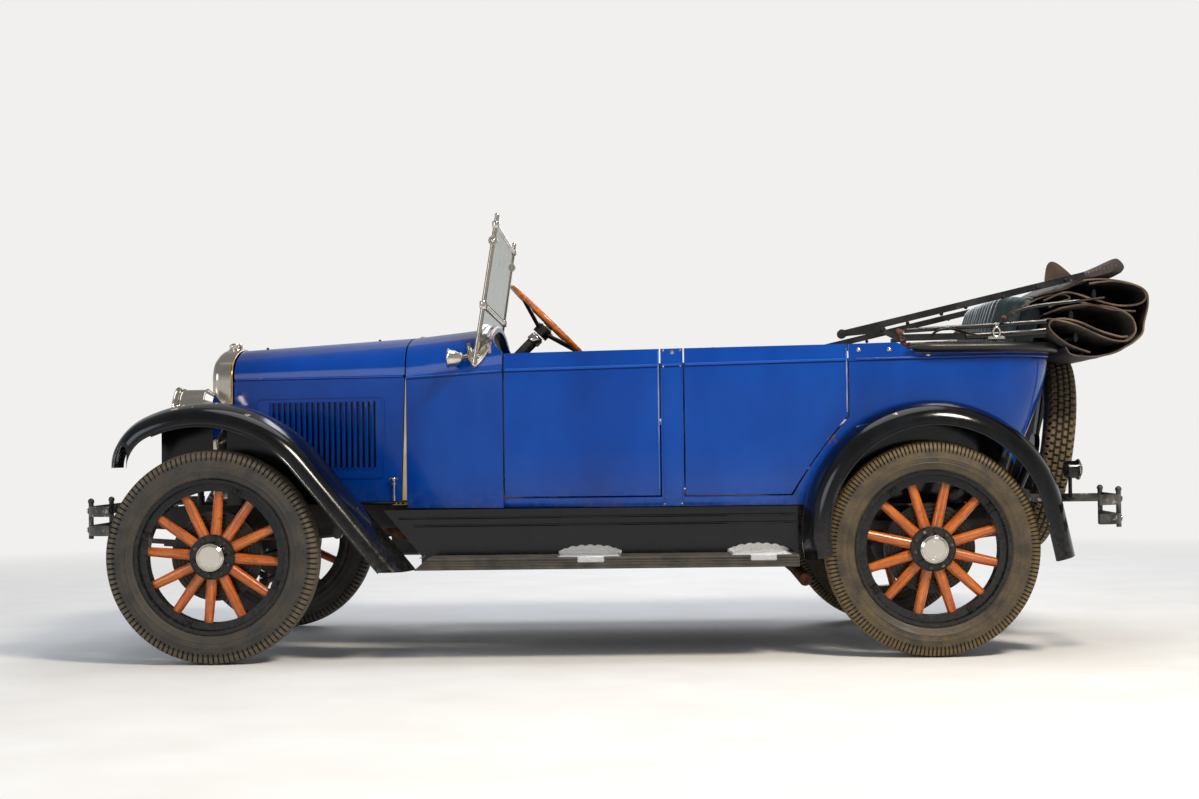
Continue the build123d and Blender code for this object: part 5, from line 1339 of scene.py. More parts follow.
@dataclass
class WheelDress:
    """Finishes and small iron of one wood-spoked wheel."""

    end: End
    side: Side
    station: float
    track: float = 711.0
    height: float = TYRE_RADIUS
    felloe_inner: float = 234.0
    felloe_outer: float = 260.0
    hub_flange: float = 80.0
    hub_face: float = 34.0
    cap_radius: float = 52.0
    cap_reach: float = 74.0
    bolt_circle: float = 66.0
    bolts: int = 10
    clamp_turns: tuple[float, ...] = ()

    @property
    def centre(self) -> Vector:
        """Middle of the wheel."""
        return self.side.at(self.station, self.track, self.height)

    @property
    def outward(self) -> Vector:
        """Direction away from the car."""
        return self.side.out

    def round_place(self, turn: float, radius: float, reach: float) -> Vector:
        """Point by angle clockwise from the top seen from outside, radius and reach outward, in mm."""
        angle = math.radians(turn)
        across = Vector((-self.side.value * math.sin(angle), 0, math.cos(angle)))
        return self.centre + across * (radius * MM) + self.outward * (reach * MM)

    def build(self) -> None:
        """Paints the wheel and adds its iron."""
        name = f"wheel_{self.end.value}_{self.side.word}"
        paint(name, (SPOKE_WOOD, WHEEL_BLACK, NICKEL, DRUM_IRON, HUB_IRON), self.finish_of)
        iron, nuts = Shape(), Shape()
        for k in range(self.bolts):
            turn = 8 + 360 * k / self.bolts
            nuts.nut(self.round_place(turn, self.bolt_circle, self.hub_face), self.outward, 15.0, 8.0)
        for turn in self.clamp_turns:
            self.clamp(iron, turn)
        for k in range(12):
            iron.dome(self.round_place(15 + 30 * k, self.felloe_inner + 7, 29.0), self.outward, 4.0, 2.5)
        for radius, reach, thick in ((self.felloe_outer + 5, 33.0, 3.0), (self.felloe_inner + 1, 27.5, 1.6),
                                     (self.hub_flange - 3, self.hub_face, 2.0)):
            ring = [self.round_place(5 * k, radius, reach) for k in range(72)]
            iron.tube(ring, thick, 8, self.outward, closed=True)
        iron.fit(f"{name}_iron", WHEEL_BLACK, "chassis_paint", name)
        nuts.fit(f"{name}_hub_nuts", BUMPER_STEEL, "chassis_paint", name)
        cap = Shape()
        self.cap(cap)
        cap.fit(f"{name}_cap_rings", NICKEL, "nickel", name)

    def finish_of(self, face: Face) -> int:
        """Which finish a face of the wheel takes."""
        middle = face.center
        reach = (middle.y * self.side.value - self.track * MM) / MM
        radius = math.hypot(middle.x - self.centre.x, middle.z - self.centre.z) / MM
        if reach < -38:
            return 3
        if reach > self.hub_face + 1 and radius < self.cap_radius + 1:
            return 2
        if radius < self.hub_flange:
            return 4
        if self.hub_flange - 1 < radius < self.felloe_inner - 0.5 and abs(reach) < 26:
            return 0
        return 1

    def clamp(self, iron: Shape, turn: float) -> None:
        """One rim clamp: a lug on the felloe, hooked on the rim, with its nut."""
        middle = self.round_place(turn, (self.felloe_inner + self.felloe_outer) / 2 + 3, 33.0)
        angle = math.radians(turn) * self.side.value
        frame = Matrix.Rotation(-angle, 4, "Y")
        iron.block(middle, (30, 9, 36), frame, 3.0)
        iron.block(self.round_place(turn, self.felloe_outer + 1, 38.0), (24, 8, 14), frame, 2.5)
        iron.nut(self.round_place(turn, (self.felloe_inner + self.felloe_outer) / 2, 37.0), self.outward, 19.0, 11.0)

    def cap(self, cap: Shape) -> None:
        """Rings and spanner dimples of the hub cap."""
        sides = 40
        for radius, reach in ((self.cap_radius - 6, self.cap_reach - 3.2), (self.cap_radius - 15, self.cap_reach)):
            path = [self.round_place(360 * k / sides, radius, reach) for k in range(sides)]
            cap.tube(path, 1.4, 6, self.outward, closed=True)
        for turn in (0, 180):
            cap.dome(self.round_place(turn, self.cap_radius * 0.5, self.cap_reach), self.outward, 2.6, 0.8)


def dress_frame_nodes() -> None:
    """Gives every frame node that keeps its shape its finish."""
    plain = {
        BODY_BLUE: ("door_front_left", "door_front_right", "door_rear_left", "door_rear_right", "hood_top_left",
                    "hood_top_right"),
        HOOD_BLUE: ("hood_side_left", "hood_side_right"),
        FENDER_BLACK: ("front_fenders", "rear_fenders"),
        APRON_BLACK: ("splash_aprons",),
        BOARD_RUBBER: ("running_boards",),
        NICKEL: ("radiator_shell",),
        AGED_NICKEL: ("windshield_frame",),
        WINDOW: ("windshield_glass",),
        LENS: ("lamp_lenses",),
        CORE: ("radiator_core",),
        CHASSIS: ("frame", "front_axle", "rear_axle", "knuckle_left", "knuckle_right", "tie_rod", "fuel_tank",
                  "steering_column"),
        SPRING_STEEL: ("leaf_springs",),
        CAST: ("power_unit",),
        RUST: ("exhaust",),
        BOARDS: ("floor", "dashboard"),
        BUMPER_STEEL: ("bumpers",),
        WHEEL_BLACK: ("spare_rim",),
        IRON_BLACK: ("top_irons",),
        HIDE: ("seats",),
        TOP_CLOTH: ("top_cloth",),
    }
    for finish, nodes in plain.items():
        for node in nodes:
            paint(node, (finish,))
    bar_top, tail_front = at(0, 0, 765).z, at(3050, 0, 0).x
    paint("lamps", (NICKEL, IRON_BLACK), lambda f: int(f.center.z < bar_top or f.center.x > tail_front))
    hub, rim_inner = SteeringTrim().low, 184 * MM
    paint("steering_wheel", (RIM_WOOD, IRON_BLACK),
          lambda f: int((f.center - hub).cross(SteeringTrim().axis).length < rim_inner))
    quarter = at(2600, 0, 0).x
    for node in ("body_tub", "body_frame", "cowl"):
        paint(node, (BODY_BLUE, LINING_HIDE),
              lambda f: int(f.normal.y * math.copysign(1, f.center.y) < -0.3
                            or (f.normal.x < -0.3 and f.center.x > quarter)))


@dataclass(frozen=True)
class Axle:
    """What the two wheels of an axle share: place, tyres, and the turns of the rim's clamps in degrees."""

    station: float
    finish: Finish
    lugs: int
    clamp_turns: tuple[float, ...]


AXLES = {End.FRONT: Axle(0.0, FRONT_TYRE, 123, (21.0, 114.0, 201.0, 288.0)),
         End.REAR: Axle(WHEELBASE, REAR_TYRE, 157, (55.0, 148.0, 236.0, 326.0))}
SPARE_PLACE = (3078.0, 0.0, 722.0)
SPARE_LEAN = 9.0


def build_wheels() -> None:
    """Wheels and tyres at the four corners and the spare."""
    for end, axle in AXLES.items():
        for side in Side:
            corner = f"{end.value}_{side.word}"
            wheel = WheelDress(end, side, axle.station, clamp_turns=axle.clamp_turns)
            wheel.build()
            Tyre(f"tyre_{corner}", f"wheel_{corner}", axle.finish, wheel.centre, wheel.outward, lugs=axle.lugs).build()
            LOG.info("wheel %s %s", end.value, side.word)
    lean = math.radians(SPARE_LEAN)
    spare_axle = Vector((math.cos(lean), 0, -math.sin(lean)))
    SpareTyre("spare_tyre", "chassis", SPARE_TYRE, at(*SPARE_PLACE), spare_axle).build()
    LOG.info("spare tyre")


# Trim that follows the body

class Skin:
    """Outer surface of frame nodes, found by rays."""

    def __init__(self, *nodes: str) -> None:
        """Gathers the nodes' meshes."""
        verts: list[Vector] = []
        faces: list[list[int]] = []
        for node in nodes:
            mesh = bpy.data.objects[node].data
            start = len(verts)
            verts.extend(v.co.copy() for v in mesh.vertices)
            faces.extend([start + i for i in face.vertices] for face in mesh.polygons)
        self.tree = BVHTree.FromPolygons(verts, faces)

    def hit(self, origin: Vector, direction: Vector) -> Optional[tuple[Vector, Vector]]:
        """First point that a ray meets.

        Args:
            origin: the ray's start, in metres.
            direction: where it points.

        Returns:
            The point and its outward normal, or nothing where the ray misses.
        """
        place, normal, _, _ = self.tree.ray_cast(origin, direction.normalized())
        if place is None:
            return None
        return place, normal if normal.dot(direction) < 0 else -normal

    def hits(self, rays: Iterable[tuple[Vector, Vector]]) -> list[tuple[Vector, Vector]]:
        """Points that rays meet. Rays that miss are left out.

        Args:
            rays: origin and direction of each.

        Returns:
            The points with their outward normals.
        """
        found = (self.hit(origin, direction) for origin, direction in rays)
        return [spot for spot in found if spot is not None]

    def round_back(self, height: float, reach: int, step: int) -> list[tuple[Vector, Vector]]:
        """Points round the body's back at one height, from the left corner to the right.

        Args:
            height: height in mm.
            reach: half of the straight run across the back, in mm.
            step: distance between its points, in mm.

        Returns:
            The points with their outward normals.
        """
        rays = []
        for side, turns in ((Side.LEFT, range(4, 87, 6)), (Side.RIGHT, range(86, 3, -6))):
            for turn in map(math.radians, turns):
                out = Vector((math.sin(turn), side.value * math.cos(turn), 0))
                rays.append((side.at(*BACK_CORNER, height) + out, -out))
            if side is Side.LEFT:
                rays += [(at(3400, across, height), Vector((-1, 0, 0))) for across in range(-reach, reach + 1, step)]
        return self.hits(rays)

    def side(self, side: Side, station: float, height: float) -> Optional[tuple[Vector, Vector]]:
        """Point on the car's side.

        Args:
            side: which side.
            station: millimetres behind the front axle.
            height: millimetres above the ground.

        Returns:
            The point and its outward normal, or nothing where there is no surface.
        """
        return self.hit(side.at(station, 1300, height), Vector((0, -side.value, 0)))

    def trace(self, side: Side, route: Sequence[tuple[float, float]], step: float = 24.0) -> list:
        """Points along a route on the car's side.

        Args:
            side: which side.
            route: corners of the route as (station, height), in mm.
            step: distance between the points, in mm.

        Returns:
            The points with their outward normals.
        """
        found = []
        for start, end in zip(route, route[1:]):
            count = max(1, round(math.dist(start, end) / step))
            for k in range(count):
                t = k / count
                found.append(self.side(side, start[0] + (end[0] - start[0]) * t, start[1] + (end[1] - start[1]) * t))
        found.append(self.side(side, *route[-1]))
        return [spot for spot in found if spot is not None]


def lay(shape: Shape, spots: Sequence[tuple[Vector, Vector]], profile: Sequence[tuple[float, float]],
        closed: bool = False) -> None:
    """Lays a bar on a surface.

    Args:
        shape: gathers the mesh.
        spots: points on the surface with their outward normals.
        profile: section in mm as (across the run, out of the surface).
        closed: whether the run is a loop.
    """
    rows = []
    count = len(spots)
    for i, (place, normal) in enumerate(spots):
        before = spots[(i - 1) % count if closed or i else 0][0]
        after = spots[(i + 1) % count if closed or i < count - 1 else i][0]
        across = normal.cross(after - before).normalized()
        rows.append([place + across * (a * MM) + normal * (h * MM) for a, h in profile])
    shape.grid(rows, closed_rows=True, closed_columns=closed, caps=not closed)


def bead_profile(width: float, proud: float, sunk: float = 0.8) -> list[tuple[float, float]]:
    """Half-round section of a bead.

    Args:
        width: its width, in mm.
        proud: how far it stands out.
        sunk: how far it reaches into the surface.

    Returns:
        Points in mm as (across, out of the surface).
    """
    steps = 8
    arc = [(math.cos(math.pi * k / steps) * width / 2, math.sin(math.pi * k / steps) * proud)
           for k in range(steps + 1)]
    return arc + [(-width / 2, -sunk), (width / 2, -sunk)]


def strip_profile(width: float, proud: float, sunk: float = 0.8) -> list[tuple[float, float]]:
    """Flat section with rounded edges.

    Args:
        width: its width, in mm.
        proud: how far it stands out.
        sunk: how far it reaches into the surface.

    Returns:
        Points in mm as (across, out of the surface).
    """
    w, r = width / 2, min(proud, width / 4)
    return [(w, -sunk), (w, proud - r), (w - r * 0.3, proud - r * 0.3), (w - r, proud), (0.0, proud),
            (r - w, proud), (r * 0.3 - w, proud - r * 0.3), (-w, proud - r), (-w, -sunk)]


def finish_piece(piece: Piece, body: str) -> Piece:
    """Lets a piece ride on a body.

    Args:
        piece: the piece's object.
        body: the body it moves with.

    Returns:
        The same object.
    """
    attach(piece, body)
    LOG.info("%s on %s", piece.name, body)
    return piece


@dataclass
class BodyTrim:
    """Beads, cover strips, edge flanges and snaps of the open body."""

    bead_width: float = 11.0
    bead_proud: float = 5.0
    door_spans: tuple[tuple[str, float, float], ...] = (
        ("door_front", 1034.0, 1588.0), ("door_rear", 1687.0, 2264.0))
    pillar_span: tuple[float, float] = (1602.0, 1674.0)
    sill_low: float = 541.0
    sill_high: float = 571.0
    snap_stations: tuple[float, ...] = (1640.0, 2310.0, 2420.0, 2560.0)

    def belt_height(self, station: float) -> float:
        """Height of the belt bead at a station."""
        for (x0, z0), (x1, z1) in zip(BELT_LINE, BELT_LINE[1:]):
            if station <= x1:
                return z0 + (z1 - z0) * (station - x0) / (x1 - x0)
        return BELT_LINE[-1][1]

    def build(self) -> None:
        """Trims both sides."""
        bead = bead_profile(self.bead_width, self.bead_proud)
        for side in Side:
            word = side.word
            shape = Shape()
            self.belt(shape, Skin("cowl"), side, BELT_LINE[0][0], BELT_LINE[1][0], bead)
            frame_skin = Skin("body_frame")
            self.belt(shape, frame_skin, side, *self.pillar_span, bead)
            shape.fit(f"belt_bead_{word}", BEAD_BLUE, "blue_paint")
            for door, front, rear in self.door_spans:
                node = f"{door}_{word}"
                self.door(Skin(node), side, node, front, rear, bead)
            self.pillar(frame_skin, side)
            self.sill(frame_skin, side)
            self.snaps(side)
        self.rear_belt(bead)
        self.corner_beads()

    def belt(self, shape: Shape, skin: Skin, side: Side, front: float, rear: float, bead: Sequence) -> None:
        """One run of the belt bead."""
        route = [(front, self.belt_height(front)), (rear, self.belt_height(rear))]
        lay(shape, skin.trace(side, route), bead)

    def door(self, skin: Skin, side: Side, node: str, front: float, rear: float, bead: Sequence) -> None:
        """Bead and edge strip of one door: a lighter blue that is a painted highlight, with wear in pale streaks and
        chips.
        """
        shape = Shape()
        self.belt(shape, skin, side, front, rear, bead)
        shape.fit(f"{node}_bead", BEAD_BLUE, "blue_paint", node)
        edge = Shape()
        low = 600.0 if node.startswith("door_front") else 868.0
        route = [(rear + 1.0, low), (rear + 1.0, 1098.0)]
        lay(edge, skin.trace(side, route), strip_profile(5.0, 1.6))
        edge.fit(f"{node}_worn_edge", CHIPPED_EDGE_HIGHLIGHT, "blue_paint", node)

    def pillar(self, skin: Skin, side: Side) -> None:
        """Cover strip between the doors, with its screws."""
        shape = Shape()
        middle = sum(self.pillar_span) / 2
        route = [(middle, self.sill_low), (middle, self.belt_height(middle) - 6)]
        lay(shape, skin.trace(side, route), strip_profile(66.0, 2.4))
        route = [(middle, self.belt_height(middle) + 6), (middle, 1104.0)]
        lay(shape, skin.trace(side, route), strip_profile(66.0, 2.4))
        shape.fit(f"pillar_cover_{side.word}", BODY_BLUE, "blue_paint")
        screws = Shape()
        for station, height in ((1607, 545), (1669, 547), (1607, 1040), (1669, 1042), (1607, 1098), (1669, 1098)):
            spot = skin.side(side, station, height)
            if spot:
                screws.dome(spot[0] + spot[1] * (2.2 * MM), spot[1], 3.6, 1.8)
        screws.fit(f"pillar_screws_{side.word}", AGED_NICKEL, "nickel")

    def sill(self, skin: Skin, side: Side) -> None:
        """Low cover strips under the doors."""
        shape = Shape()
        middle = (self.sill_low + self.sill_high) / 2
        for front, rear in ((1033.0, 1600.0), (1677.0, 2040.0)):
            lay(shape, skin.trace(side, [(front, middle), (rear, middle)]),
                strip_profile(self.sill_high - self.sill_low, 2.0))
        shape.fit(f"sill_cover_{side.word}", BODY_BLUE, "blue_paint")

    def snaps(self, side: Side) -> None:
        """Turn-button snaps for the side curtains, on the band above the belt."""
        skin = Skin("body_frame", "body_tub")
        shape = Shape()
        for station in self.snap_stations:
            spot = skin.side(side, station, 1091.0 if station < 2500 else 1070.0)
            if spot:
                shape.turned([(0, 0), (8, 0), (8, 1.5), (6.4, 3), (3.4, 3.4), (3.4, 6), (0, 7)], spot[0], spot[1], 14)
        shape.fit(f"curtain_snaps_{side.word}", NICKEL, "nickel")

    def rear_belt(self, bead: Sequence) -> None:
        """Belt bead round the back of the body."""
        skin = Skin("body_tub")
        route = [(2272.0, self.belt_height(2272.0)), BELT_LINE[-1]]
        spots = skin.trace(Side.LEFT, route) + skin.round_back(BELT_LINE[-1][1], 350, 50)
        spots += reversed(skin.trace(Side.RIGHT, route))
        shape = Shape()
        lay(shape, spots, bead)
        shape.fit("belt_bead_rear", BODY_BLUE, "blue_paint")

    def corner_beads(self) -> None:
        """Upright beads where the quarters meet the back panel."""
        skin, angle = Skin("body_tub"), math.radians(48)
        for side in Side:
            out = Vector((math.sin(angle), side.value * math.cos(angle), 0))
            spots = skin.hits((side.at(BACK_CORNER[0] - 20, BACK_CORNER[1], height) + out, -out)
                              for height in range(600, 1056, 20))
            shape = Shape()
            lay(shape, spots, bead_profile(8.0, 3.5))
            shape.fit(f"quarter_bead_{side.word}", BODY_BLUE, "blue_paint")


@dataclass
class HoodTrim:
    """Lacing strip, latches, rubber buttons and hinge ends of the hood."""

    lacing_front: tuple[float, float] = (641.0, 656.5)
    lacing_rear: float = 659.4
    lacing_span: tuple[float, float] = (566.0, 1016.0)
    ledge_half: float = 450.0
    ledge_slope: float = 0.2665
    latch_station: float = 612.0
    latch_low: float = 545.0
    latch_high: float = 643.0
    button_stations: tuple[float, ...] = (66.0, 508.0)
    ferrule_station: float = 676.0

    def build(self) -> None:
        """Trims both sides of the hood."""
        for side in Side:
            self.lacing(side)
            self.latch(side)
        self.buttons()

    def lacing(self, side: Side) -> None:
        """Webbing in the gap behind the hood's raked edge, wider towards its foot, in cream that is a painted highlight
        of the lit edge.
        """
        low, high = self.lacing_span
        rows = []
        for k in range(23):
            height = low + (high - low) * k / 22
            front = self.lacing_front[0] + (self.lacing_front[1] - self.lacing_front[0]) * k / 22
            row = []
            for station, depth in ((front, 4.0), (front, 0.6), (front + 1.2, 0.0), (self.lacing_rear - 1.0, 0.0),
                                   (self.lacing_rear, 0.6), (self.lacing_rear, 4.0)):
                half = self.ledge_half - (self.lacing_rear - station) * self.ledge_slope - 1.0 - depth
                row.append(side.at(station, half, height))
            rows.append(row)
        shape = Shape()
        shape.grid(rows, closed_rows=True, caps=True)
        shape.fit(f"hood_lacing_{side.word}", LACING_HIGHLIGHT, "top_cloth")

    def latch(self, side: Side) -> None:
        """T-handled catch on the hood's side, and its spring bracket on the ledge."""
        skin = Skin(f"hood_side_{side.word}")
        spot = skin.side(side, self.latch_station, 600.0)
        out = spot[1]
        surface = spot[0].y / MM
        proud = side.value * 13.0
        shape = Shape()
        line = [at(self.latch_station, surface + proud, z) for z in (self.latch_low + 22, 590, self.latch_high)]
        shape.tube(line, 3.4, 12, (1, 0, 0))
        run = Vector((out.y, -out.x, 0)).normalized() * side.value
        top = line[-1]
        handle = [top - run * (17 * MM), top - run * (9 * MM) + raised(3), top + raised(4),
                  top + run * (9 * MM) + raised(3), top + run * (17 * MM)]
        shape.tube(smooth_path(handle, 4), 4.2, 10, out)
        shape.turned([(0, -4), (7, -4), (7, 2), (5, 6), (0, 7)], top, (0, 0, 1), 16)
        catch = spot[0] + raised(28)
        shape.block(catch + out * (6 * MM), (16, 14, 12), Matrix.Rotation(math.atan2(run.y, run.x), 3, "Z"), 2.0)
        foot = line[0]
        for k in range(5):
            shape.turned([(0, 0), (6.5, 0), (6.5, 2.2), (0, 2.2)], foot + raised(k * 4 - 2), (0, 0, 1),
                         14)
        shape.fit(f"hood_latch_{side.word}", AGED_NICKEL, "nickel", f"hood_side_{side.word}")
        bracket = Shape()
        base = at(self.latch_station + 24, surface + side.value * 10, 556)
        for shift, height in ((-16, 12), (0, 14), (16, 12)):
            bracket.block(base + Vector((shift * MM, 0, 0)), (9, 16, height), None, 1.5)
        bracket.block(base - raised(5), (60, 18, 5), None, 1.5)
        bracket.nut(base + Vector((22 * MM, 0, -2 * MM)), side.out, 10, 12)
        bracket.fit(f"latch_bracket_{side.word}", BRASS, "nickel")

    def buttons(self) -> None:
        """Rubber buttons beside the centre hinge and a brass ferrule behind its rear end."""
        skin = Skin("hood_top_left")
        shape = Shape()
        for station in self.button_stations:
            place, out = skin.hit(at(station, -16, 1400), Vector((0, 0, -1)))
            shape.turned([(0, -1), (4.5, -1), (5.5, 1), (5.5, 5), (4, 7), (0, 8)], place, out, 14)
        shape.fit("hood_buttons", BLACK_RUBBER, "rubber_mat", "hood_top_left")
        ferrule = Shape()
        spot = Skin("cowl").hit(at(self.ferrule_station, 0, 1400), Vector((0, 0, -1)))
        ferrule.tube([spot[0] + Vector((x * MM, 0, 0)) for x in (-10, 10)], 6.5, 14)
        ferrule.dome(spot[0] + raised(5), (0, 0, 1), 4.0, 2.5)
        ferrule.fit("hood_hinge_ferrule", BRASS, "nickel")


@dataclass
class FenderTrim:
    """Rolled edges of the fenders and bolts where they meet the boards."""

    front_arc: tuple[float, float, float] = (-34.0, 421.0, 510.0)
    ramp_angle: float = 39.4
    roll_end_x: float = 598.0
    rear_arc: tuple[float, float, float] = (2558.0, 440.0, 465.0)
    rear_start: float = 191.0
    rear_tail: float = 12.0
    tail_length: float = 186.0
    drop: float = 85.0
    lip_y: float = 803.0
    roll: float = 5.0

    def build(self) -> None:
        """Rolls the edges of all four fenders."""
        for side in Side:
            for name, route in (("front", self.front_route()), ("rear", self.rear_route())):
                shape = Shape()
                path = [side.at(x, self.lip_y - 1.0, z) for x, z in route]
                shape.tube(path, self.roll, 10, (0, 1, 0))
                shape.fit(f"{name}_fender_roll_{side.word}", FENDER_BLACK, "black_paint")
            bolts = Shape()
            for across in (640, 700, 760):
                spot = side.at(742, across, 369)
                bolts.dome(spot, (0, 0, 1), 5.0, 3.0)
            bolts.fit(f"board_bolts_{side.word}", AGED_NICKEL, "nickel")

    def arc(self, middle: tuple[float, float, float], angles: Iterable[float]) -> list[tuple[float, float]]:
        """Points on a skirt's lower edge round its wheel.

        Args:
            middle: station, height and radius of the fender's arc, in mm.
            angles: degrees up from the rear.

        Returns:
            Rows of (station, height).
        """
        x, z, radius = middle
        inner = radius - self.drop
        return [(x + inner * math.cos(turn), z + inner * math.sin(turn)) for turn in map(math.radians, angles)]

    def front_route(self) -> list[tuple[float, float]]:
        """Lower edge of the front fender's skirt, from the tip to the board."""
        route = self.arc(self.front_arc, range(113, round(self.ramp_angle) - 1, -4))
        turn = math.radians(self.ramp_angle)
        x, z = self.arc(self.front_arc, (self.ramp_angle,))[0]
        length = (self.roll_end_x - x) / math.sin(turn)
        return route + [(x + math.sin(turn) * length * k / 8, z - math.cos(turn) * length * k / 8) for k in range(9)]

    def rear_route(self) -> list[tuple[float, float]]:
        """Lower edge of the rear fender's skirt, from its foot to its tail."""
        route = self.arc(self.rear_arc, range(round(self.rear_start), round(self.rear_tail) - 1, -4))
        turn = math.radians(self.rear_tail)
        x, z = self.arc(self.rear_arc, (self.rear_tail,))[0]
        for k in range(1, 6):
            share = self.tail_length * k / 5
            route.append((x + math.sin(turn) * share, z - math.cos(turn) * share))
        return route


@dataclass
class BoardTrim:
    """Ribbed rubber, edge mouldings and cast step plates of the running boards, and the aprons' beads."""

    front: float = 770.0
    rear: float = 2070.0
    top: float = 368.0
    inner: float = 596.0
    outer: float = 800.0
    rib_pitch: float = 12.0
    plate_spans: tuple[tuple[float, float], ...] = ((1222.0, 1450.0), (1830.0, 2052.0))
    scallops: int = 7
    flange_height: float = 34.0
    bead_rows: tuple[tuple[float, float], ...] = ((645.0, 504.0), (700.0, 476.0))

    def build(self) -> None:
        """Dresses both boards."""
        for side in Side:
            self.ribs(side)
            for number, span_mm in enumerate(self.plate_spans, 1):
                self.plate(side, number, *span_mm)
            self.beads(side)

    def ribs(self, side: Side) -> None:
        """Ribs along the tread and grooves along the edge."""
        shape = Shape()
        count = int((self.outer - self.inner) / self.rib_pitch)
        section = [(-3.4 * MM, -0.6 * MM), (-2.6 * MM, 1.8 * MM), (2.6 * MM, 1.8 * MM), (3.4 * MM, -0.6 * MM)]
        for k in range(count):
            across = side.value * (self.inner + 8 + k * self.rib_pitch)
            shape.sweep([at(self.front, across, self.top), at(self.rear, across, self.top)], lambda _: section)
        for height, radius in ((self.top - 3.5, 4.0), (self.top - 14, 2.6), (self.top - 24, 2.6), (self.top - 36, 3.2)):
            rake = (self.top - height) * 1.2
            shape.tube([side.at(self.front + 2 - rake, self.outer, height),
                        side.at(self.rear, self.outer, height)], radius, 10)
        shape.fit(f"board_ribs_{side.word}", BOARD_RUBBER, "rubber_mat")

    def plate(self, side: Side, number: int, front: float, rear: float) -> None:
        """One cast step plate: ribbed tread, scalloped flange up the apron and a lip over the edge."""
        shape = Shape()
        middle = (front + rear) / 2
        width = rear - front
        apron = 590.5
        steps = self.scallops * 8
        outline = []
        for k in range(steps + 1):
            share = k / steps
            wave = abs(math.sin(math.pi * self.scallops * share))
            crown = math.sin(math.pi * min(max(share * 1.16 - 0.08, 0.0), 1.0)) ** 0.5
            outline.append((front + width * share, 12 + (self.flange_height - 16) * crown + 5 * wave))
        rows = []
        for inset in (0.0, 4.5):
            rows.append([side.at(x, apron + inset, self.top + 1) for x, _ in outline])
            rows.append([side.at(x, apron + inset * 1.6, self.top + h) for x, h in outline])
        shape.grid([rows[0], rows[1], rows[3], rows[2]], closed_columns=True)
        for end in (0, -1):
            start = len(shape.verts)
            shape.verts.extend(row[end] for row in (rows[0], rows[1], rows[3], rows[2]))
            shape.faces.append([start, start + 1, start + 2, start + 3])
        tread_outer = self.outer - 6
        shape.block(at(middle, side.value * (apron + tread_outer) / 2, self.top + 2.4),
                    (width - 8, tread_outer - apron, 4.8), None, 2.2)
        for k in range(9):
            across = side.value * (apron + 18 + k * 20)
            shape.tube([at(front + 14, across, self.top + 4.4), at(rear - 14, across, self.top + 4.4)], 2.4, 8)
        shape.block(side.at(middle + 6, self.outer + 0.5, self.top - 7), (width * 0.42, 7, 22), None, 3.0)
        for shift in (-0.44, 0.44):
            for across in (self.inner + 20, self.outer - 20):
                shape.dome(side.at(middle + width * shift, across, self.top + 4.6), (0, 0, 1), 5.0, 2.6)
        shape.fit(f"step_plate_{side.word}_{number}", ALUMINIUM, "nickel")

    def beads(self, side: Side) -> None:
        """Two pressed beads along the apron."""
        skin = Skin("splash_aprons")
        shape = Shape()
        for front, height in self.bead_rows:
            spots = skin.trace(side, [(front, height), (2078.0, height)], 60.0)
            spots = [spot for spot in spots if abs(spot[0].y) > 0.57]
            lay(shape, spots, bead_profile(9.0, 4.0))
        shape.fit(f"apron_beads_{side.word}", APRON_BLACK, "black_paint")


# Upholstery and folded top

def settle_cloth(piece: Piece, pinned: Sequence[int], pressure: float, cap_mm: float, frames: int = 20) -> None:
    """Swells a closed mesh between its pinned seams and applies the result.

    Args:
        piece: the cushion's object.
        pinned: indices of the points that the seams hold.
        pressure: pressure of the cloth solver.
        cap_mm: the farthest that a point may move.
        frames: frames to step.
    """
    group = piece.vertex_groups.new(name="seams")
    group.add(list(pinned), 1.0, "ADD")
    cloth = piece.modifiers.new("stuffing", "CLOTH")
    cloth.settings.vertex_group_mass = "seams"
    cloth.settings.use_pressure = True
    cloth.settings.uniform_pressure_force = pressure
    cloth.settings.effector_weights.gravity = 0.0
    cloth.settings.quality = 5
    cloth.settings.tension_stiffness = 12.0
    cloth.settings.compression_stiffness = 12.0
    cloth.settings.bending_stiffness = 0.6
    cloth.point_cache.frame_start, cloth.point_cache.frame_end = 1, frames
    scene = bpy.context.scene
    for frame in range(1, frames + 1):
        scene.frame_set(frame)
    graph = bpy.context.evaluated_depsgraph_get()
    swollen = piece.evaluated_get(graph).to_mesh()
    moved = []
    for before, after in zip(piece.data.vertices, swollen.vertices):
        step = after.co - before.co
        if step.length > cap_mm * MM:
            step = step.normalized() * (cap_mm * MM)
        moved.append(before.co + step)
    piece.evaluated_get(graph).to_mesh_clear()
    piece.modifiers.remove(cloth)
    for vertex, place in zip(piece.data.vertices, moved):
        vertex.co = place
    scene.frame_set(1)


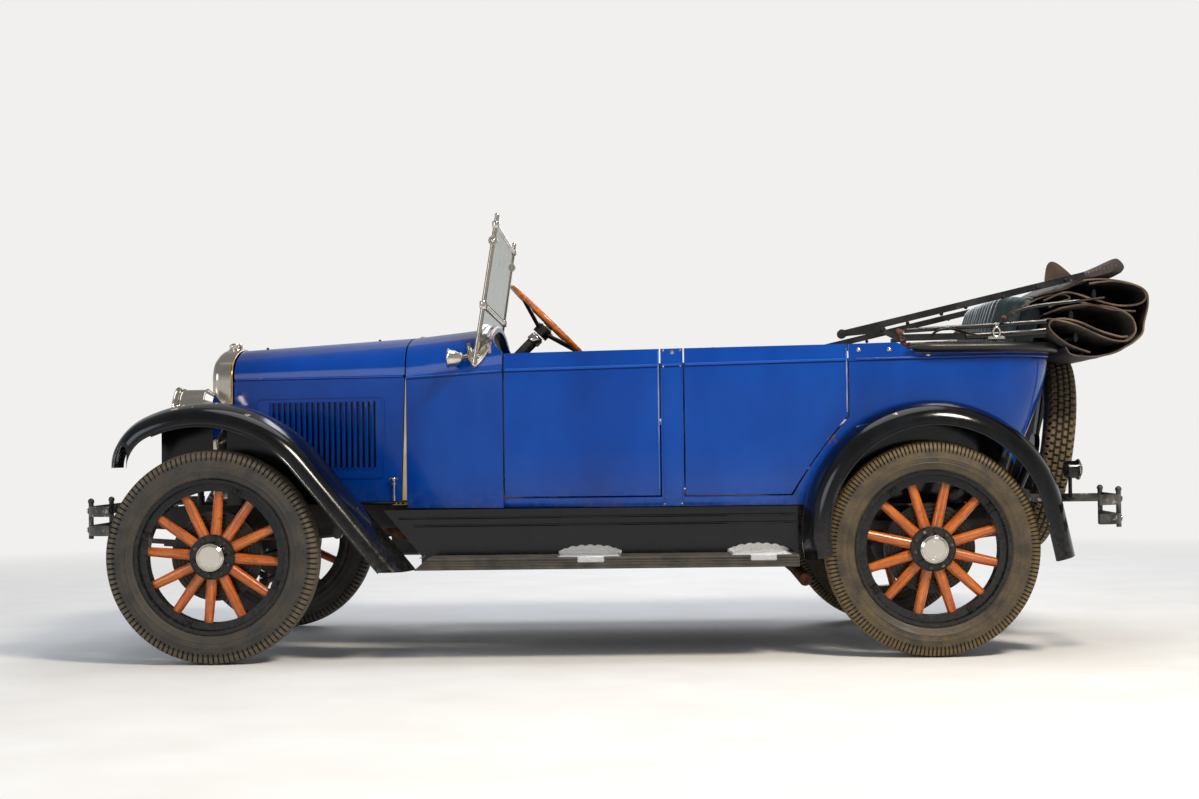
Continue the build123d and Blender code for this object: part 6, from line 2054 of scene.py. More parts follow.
@dataclass
class Cushion:
    """A hide cushion with sewn channels: sides that pull in, rounded edges and a welt round its face."""

    name: str
    origin: tuple[float, float]
    lean: float
    depth: float
    half_width: float
    height: float
    face: str
    channels: int
    puff: float = 9.0
    rounding: float = 42.0
    crown: float = 14.0
    wrap: float = 0.0
    per_channel: int = 6

    def profile(self) -> list[tuple[float, float]]:
        """Rounded outline in the side view, as (depth, height) in mm."""
        r = self.rounding
        corners = ((r, r, 180), (self.depth - r, r, 270), (self.depth - r, self.height - r, 0), (r, self.height - r,
                                                                                                 90))
        points = []
        for cx, cz, start in corners:
            for step in range(7):
                turn = math.radians(start + 15 * step)
                points.append((cx + r * math.cos(turn), cz + r * math.sin(turn)))
        filled = []
        for here, after in zip(points, points[1:] + points[:1]):
            filled.append(here)
            gap = math.dist(here, after)
            extra = int(gap / 32)
            for k in range(1, extra + 1):
                t = k / (extra + 1)
                filled.append((here[0] + (after[0] - here[0]) * t, here[1] + (after[1] - here[1]) * t))
        return filled

    def faced(self, x: float, z: float) -> float:
        """Share of a profile point that lies on the sewn face."""
        if self.face == "front":
            return min(max(1.0 - x / self.rounding, 0.0), 1.0) * min(max((z - 20) / 60, 0.0), 1.0)
        return min(max((z - self.height + self.rounding) / self.rounding, 0.0), 1.0)

    def place(self, x: float, across: float, z: float) -> Vector:
        """Point of the cushion's own drawing in the model."""
        lean = math.radians(self.lean)
        return at(self.origin[0] + math.cos(lean) * x + math.sin(lean) * z, across,
                  self.origin[1] - math.sin(lean) * x + math.cos(lean) * z)

    def build(self) -> Piece:
        """Makes, stuffs and welts the cushion."""
        profile = self.profile()
        count = self.channels * self.per_channel
        cx, cz = self.depth / 2, self.height / 2
        shape = Shape()
        rows, pinned = [], []
        total = count + 9
        for j in range(total):
            if j < 4:
                share, inset = 0.0, (1 - math.sin(math.pi / 2 * (j + 1) / 5))
            elif j >= total - 4:
                share, inset = 1.0, (1 - math.sin(math.pi / 2 * (total - j) / 5))
            else:
                share, inset = (j - 4) / count, 0.0
            across = (share * 2 - 1) * (self.half_width - self.rounding * 0.5)
            edge = self.rounding * 0.5 * (1 - inset)
            if j < 4:
                across -= edge
            elif j >= total - 4:
                across += edge
            phase = (share * self.channels) % 1.0
            bulge = math.sin(math.pi * phase) ** 0.55 if 4 <= j < total - 4 else 0.0
            sag = math.sin(math.pi * share)
            row = []
            for index, (x, z) in enumerate(profile):
                faced = self.faced(x, z)
                shrink = 1 - inset * 0.5 * min(self.rounding / min(cx, cz), 1.0)
                px, pz = cx + (x - cx) * shrink, cz + (z - cz) * shrink
                lift = faced * (self.puff * (bulge - 0.75) + self.crown * (sag ** 0.5 - 1))
                wave = noise.noise(Vector((across * 0.008, x * 0.01 + 7, z * 0.01))) * 3.0 * faced
                px += self.wrap * max(0.0, (abs(share * 2 - 1) - 0.7) / 0.3) ** 2
                if self.face == "front":
                    px -= lift + wave
                else:
                    pz += lift + wave
                row.append(self.place(px, across, pz))
                seam = 4 <= j < total - 4 and (j - 4) % self.per_channel == 0 and faced > 0.2
                if seam or faced < 0.12 or j in (0, total - 1):
                    pinned.append(j * len(profile) + index)
            rows.append(row)
        shape.grid(rows, closed_rows=True, caps=True)
        piece = shape.piece(self.name, HIDE)
        settle_cloth(piece, pinned, 4.0, 14.0)
        self.welt(piece, len(profile), total)
        refine = piece.modifiers.new("finer", "SUBSURF")
        refine.levels = refine.render_levels = 1
        apply_modifiers(piece)
        return finish_piece(piece, "chassis")

    def welt(self, piece: Piece, width: int, total: int) -> None:
        """Piping where the face meets each end."""
        shape = Shape()
        for j in (4, total - 5):
            ring = [piece.data.vertices[j * width + k].co.copy() for k in range(width)]
            middle = sum(ring, Vector()) / width
            path = [p + (p - middle).normalized() * (1.5 * MM) for p in ring]
            shape.tube(path, 3.6, 8, (0, 1, 0), closed=True)
        shape.fit(f"{self.name}_welt", HIDE, "leather")


def apply_modifiers(piece: Piece) -> None:
    """Replaces a piece's mesh by what its modifiers make of it."""
    graph = bpy.context.evaluated_depsgraph_get()
    made = bpy.data.meshes.new_from_object(piece.evaluated_get(graph))
    piece.modifiers.clear()
    piece.data = made
    piece.data.shade_smooth()


@dataclass
class Upholstery:
    """Front and rear benches in place of the plain solids."""

    floor: float = 562.0
    cushions: tuple[Cushion, ...] = (
        Cushion("front_seat_cushion", (1203.0, 716.0), 0.0, 440.0, 531.0, 140.0, "top", 13),
        Cushion("front_seat_back", (1668.0, 722.0), 12.0, 104.0, 531.0, 404.0, "front", 14),
        Cushion("rear_seat_cushion", (2243.0, 700.0), 0.0, 445.0, 531.0, 146.0, "top", 13),
        Cushion("rear_seat_back", (2676.0, 702.0), 17.0, 96.0, 466.0, 636.0, "front", 15, crown=12.0, wrap=62.0),
    )

    def build(self) -> None:
        """Makes the cushions and their boxes."""
        pieces = [cushion.build() for cushion in self.cushions]
        for name, front, rear, low, high in (("front", 1215.0, 1640.0, self.floor, 722.0),
                                             ("rear", 2255.0, 2770.0, 667.0, 706.0)):
            shape = Shape()
            shape.block(at((front + rear) / 2, 0, (low + high) / 2), (rear - front, 1040, high - low), None, 8.0)
            for k in range(9):
                shape.dome(at(front - 0.3, -480 + 120 * k, high - 24), (-1, 0, 0), 5.0, 3.0)
            box = shape.fit(f"{name}_seat_box", CARPET, "leather")
            pieces.append(box)
        for piece in pieces:
            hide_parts("seats")


@dataclass
class Fold:
    """One sheet of the folded top: its line in the side view, carried across the car."""

    name: str
    route: tuple[tuple[float, float], ...]
    finish: Finish
    half_width: float = 572.0
    thickness: float = 3.4
    slack: float = 7.0
    seed: float = 0.0
    closed: bool = False
    rows: int = 34

    def spot(self, path: Sequence[Vector], index: int, share: float, layer: float) -> Vector:
        """Point of the sheet.

        Args:
            path: the line in the side view, as (station, 0, height) in mm.
            index: place along it.
            share: place across the car, from -1 to 1.
            layer: offset from the middle of the sheet, in mm.

        Returns:
            The point in the model.
        """
        count = len(path)
        before = path[(index - 1) % count if self.closed else max(index - 1, 0)]
        after = path[(index + 1) % count if self.closed else min(index + 1, count - 1)]
        along = (after - before).normalized()
        square = Vector((along.z, 0, -along.x))
        here = path[index]
        key = Vector((here.x * 0.006 + self.seed, share * 2.6, here.z * 0.006))
        wave = noise.noise(key) * self.slack + noise.noise(key * 3.1) * self.slack * 0.45
        crease = noise.noise(Vector((here.x * 0.03, share * 1.2 + self.seed, here.z * 0.03))) * 2.4
        ease = 0.35 + 0.65 * (1 - abs(share) ** 6)
        place = here + square * (layer + (wave + crease) * ease)
        sag = (1 - share ** 2) * self.slack * 0.6
        pull = self.half_width * share + noise.noise(Vector((here.x * 0.012, self.seed * 3,
                                                             here.z * 0.012))) * 5 * share
        return at(place.x, pull, place.z - sag)

    def build(self) -> Piece:
        """Makes the sheet with its bound edges."""
        path = smooth_path([(x, 0, z) for x, z in self.route], 7, self.closed)
        half = self.thickness / 2
        shares = [math.sin(math.pi / 2 * (2 * k / self.rows - 1)) for k in range(self.rows + 1)]
        shape = Shape()
        count = len(path)
        if self.closed:
            rows = [[self.spot(path, i, share, half) for i in range(count)] for share in shares]
            rows += [[self.spot(path, i, share, -half) for i in range(count)] for share in reversed(shares)]
            shape.grid(rows, closed_rows=True, closed_columns=True)
        else:
            order = [(i, half) for i in range(count)] + [(i, -half) for i in reversed(range(count))]
            shape.grid([[self.spot(path, i, share, layer) for i, layer in order] for share in shares],
                       closed_rows=True)
            for first in (0, (len(shares) - 1) * 2 * count):
                shape.faces.extend([first + i, first + i + 1, first + 2 * count - 2 - i, first + 2 * count - 1 - i]
                                   for i in range(count - 1))
        piece = shape.piece(self.name, self.finish)
        length = sum((b - a).length for a, b in zip(path, path[1:])) * MM
        binding = Shape()
        for share in (-1.0, 1.0):
            edge = [self.spot(path, i, share, 0.0) for i in range(count)]
            binding.tube(edge, 3.4, 8, (0, 1, 0), closed=self.closed)
        binding.fit(f"{self.name}_binding", BINDING, "top_cloth")
        return finish_piece(piece, "chassis")


@dataclass
class FoldedTop:
    """The top, folded back on its irons over the rear of the body."""

    iron_y: float = 592.0
    roll_section: tuple[float, float] = (27.0, 19.0)
    folds: tuple[Fold, ...] = field(default_factory=lambda: (
        Fold("upper_fold", ((2985, 1262), (3068, 1292), (3155, 1268), (3239, 1243), (3316, 1243), (3353, 1266),
                            (3340, 1299), (3297, 1322), (3214, 1338), (3130, 1333), (3068, 1306), (2985, 1286)),
             TOP_CLOTH, seed=1.3),
        Fold("middle_fold", ((2985, 1195), (3020, 1194), (3089, 1177), (3164, 1143), (3224, 1117), (3280, 1112),
                             (3314, 1141), (3312, 1178), (3290, 1210), (3230, 1236), (3130, 1246), (3047, 1232),
                             (2985, 1212)), CLOTH_LINING, seed=4.1),
        Fold("lower_fold", ((3285, 1128), (3247, 1131), (3172, 1157), (3114, 1184), (3056, 1197), (3014, 1190),
                            (3004, 1166), (3028, 1136), (3068, 1106), (3106, 1088), (3150, 1073)), CLOTH_LINING,
             seed=7.7),
        Fold("outer_cover", ((3150, 1322), (3230, 1330), (3300, 1318), (3352, 1290), (3360, 1240), (3346, 1182),
                             (3338, 1140), (3312, 1112), (3280, 1092), (3247, 1074), (3189, 1060), (3130, 1058),
                             (3080, 1068), (3062, 1092)), TOP_CLOTH, seed=10.2, half_width=574.0),
        Fold("front_bundle", ((2925, 1250), (2960, 1268), (3010, 1282), (3062, 1284), (3080, 1270), (3040, 1256),
                              (2990, 1246), (2950, 1240)), CLOTH_LINING, seed=16.5, half_width=562.0, closed=True),
        Fold("rear_curtain", ((3005, 1240), (3060, 1262), (3130, 1255), (3200, 1236), (3262, 1226), (3318, 1222)),
             TOP_CLOTH, seed=13.9, half_width=566.0),
    ))

    def build(self) -> None:
        """Makes the folds, header, rail roll and ironwork."""
        pieces = [fold.build() for fold in self.folds]
        pieces.append(self.header())
        pieces.append(self.rail_roll())
        pieces.append(self.corner(Side.LEFT))
        pieces.extend(self.bows())
        for side in Side:
            self.irons(side)
            self.leather(side)
        for piece in pieces:
            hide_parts("top_cloth")

    def header(self) -> Piece:
        """Front bow, wrapped in the turned end of the cloth."""
        outline = smooth_path([(x, 0, z) for x, z in ((3114, 1322), (3112, 1346), (3150, 1370), (3197, 1392),
                                                      (3258, 1416), (3284, 1392), (3274, 1362), (3197, 1340))], 6, True)
        rows = []
        for k in range(41):
            share = 2 * k / 40 - 1
            ends = 1 - max(0.0, (abs(share) - 0.97) / 0.03) * 0.5
            middle = Vector((3196, 0, 1368))
            row = []
            for index, point in enumerate(outline):
                key = Vector((index * 0.22, share * 3.4, 2.0))
                place = middle + (point - middle) * ends * (1 + noise.noise(key) * 0.10)
                row.append(at(place.x, share * 570, place.z - (1 - share ** 2) * 6))
            rows.append(row)
        shape = Shape()
        shape.grid(rows, closed_rows=True, caps=True)
        piece = shape.piece("header_wrap", TOP_CLOTH)
        stitch = Shape()
        for side in Side:
            for k in range(8):
                spot = side.at(3150 + k * 14, 570.5, 1362 + k * 3.6)
                stitch.dome(spot, side.out, 2.2, 1.2)
        stitch.fit("header_tacks", BRASS, "nickel")
        return finish_piece(piece, "chassis")

    def rail_roll(self) -> Piece:
        """Padded roll tacked along the body's rear rim."""
        skin = Skin("body_tub")
        left = [skin.side(Side.LEFT, station, 1064.0)[0] for station in range(2478, 2801, 18)]
        spots = left + [place for place, _ in skin.round_back(1064.0, 340, 40)]
        spots += [Vector((p.x, -p.y, p.z)) for p in reversed(left)]
        shape = Shape()
        rows = []
        count = len(spots)
        wide, high = self.roll_section
        for i, point in enumerate(spots):
            along = (spots[min(i + 1, count - 1)] - spots[max(i - 1, 0)]).normalized()
            inward = Vector((0, 0, 1)).cross(along)
            taper = min(1.0, 0.15 + min(i, count - 1 - i) / 5)
            lump = 1 + noise.noise(point * 14.0) * 0.06
            middle = point + inward * (-18 * MM) + raised(1096 - 1064)
            ring = [(wide * c * taper * lump, high * s * taper * lump) for c, s in circle(1.0, 16)]
            rows.append([middle + inward * (a * MM) + raised(b) for a, b in ring])
        shape.grid(rows, closed_rows=True, caps=True)
        piece = shape.piece("rear_rail_roll", BLACK_HIDE)
        welt = Shape()
        path = [p + raised(14) + (p - at(2700, 0, 1064)).normalized() * (4 * MM) for p in spots[2:-2]]
        welt.tube(path, 2.4, 8)
        welt.fit("rail_roll_welt", BINDING, "top_cloth")
        return finish_piece(piece, "chassis")

    def bows(self) -> list[Piece]:
        """Black bows that the folds hang on, deep inside their ends."""
        made = []
        for number, (station, height) in enumerate(((3105.0, 1214.0), (3190.0, 1292.0), (3120.0, 1132.0)), 1):
            shape = Shape()
            path = [at(station, across, height + 8 * (1 - (across / 480) ** 2)) for across in range(-480, 481, 80)]
            section = round_bar(15, 34, 12)
            shape.sweep(path, lambda _, s=section: s)
            made.append(shape.fit(f"top_bow_{number}", IRON_BLACK, "chassis_paint"))
        return made

    def corner(self, side: Side) -> Piece:
        """Turned-up corner of the rear curtain that stands above the irons."""
        across = side.value * 556.0
        outline = smooth_path([(x, 0, z) for x, z in ((2998, 1318), (3000, 1372), (3010, 1400), (3030, 1404),
                                                      (3062, 1384), (3098, 1350), (3110, 1330), (3050, 1326))], 5, True)
        rows = [[at(p.x, across + side.value * (layer - math.sin((p.z - 1318) * 0.03) * 10), p.z) for p in outline]
                for layer in (-2.0, 2.0)]
        shape = Shape()
        shape.grid(rows, closed_rows=True, caps=True)
        piece = shape.piece(f"curtain_corner_{side.word}", CLOTH_LINING)
        return finish_piece(piece, "chassis")

    def bar(self, shape: Shape, side: Side, route: Sequence[tuple[float, float]], shift: float, width: float,
            height: float, per_span: int = 6) -> None:
        """One oval bar in the side view, at a distance outside the irons' plane."""
        path = smooth_path([side.at(x, self.iron_y + shift, z) for x, z in route], per_span)
        section = round_bar(width, height, 12)
        shape.sweep(path, lambda _: section, (0, 1, 0))

    def irons(self, side: Side) -> None:
        """Second stick, sockets, knuckles and bolts of one side."""
        shape = Shape()
        self.bar(shape, side, ((2479, 1159), (2640, 1168), (2803, 1175), (2992, 1186)), -9.0, 17, 8)
        self.bar(shape, side, ((2836, 1200), (2894, 1228), (2969, 1244), (3110, 1258)), 8.0, 13, 8)
        self.bar(shape, side, ((2700, 1134), (2836, 1140), (2985, 1150)), 12.0, 22, 9)
        for x in (2397, 2490, 2612, 2700, 2836, 2960, 3060):
            self.rivet(shape, side, x, 1162 + (x - 2397) * 0.258, 7.0)
        shape.fit(f"top_sticks_{side.word}", IRON_BLACK, "chassis_paint")
        casting = Shape()
        for x, z, radius in ((2463, 1152, 12), (2475, 1124, 10), (2494, 1108, 9), (2836, 1201, 9), (2868, 1216, 10)):
            casting.turned([(0, -8), (radius, -8), (radius, 5), (radius * 0.8, 9), (radius * 0.4, 10), (0, 10)],
                           side.at(x, self.iron_y + 8, z), side.out, 18)
            casting.nut(side.at(x, self.iron_y + 17, z), side.out, 10, 5)
        self.bar(casting, side, ((2452, 1166), (2463, 1140), (2470, 1116), (2494, 1104)), 9.0, 15, 9)
        casting.fit(f"top_knuckles_{side.word}", RUSTED_BRASS, "rust")
        clamp = Shape()
        ring = [side.at(2807 + 12 * c, self.iron_y + 18, 1150 + 17 * s) for c, s in circle(1.0, 24)]
        clamp.tube(ring, 4.0, 8, (0, 1, 0), closed=True)
        clamp.nut(side.at(2807, self.iron_y + 16, 1176), side.out, 17, 8)
        clamp.block(side.at(2807, self.iron_y + 14, 1128), (62, 12, 13), None, 2.5)
        clamp.fit(f"top_clamp_{side.word}", NICKEL, "nickel")

    def rivet(self, shape: Shape, side: Side, x: float, z: float, radius: float) -> None:
        """Domed rivet through the sticks."""
        shape.dome(side.at(x, self.iron_y + 6, z), side.out, radius, 10.0)

    def leather(self, side: Side) -> None:
        """Strap that ties the stack, and the quarter pad over the sockets."""
        shape = Shape()
        route = ((2571, 1138), (2600, 1158), (2645, 1164), (2710, 1146), (2760, 1134), (2796, 1136))
        path = smooth_path([side.at(x, self.iron_y + 3, z) for x, z in route], 6)
        count = len(path)
        shape.sweep(path, lambda i: round_bar(9, 12 + 22 * math.sin(math.pi * i / (count - 1)), 12), (0, 1, 0))
        self.bar(shape, side, ((3095, 1256), (3140, 1262), (3196, 1268)), 9.0, 9, 24)
        shape.fit(f"top_leathers_{side.word}", STRAP_HIDE, "leather")


# Windshield, steering and lamps

@dataclass
class WindshieldTrim:
    """Feet, clamps, pivots and cowl beading of the windshield."""

    foot: tuple[float, float, float] = (922.0, 563.0, 1058.0)
    top: tuple[float, float, float] = (1008.0, 507.0, 1610.0)
    pivot_height: float = 1513.0
    mid_height: float = 1277.0

    def post(self, side: Side, height: float) -> Vector:
        """Point on a post's axis."""
        t = (height - self.foot[2]) / (self.top[2] - self.foot[2])
        return side.at(self.foot[0] + (self.top[0] - self.foot[0]) * t,
                       self.foot[1] + (self.top[1] - self.foot[1]) * t, height)

    def build(self) -> None:
        """Dresses both posts and the panes' edges."""
        for side in Side:
            self.foot_bracket(side)
            shape = Shape()
            pivot = self.post(side, self.pivot_height)
            out = side.out
            for k in range(10):
                turn = FULL_TURN * k / 10
                shape.turned([(0, 0), (4.5, 0), (4.5, 8), (0, 8)],
                             pivot + out * (16 * MM) + Vector((math.cos(turn), 0,
                                                               math.sin(turn))) * (13.5 * MM), out, 8)
            shape.dome(pivot + out * (15 * MM), out, 9, 9)
            mid = self.post(side, self.mid_height)
            shape.turned([(0, -14), (13, -14), (14.5, -10), (14.5, 10), (13, 14), (0, 14)], mid, (0, 0, 1), 18)
            shape.nut(mid + out * (13 * MM), out, 13, 7)
            head = self.post(side, 1574)
            shape.turned([(0, -12), (12, -12), (13.5, -8), (13.5, 8), (12, 12), (0, 12)], head, (0, 0, 1), 18)
            shape.dome(self.post(side, 1608), (0, 0, 1), 9.5, 9)
            shape.fit(f"windshield_fittings_{side.word}", NICKEL, "nickel")
        self.rubbers()
        self.cowl_lip()

    def foot_bracket(self, side: Side) -> None:
        """V-shaped foot on the cowl's side, held by acorn nuts."""
        skin = Skin("cowl")
        shape = Shape()
        for route in (((927, 1058), (916, 1088), (905, 1116)), ((927, 1058), (950, 1082), (978, 1124))):
            lay(shape, skin.trace(side, route, 8.0), bead_profile(19, 12))
        lay(shape, skin.trace(side, ((908, 1108), (938, 1092), (972, 1116)), 8.0), strip_profile(20, 5))
        for x, z in ((927, 1057), (903, 1114), (977, 1124), (941, 1088)):
            spot = skin.side(side, x, z)
            if spot:
                base = spot[0] + spot[1] * (8 * MM)
                shape.turned([(0, -4), (8, -4), (8, 2), (6.5, 4), (6.5, 7), (4.5, 10), (0, 11.5)], base, spot[1], 14)
        shape.fit(f"windshield_foot_{side.word}", NICKEL, "nickel")

    def rubbers(self) -> None:
        """Rubber strips under the upper pane and where the lower pane meets the cowl."""
        shape = Shape()
        for height, radius in ((self.mid_height + 11.0, 3.5), (self.mid_height - 11.0, 3.5)):
            ends = [self.post(side, height) for side in Side]
            inner = [ends[0].lerp(ends[1], 0.03), ends[0].lerp(ends[1], 0.97)]
            shape.tube(inner, radius, 8)
        shape.fit("windshield_rubbers", BLACK_RUBBER, "rubber_mat")

    def cowl_lip(self) -> None:
        """Tan hide welt along the cowl's rear lip."""
        ways = [Vector((0, math.sin(turn), math.cos(turn))) for turn in map(math.radians, range(-62, 63, 4))]
        shape = Shape()
        lay(shape, Skin("cowl").hits((at(978, 0, 800) + way * 0.9, -way) for way in ways), bead_profile(13, 7))
        shape.fit("cowl_welt", TAN_HIDE, "leather")


@dataclass
class SteeringTrim:
    """Levers and horn button above the steering wheel, the wheel's screws, and the column's collars."""

    hub: tuple[float, float, float] = (1190.0, -310.0, 1220.0)
    angle: float = 45.0
    dish: float = 42.0

    @property
    def low(self) -> Vector:
        """Middle of the wheel's dished hub."""
        return at(*self.hub) - self.axis * (self.dish * MM)

    @property
    def axis(self) -> Vector:
        """Direction up the column."""
        turn = math.radians(self.angle)
        return Vector((math.cos(turn), 0, math.sin(turn)))

    def build(self) -> None:
        """Builds the levers on the column and the screws on the wheel."""
        low = self.low
        across = Vector((0, 1, 0))
        rise = self.axis.cross(across)
        shape = Shape()
        for k in range(4):
            turn = FULL_TURN * (k + 0.5) / 4
            way = across * math.cos(turn) + rise * math.sin(turn)
            for reach in (48, 170):
                shape.dome(low + way * (reach * MM) + self.axis * ((6 + reach * 0.23) * MM), self.axis, 4.0, 2.4)
        shape.turned([(0, 0), (24, 0), (26, 3), (22, 8), (10, 11), (0, 12)], low + self.axis * (18 * MM), self.axis, 24)
        shape.fit("steering_screws", AGED_NICKEL, "nickel", "steering")
        column = Shape()
        below = low - self.axis * (26 * MM)
        column.turned([(0, -30), (25, -30), (27, -26), (27, -6), (25, -2), (0, -2)], below, self.axis, 24)
        column.turned([(0, 0), (25, 0), (27, 4), (27, 20), (25, 24), (0, 24)], below - self.axis * (330 * MM),
                      self.axis, 24)
        for sign in (-1, 1):
            path = [below - self.axis * (14 * MM), below + across * (sign * 60 * MM) - self.axis * (6 * MM),
                    below + across * (sign * 118 * MM) - self.axis * (2 * MM)]
            column.tube(smooth_path(path, 4), 3.2, 8, self.axis)
            column.dome(path[-1], self.axis, 8, 8)
        column.fit("column_levers", NICKEL, "nickel")


@dataclass
class LampTrim:
    """Bezels, bands, reflectors and wiring conduits of the lamps."""

    head: tuple[float, float, float] = (-206.0, 380.0, 884.0)
    head_radius: float = 108.0
    cowl: tuple[float, float, float] = (824.0, 574.0, 1081.0)
    cowl_radius: float = 33.0
    tail: tuple[float, float, float] = (3092.0, -470.0, 650.0)

    def hoop(self, shape: Shape, centre: Vector, reach: float, radius: float, thick: float, steps: int = 32) -> None:
        """Adds a ring round a lamp.

        Args:
            shape: gathers the mesh.
            centre: middle of the lamp, in metres.
            reach: millimetres behind it.
            radius: radius of the ring, in mm.
            thick: radius of its bar, in mm.
            steps: points on the ring.
        """
        path = [centre + Vector((reach * MM, 0, 0)) + Vector((0, c, s)) * (radius * MM) for c, s in circle(1.0, steps)]
        shape.tube(path, thick, 8, (1, 0, 0), closed=True)

    def build(self) -> None:
        """Dresses the five lamps."""
        shape = Shape()
        reflectors = Shape()
        for side in Side:
            x, y, z = self.head
            r = self.head_radius
            centre = side.at(x, y, z)
            for reach, radius, thick in ((8, r + 0.5, 4.5), (30, r - 5, 3.0), (116, r - 5, 3.0)):
                self.hoop(shape, centre, reach, radius, thick, 40)
            shape.block(centre + Vector((0.012, 0, -(r + 6) * MM)), (20, 14, 12), None, 2.0)
            reflectors.turned([(r - 19, 13), (r - 20, 16.2), (r - 45, 18.5), (16, 19.4), (0, 19.6)], centre, (1, 0, 0),
                              32)
            small = side.at(self.cowl[0], self.cowl[1], self.cowl[2])
            self.hoop(shape, small, 5, self.cowl_radius + 1, 2.8)
            shape.turned([(0, 0), (7, 0), (9, 4), (9, 12), (6, 16), (0, 17)],
                         small + Vector((48 * MM, 0, 6 * MM)), (0.2, 0, 1), 14)
        tail = at(*self.tail)
        self.hoop(shape, tail, 30, 36.5, 2.6)
        shape.fit("lamp_bezels", NICKEL, "nickel")
        reflectors.fit("lamp_reflectors", NICKEL, "nickel")
        red = Shape()
        lens = [(0, 42.5), (26, 42.5), (26, 44), (19, 48), (9, 50.5), (0, 51)]
        red.turned(lens, tail - Vector((0.02, 0, 0)), (1, 0, 0), 28)
        red.fit("tail_lens", RED_GLASS, "glass")
        conduit = Shape()
        for side in Side:
            x, y, z = self.head
            path = smooth_path([side.at(x + 90, y - 40, z - 92), side.at(x + 96, y - 60, z - 150),
                                side.at(x + 120, y - 90, 700), side.at(x + 118, 262, 640),
                                side.at(x + 130, 250, 590)], 6)
            conduit.tube(path, 4.5, 10)
        conduit.fit("lamp_conduits", BRASS, "nickel")


# Cabin and front end

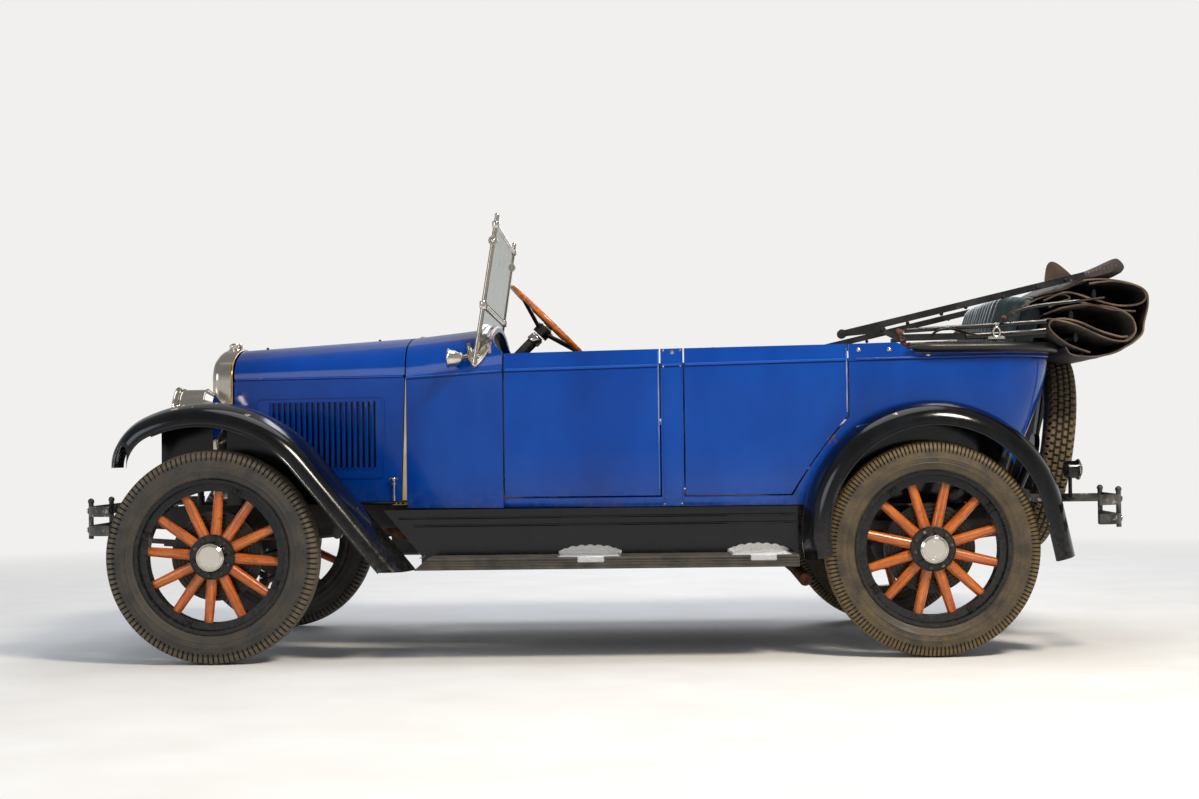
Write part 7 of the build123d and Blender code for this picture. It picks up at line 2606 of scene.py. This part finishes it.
@dataclass
class Cabin:
    """Door cards, dials, pedals and levers of the open cabin."""

    doors: tuple[tuple[str, float, float, float], ...] = (
        ("door_front", 1060.0, 1568.0, 1568.0), ("door_rear", 1712.0, 2030.0, 2238.0))
    levels: tuple[float, ...] = (610.0, 672.0, 733.0, 795.0, 856.0, 872.0, 942.0, 1011.0, 1080.0)
    step_height: float = 860.0
    dials: tuple[tuple[float, float], ...] = ((-300.0, 38.0), (-60.0, 44.0), (60.0, 30.0), (150.0, 30.0))
    pedals: tuple[float, ...] = (-420.0, -330.0, -235.0)
    levers: tuple[tuple[float, float, float], ...] = ((1130.0, -40.0, 300.0), (1090.0, 40.0, 230.0))

    def build(self) -> None:
        """Fits out the cabin."""
        for side in Side:
            for door, front, low_end, high_end in self.doors:
                self.card(f"{door}_{side.word}", side, front, low_end, high_end)
        self.instruments()
        self.controls()
        rail = Shape()
        rail.tube([at(1862, y, 1016) for y in (-400, 0, 400)], 9.0, 14)
        for y in (-400, 0, 400):
            rail.tube([at(1862, y, 1016), at(1826, y, 1010)], 7.0, 10)
            rail.dome(at(1862, y * 1.01, 1016), (0, math.copysign(1, y), 0), 12, 9)
        rail.fit("robe_rail", NICKEL, "nickel")

    def card(self, node: str, side: Side, front: float, low_end: float, high_end: float) -> None:
        """Hide card, pocket and handle on a door's inner face."""
        skin = Skin(node)
        out = side.out
        rows = []
        for height in self.levels:
            end = low_end if height < self.step_height else high_end
            row = []
            for j in range(13):
                found = skin.hit(side.at(front + (end - front) * j / 12, 200, height), out)
                if found:
                    row.append(found[0])
            if len(row) == 13:
                rows.append(row)
        if len(rows) < 4:
            return
        inner = [[p - out * (5 * MM) for p in row] for row in rows]
        shape = Shape()
        loops = [rows[k] + list(reversed(inner[k])) for k in range(len(rows))]
        shape.grid(loops, closed_rows=True, caps=True)
        pocket = [row[2:11] for row in inner[1:5]]
        puffed = [[p - out * ((6 + 5 * math.sin(math.pi * i / 8)) * MM) for i, p in enumerate(row)] for row in pocket]
        shape.grid([a + list(reversed(b)) for a, b in zip(pocket, puffed)], closed_rows=True, caps=True)
        shape.fit(f"{node}_card", HIDE, "leather", node)
        handle = Shape()
        spot = inner[-2][10]
        handle.turned([(0, 0), (14, 0), (14, 3), (6, 5), (6, 16), (0, 16)], spot, -out, 16)
        handle.block(spot - out * (19 * MM) - Vector((0.03, 0, 0)), (80, 7, 14), None, 2.5)
        handle.fit(f"{node}_inside_handle", NICKEL, "nickel", node)

    def instruments(self) -> None:
        """Dials and knobs on the dashboard."""
        low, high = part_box("dashboard")
        skin = Skin("dashboard")
        middle = (low.z + high.z) / 2
        bezels, faces = Shape(), Shape()
        for y, radius in self.dials:
            found = skin.hit(Vector((high.x + 0.3, y * MM, middle)), Vector((-1, 0, 0)))
            if found is None:
                continue
            place, out = found
            bezels.turned([(0, -2), (radius + 5, -2), (radius + 5, 5), (radius + 1, 9), (radius - 2, 7), (0, 6.4)],
                          place, out, 32)
            faces.turned([(0, 6.0), (radius - 3, 6.0), (radius - 3, 7.0), (0, 7.0)], place, out, 28)
            across = out.orthogonal().normalized()
            for k in range(11):
                turn = math.radians(-120 + 24 * k)
                way = Matrix.Rotation(turn, 3, out) @ across
                bezels.tube([place + out * (7.4 * MM) + way * (r * MM) for r in (radius * 0.68, radius * 0.84)], 0.9, 6,
                            out)
            way = Matrix.Rotation(math.radians(-70), 3, out) @ across
            bezels.tube([place + out * (8.4 * MM), place + out * (8.4 * MM) + way * (radius * 0.7 * MM)], 1.1, 6, out)
        for y in (-160.0, 220.0, 262.0):
            found = skin.hit(Vector((high.x + 0.3, y * MM, middle)), Vector((-1, 0, 0)))
            if found:
                bezels.turned([(0, -2), (4, -2), (4, 10), (10, 12), (11, 18), (0, 20)], found[0], found[1], 14)
        bezels.fit("dial_bezels", AGED_NICKEL, "nickel")
        faces.fit("dial_faces", DIAL_FACE, "nickel")

    def controls(self) -> None:
        """Pedals, gear lever and brake lever."""
        skin = Skin("floor")
        shape, knobs = Shape(), Shape()
        back = Vector((0.55, 0, 0.83))
        for y in self.pedals:
            found = skin.hit(at(1040, y, 900), Vector((-0.3, 0, -1)))
            if found:
                base = found[0]
                tip = base + back * (85 * MM)
                shape.tube([base - back * (4 * MM), tip], 6.0, 10)
                turn = Matrix.Rotation(math.radians(-34), 4, "Y")
                shape.block(tip, (58, 62, 12), turn, 5.0)
        for x, y, length in self.levers:
            foot = at(x, y, 560)
            path = smooth_path([foot, foot + Vector((0.01, 0, length * 0.5 * MM)),
                                foot + Vector((0.07, 0, length * MM))], 6)
            shape.tube(path, 7.0, 12, (0, 1, 0))
            shape.turned([(0, -2), (34, -2), (32, 10), (20, 22), (12, 30), (0, 30)], foot, (0, 0, 1), 20)
            knobs.turned([(0, -16), (9, -14), (16, -6), (18, 2), (14, 11), (6, 16), (0, 17)], path[-1],
                         path[-1] - path[-2], 18)
        shape.fit("pedals_and_levers", IRON_BLACK, "chassis_paint")
        knobs.fit("lever_knobs", BLACK_RUBBER, "rubber_mat")


@dataclass
class FrontDress:
    """Radiator's cap ring, blank badge and rear beading, and the bumpers' bolts."""

    bar_heights: tuple[float, float] = (546.0, 478.0)
    posts: tuple[float, ...] = (-640.0, -371.0, 371.0, 640.0)

    def build(self) -> None:
        """Adds the small parts."""
        low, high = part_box("radiator_shell")
        skin = Skin("radiator_shell")
        bright, warm = Shape(), Shape()
        found = skin.hit(Vector((low.x - 0.3, 0, high.z - 0.115)), Vector((1, 0, 0)))
        if found:
            bright.turned([(0, -1), (21, -1), (21, 1.5), (18, 2.5), (16, 1.6), (0, 2.4)], found[0], found[1], 32)
        bright.turned([(0, -3), (30, -3), (31, 0), (30, 4), (26, 6), (0, 6)], at(-62, 0, 1150), (0, 0, 1), 28)
        for k in range(14):
            turn = FULL_TURN * k / 14
            bright.dome(at(-62 + 24 * math.cos(turn), 24 * math.sin(turn), 1166), (math.cos(turn), math.sin(turn), 0),
                        3.6, 3.4)
        ways = [Vector((0, math.sin(turn), math.cos(turn))) for turn in map(math.radians, range(-116, 117, 4))]
        middle = Vector((high.x - 5 * MM, 0, at(0, 0, 820).z))
        lay(warm, skin.hits((middle + way * 0.8, -way) for way in ways), bead_profile(7, 2.5))
        bright.fit("radiator_fittings", NICKEL, "nickel")
        warm.fit("radiator_rear_bead", BRASS, "nickel")
        bolts = Shape()
        rays = [ray for y in self.posts for z in self.bar_heights
                for ray in ((at(-900, y, z), Vector((1, 0, 0))), (at(3700, y, z), Vector((-1, 0, 0))))]
        for place, out in Skin("bumpers").hits(rays):
            bolts.dome(place, out, 11.0, 6.0)
        bolts.fit("bumper_bolts", NICKEL, "nickel")


def main() -> None:
    """Builds the dressed car."""
    logging.basicConfig(level=logging.INFO, format="%(message)s")
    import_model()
    Drawing.read()
    Studio().build()
    dress_frame_nodes()
    build_wheels()
    BodyTrim().build()
    HoodTrim().build()
    FenderTrim().build()
    BoardTrim().build()
    Upholstery().build()
    FoldedTop().build()
    WindshieldTrim().build()
    SteeringTrim().build()
    LampTrim().build()
    Cabin().build()
    FrontDress().build()


if __name__ == "__main__":
    main()
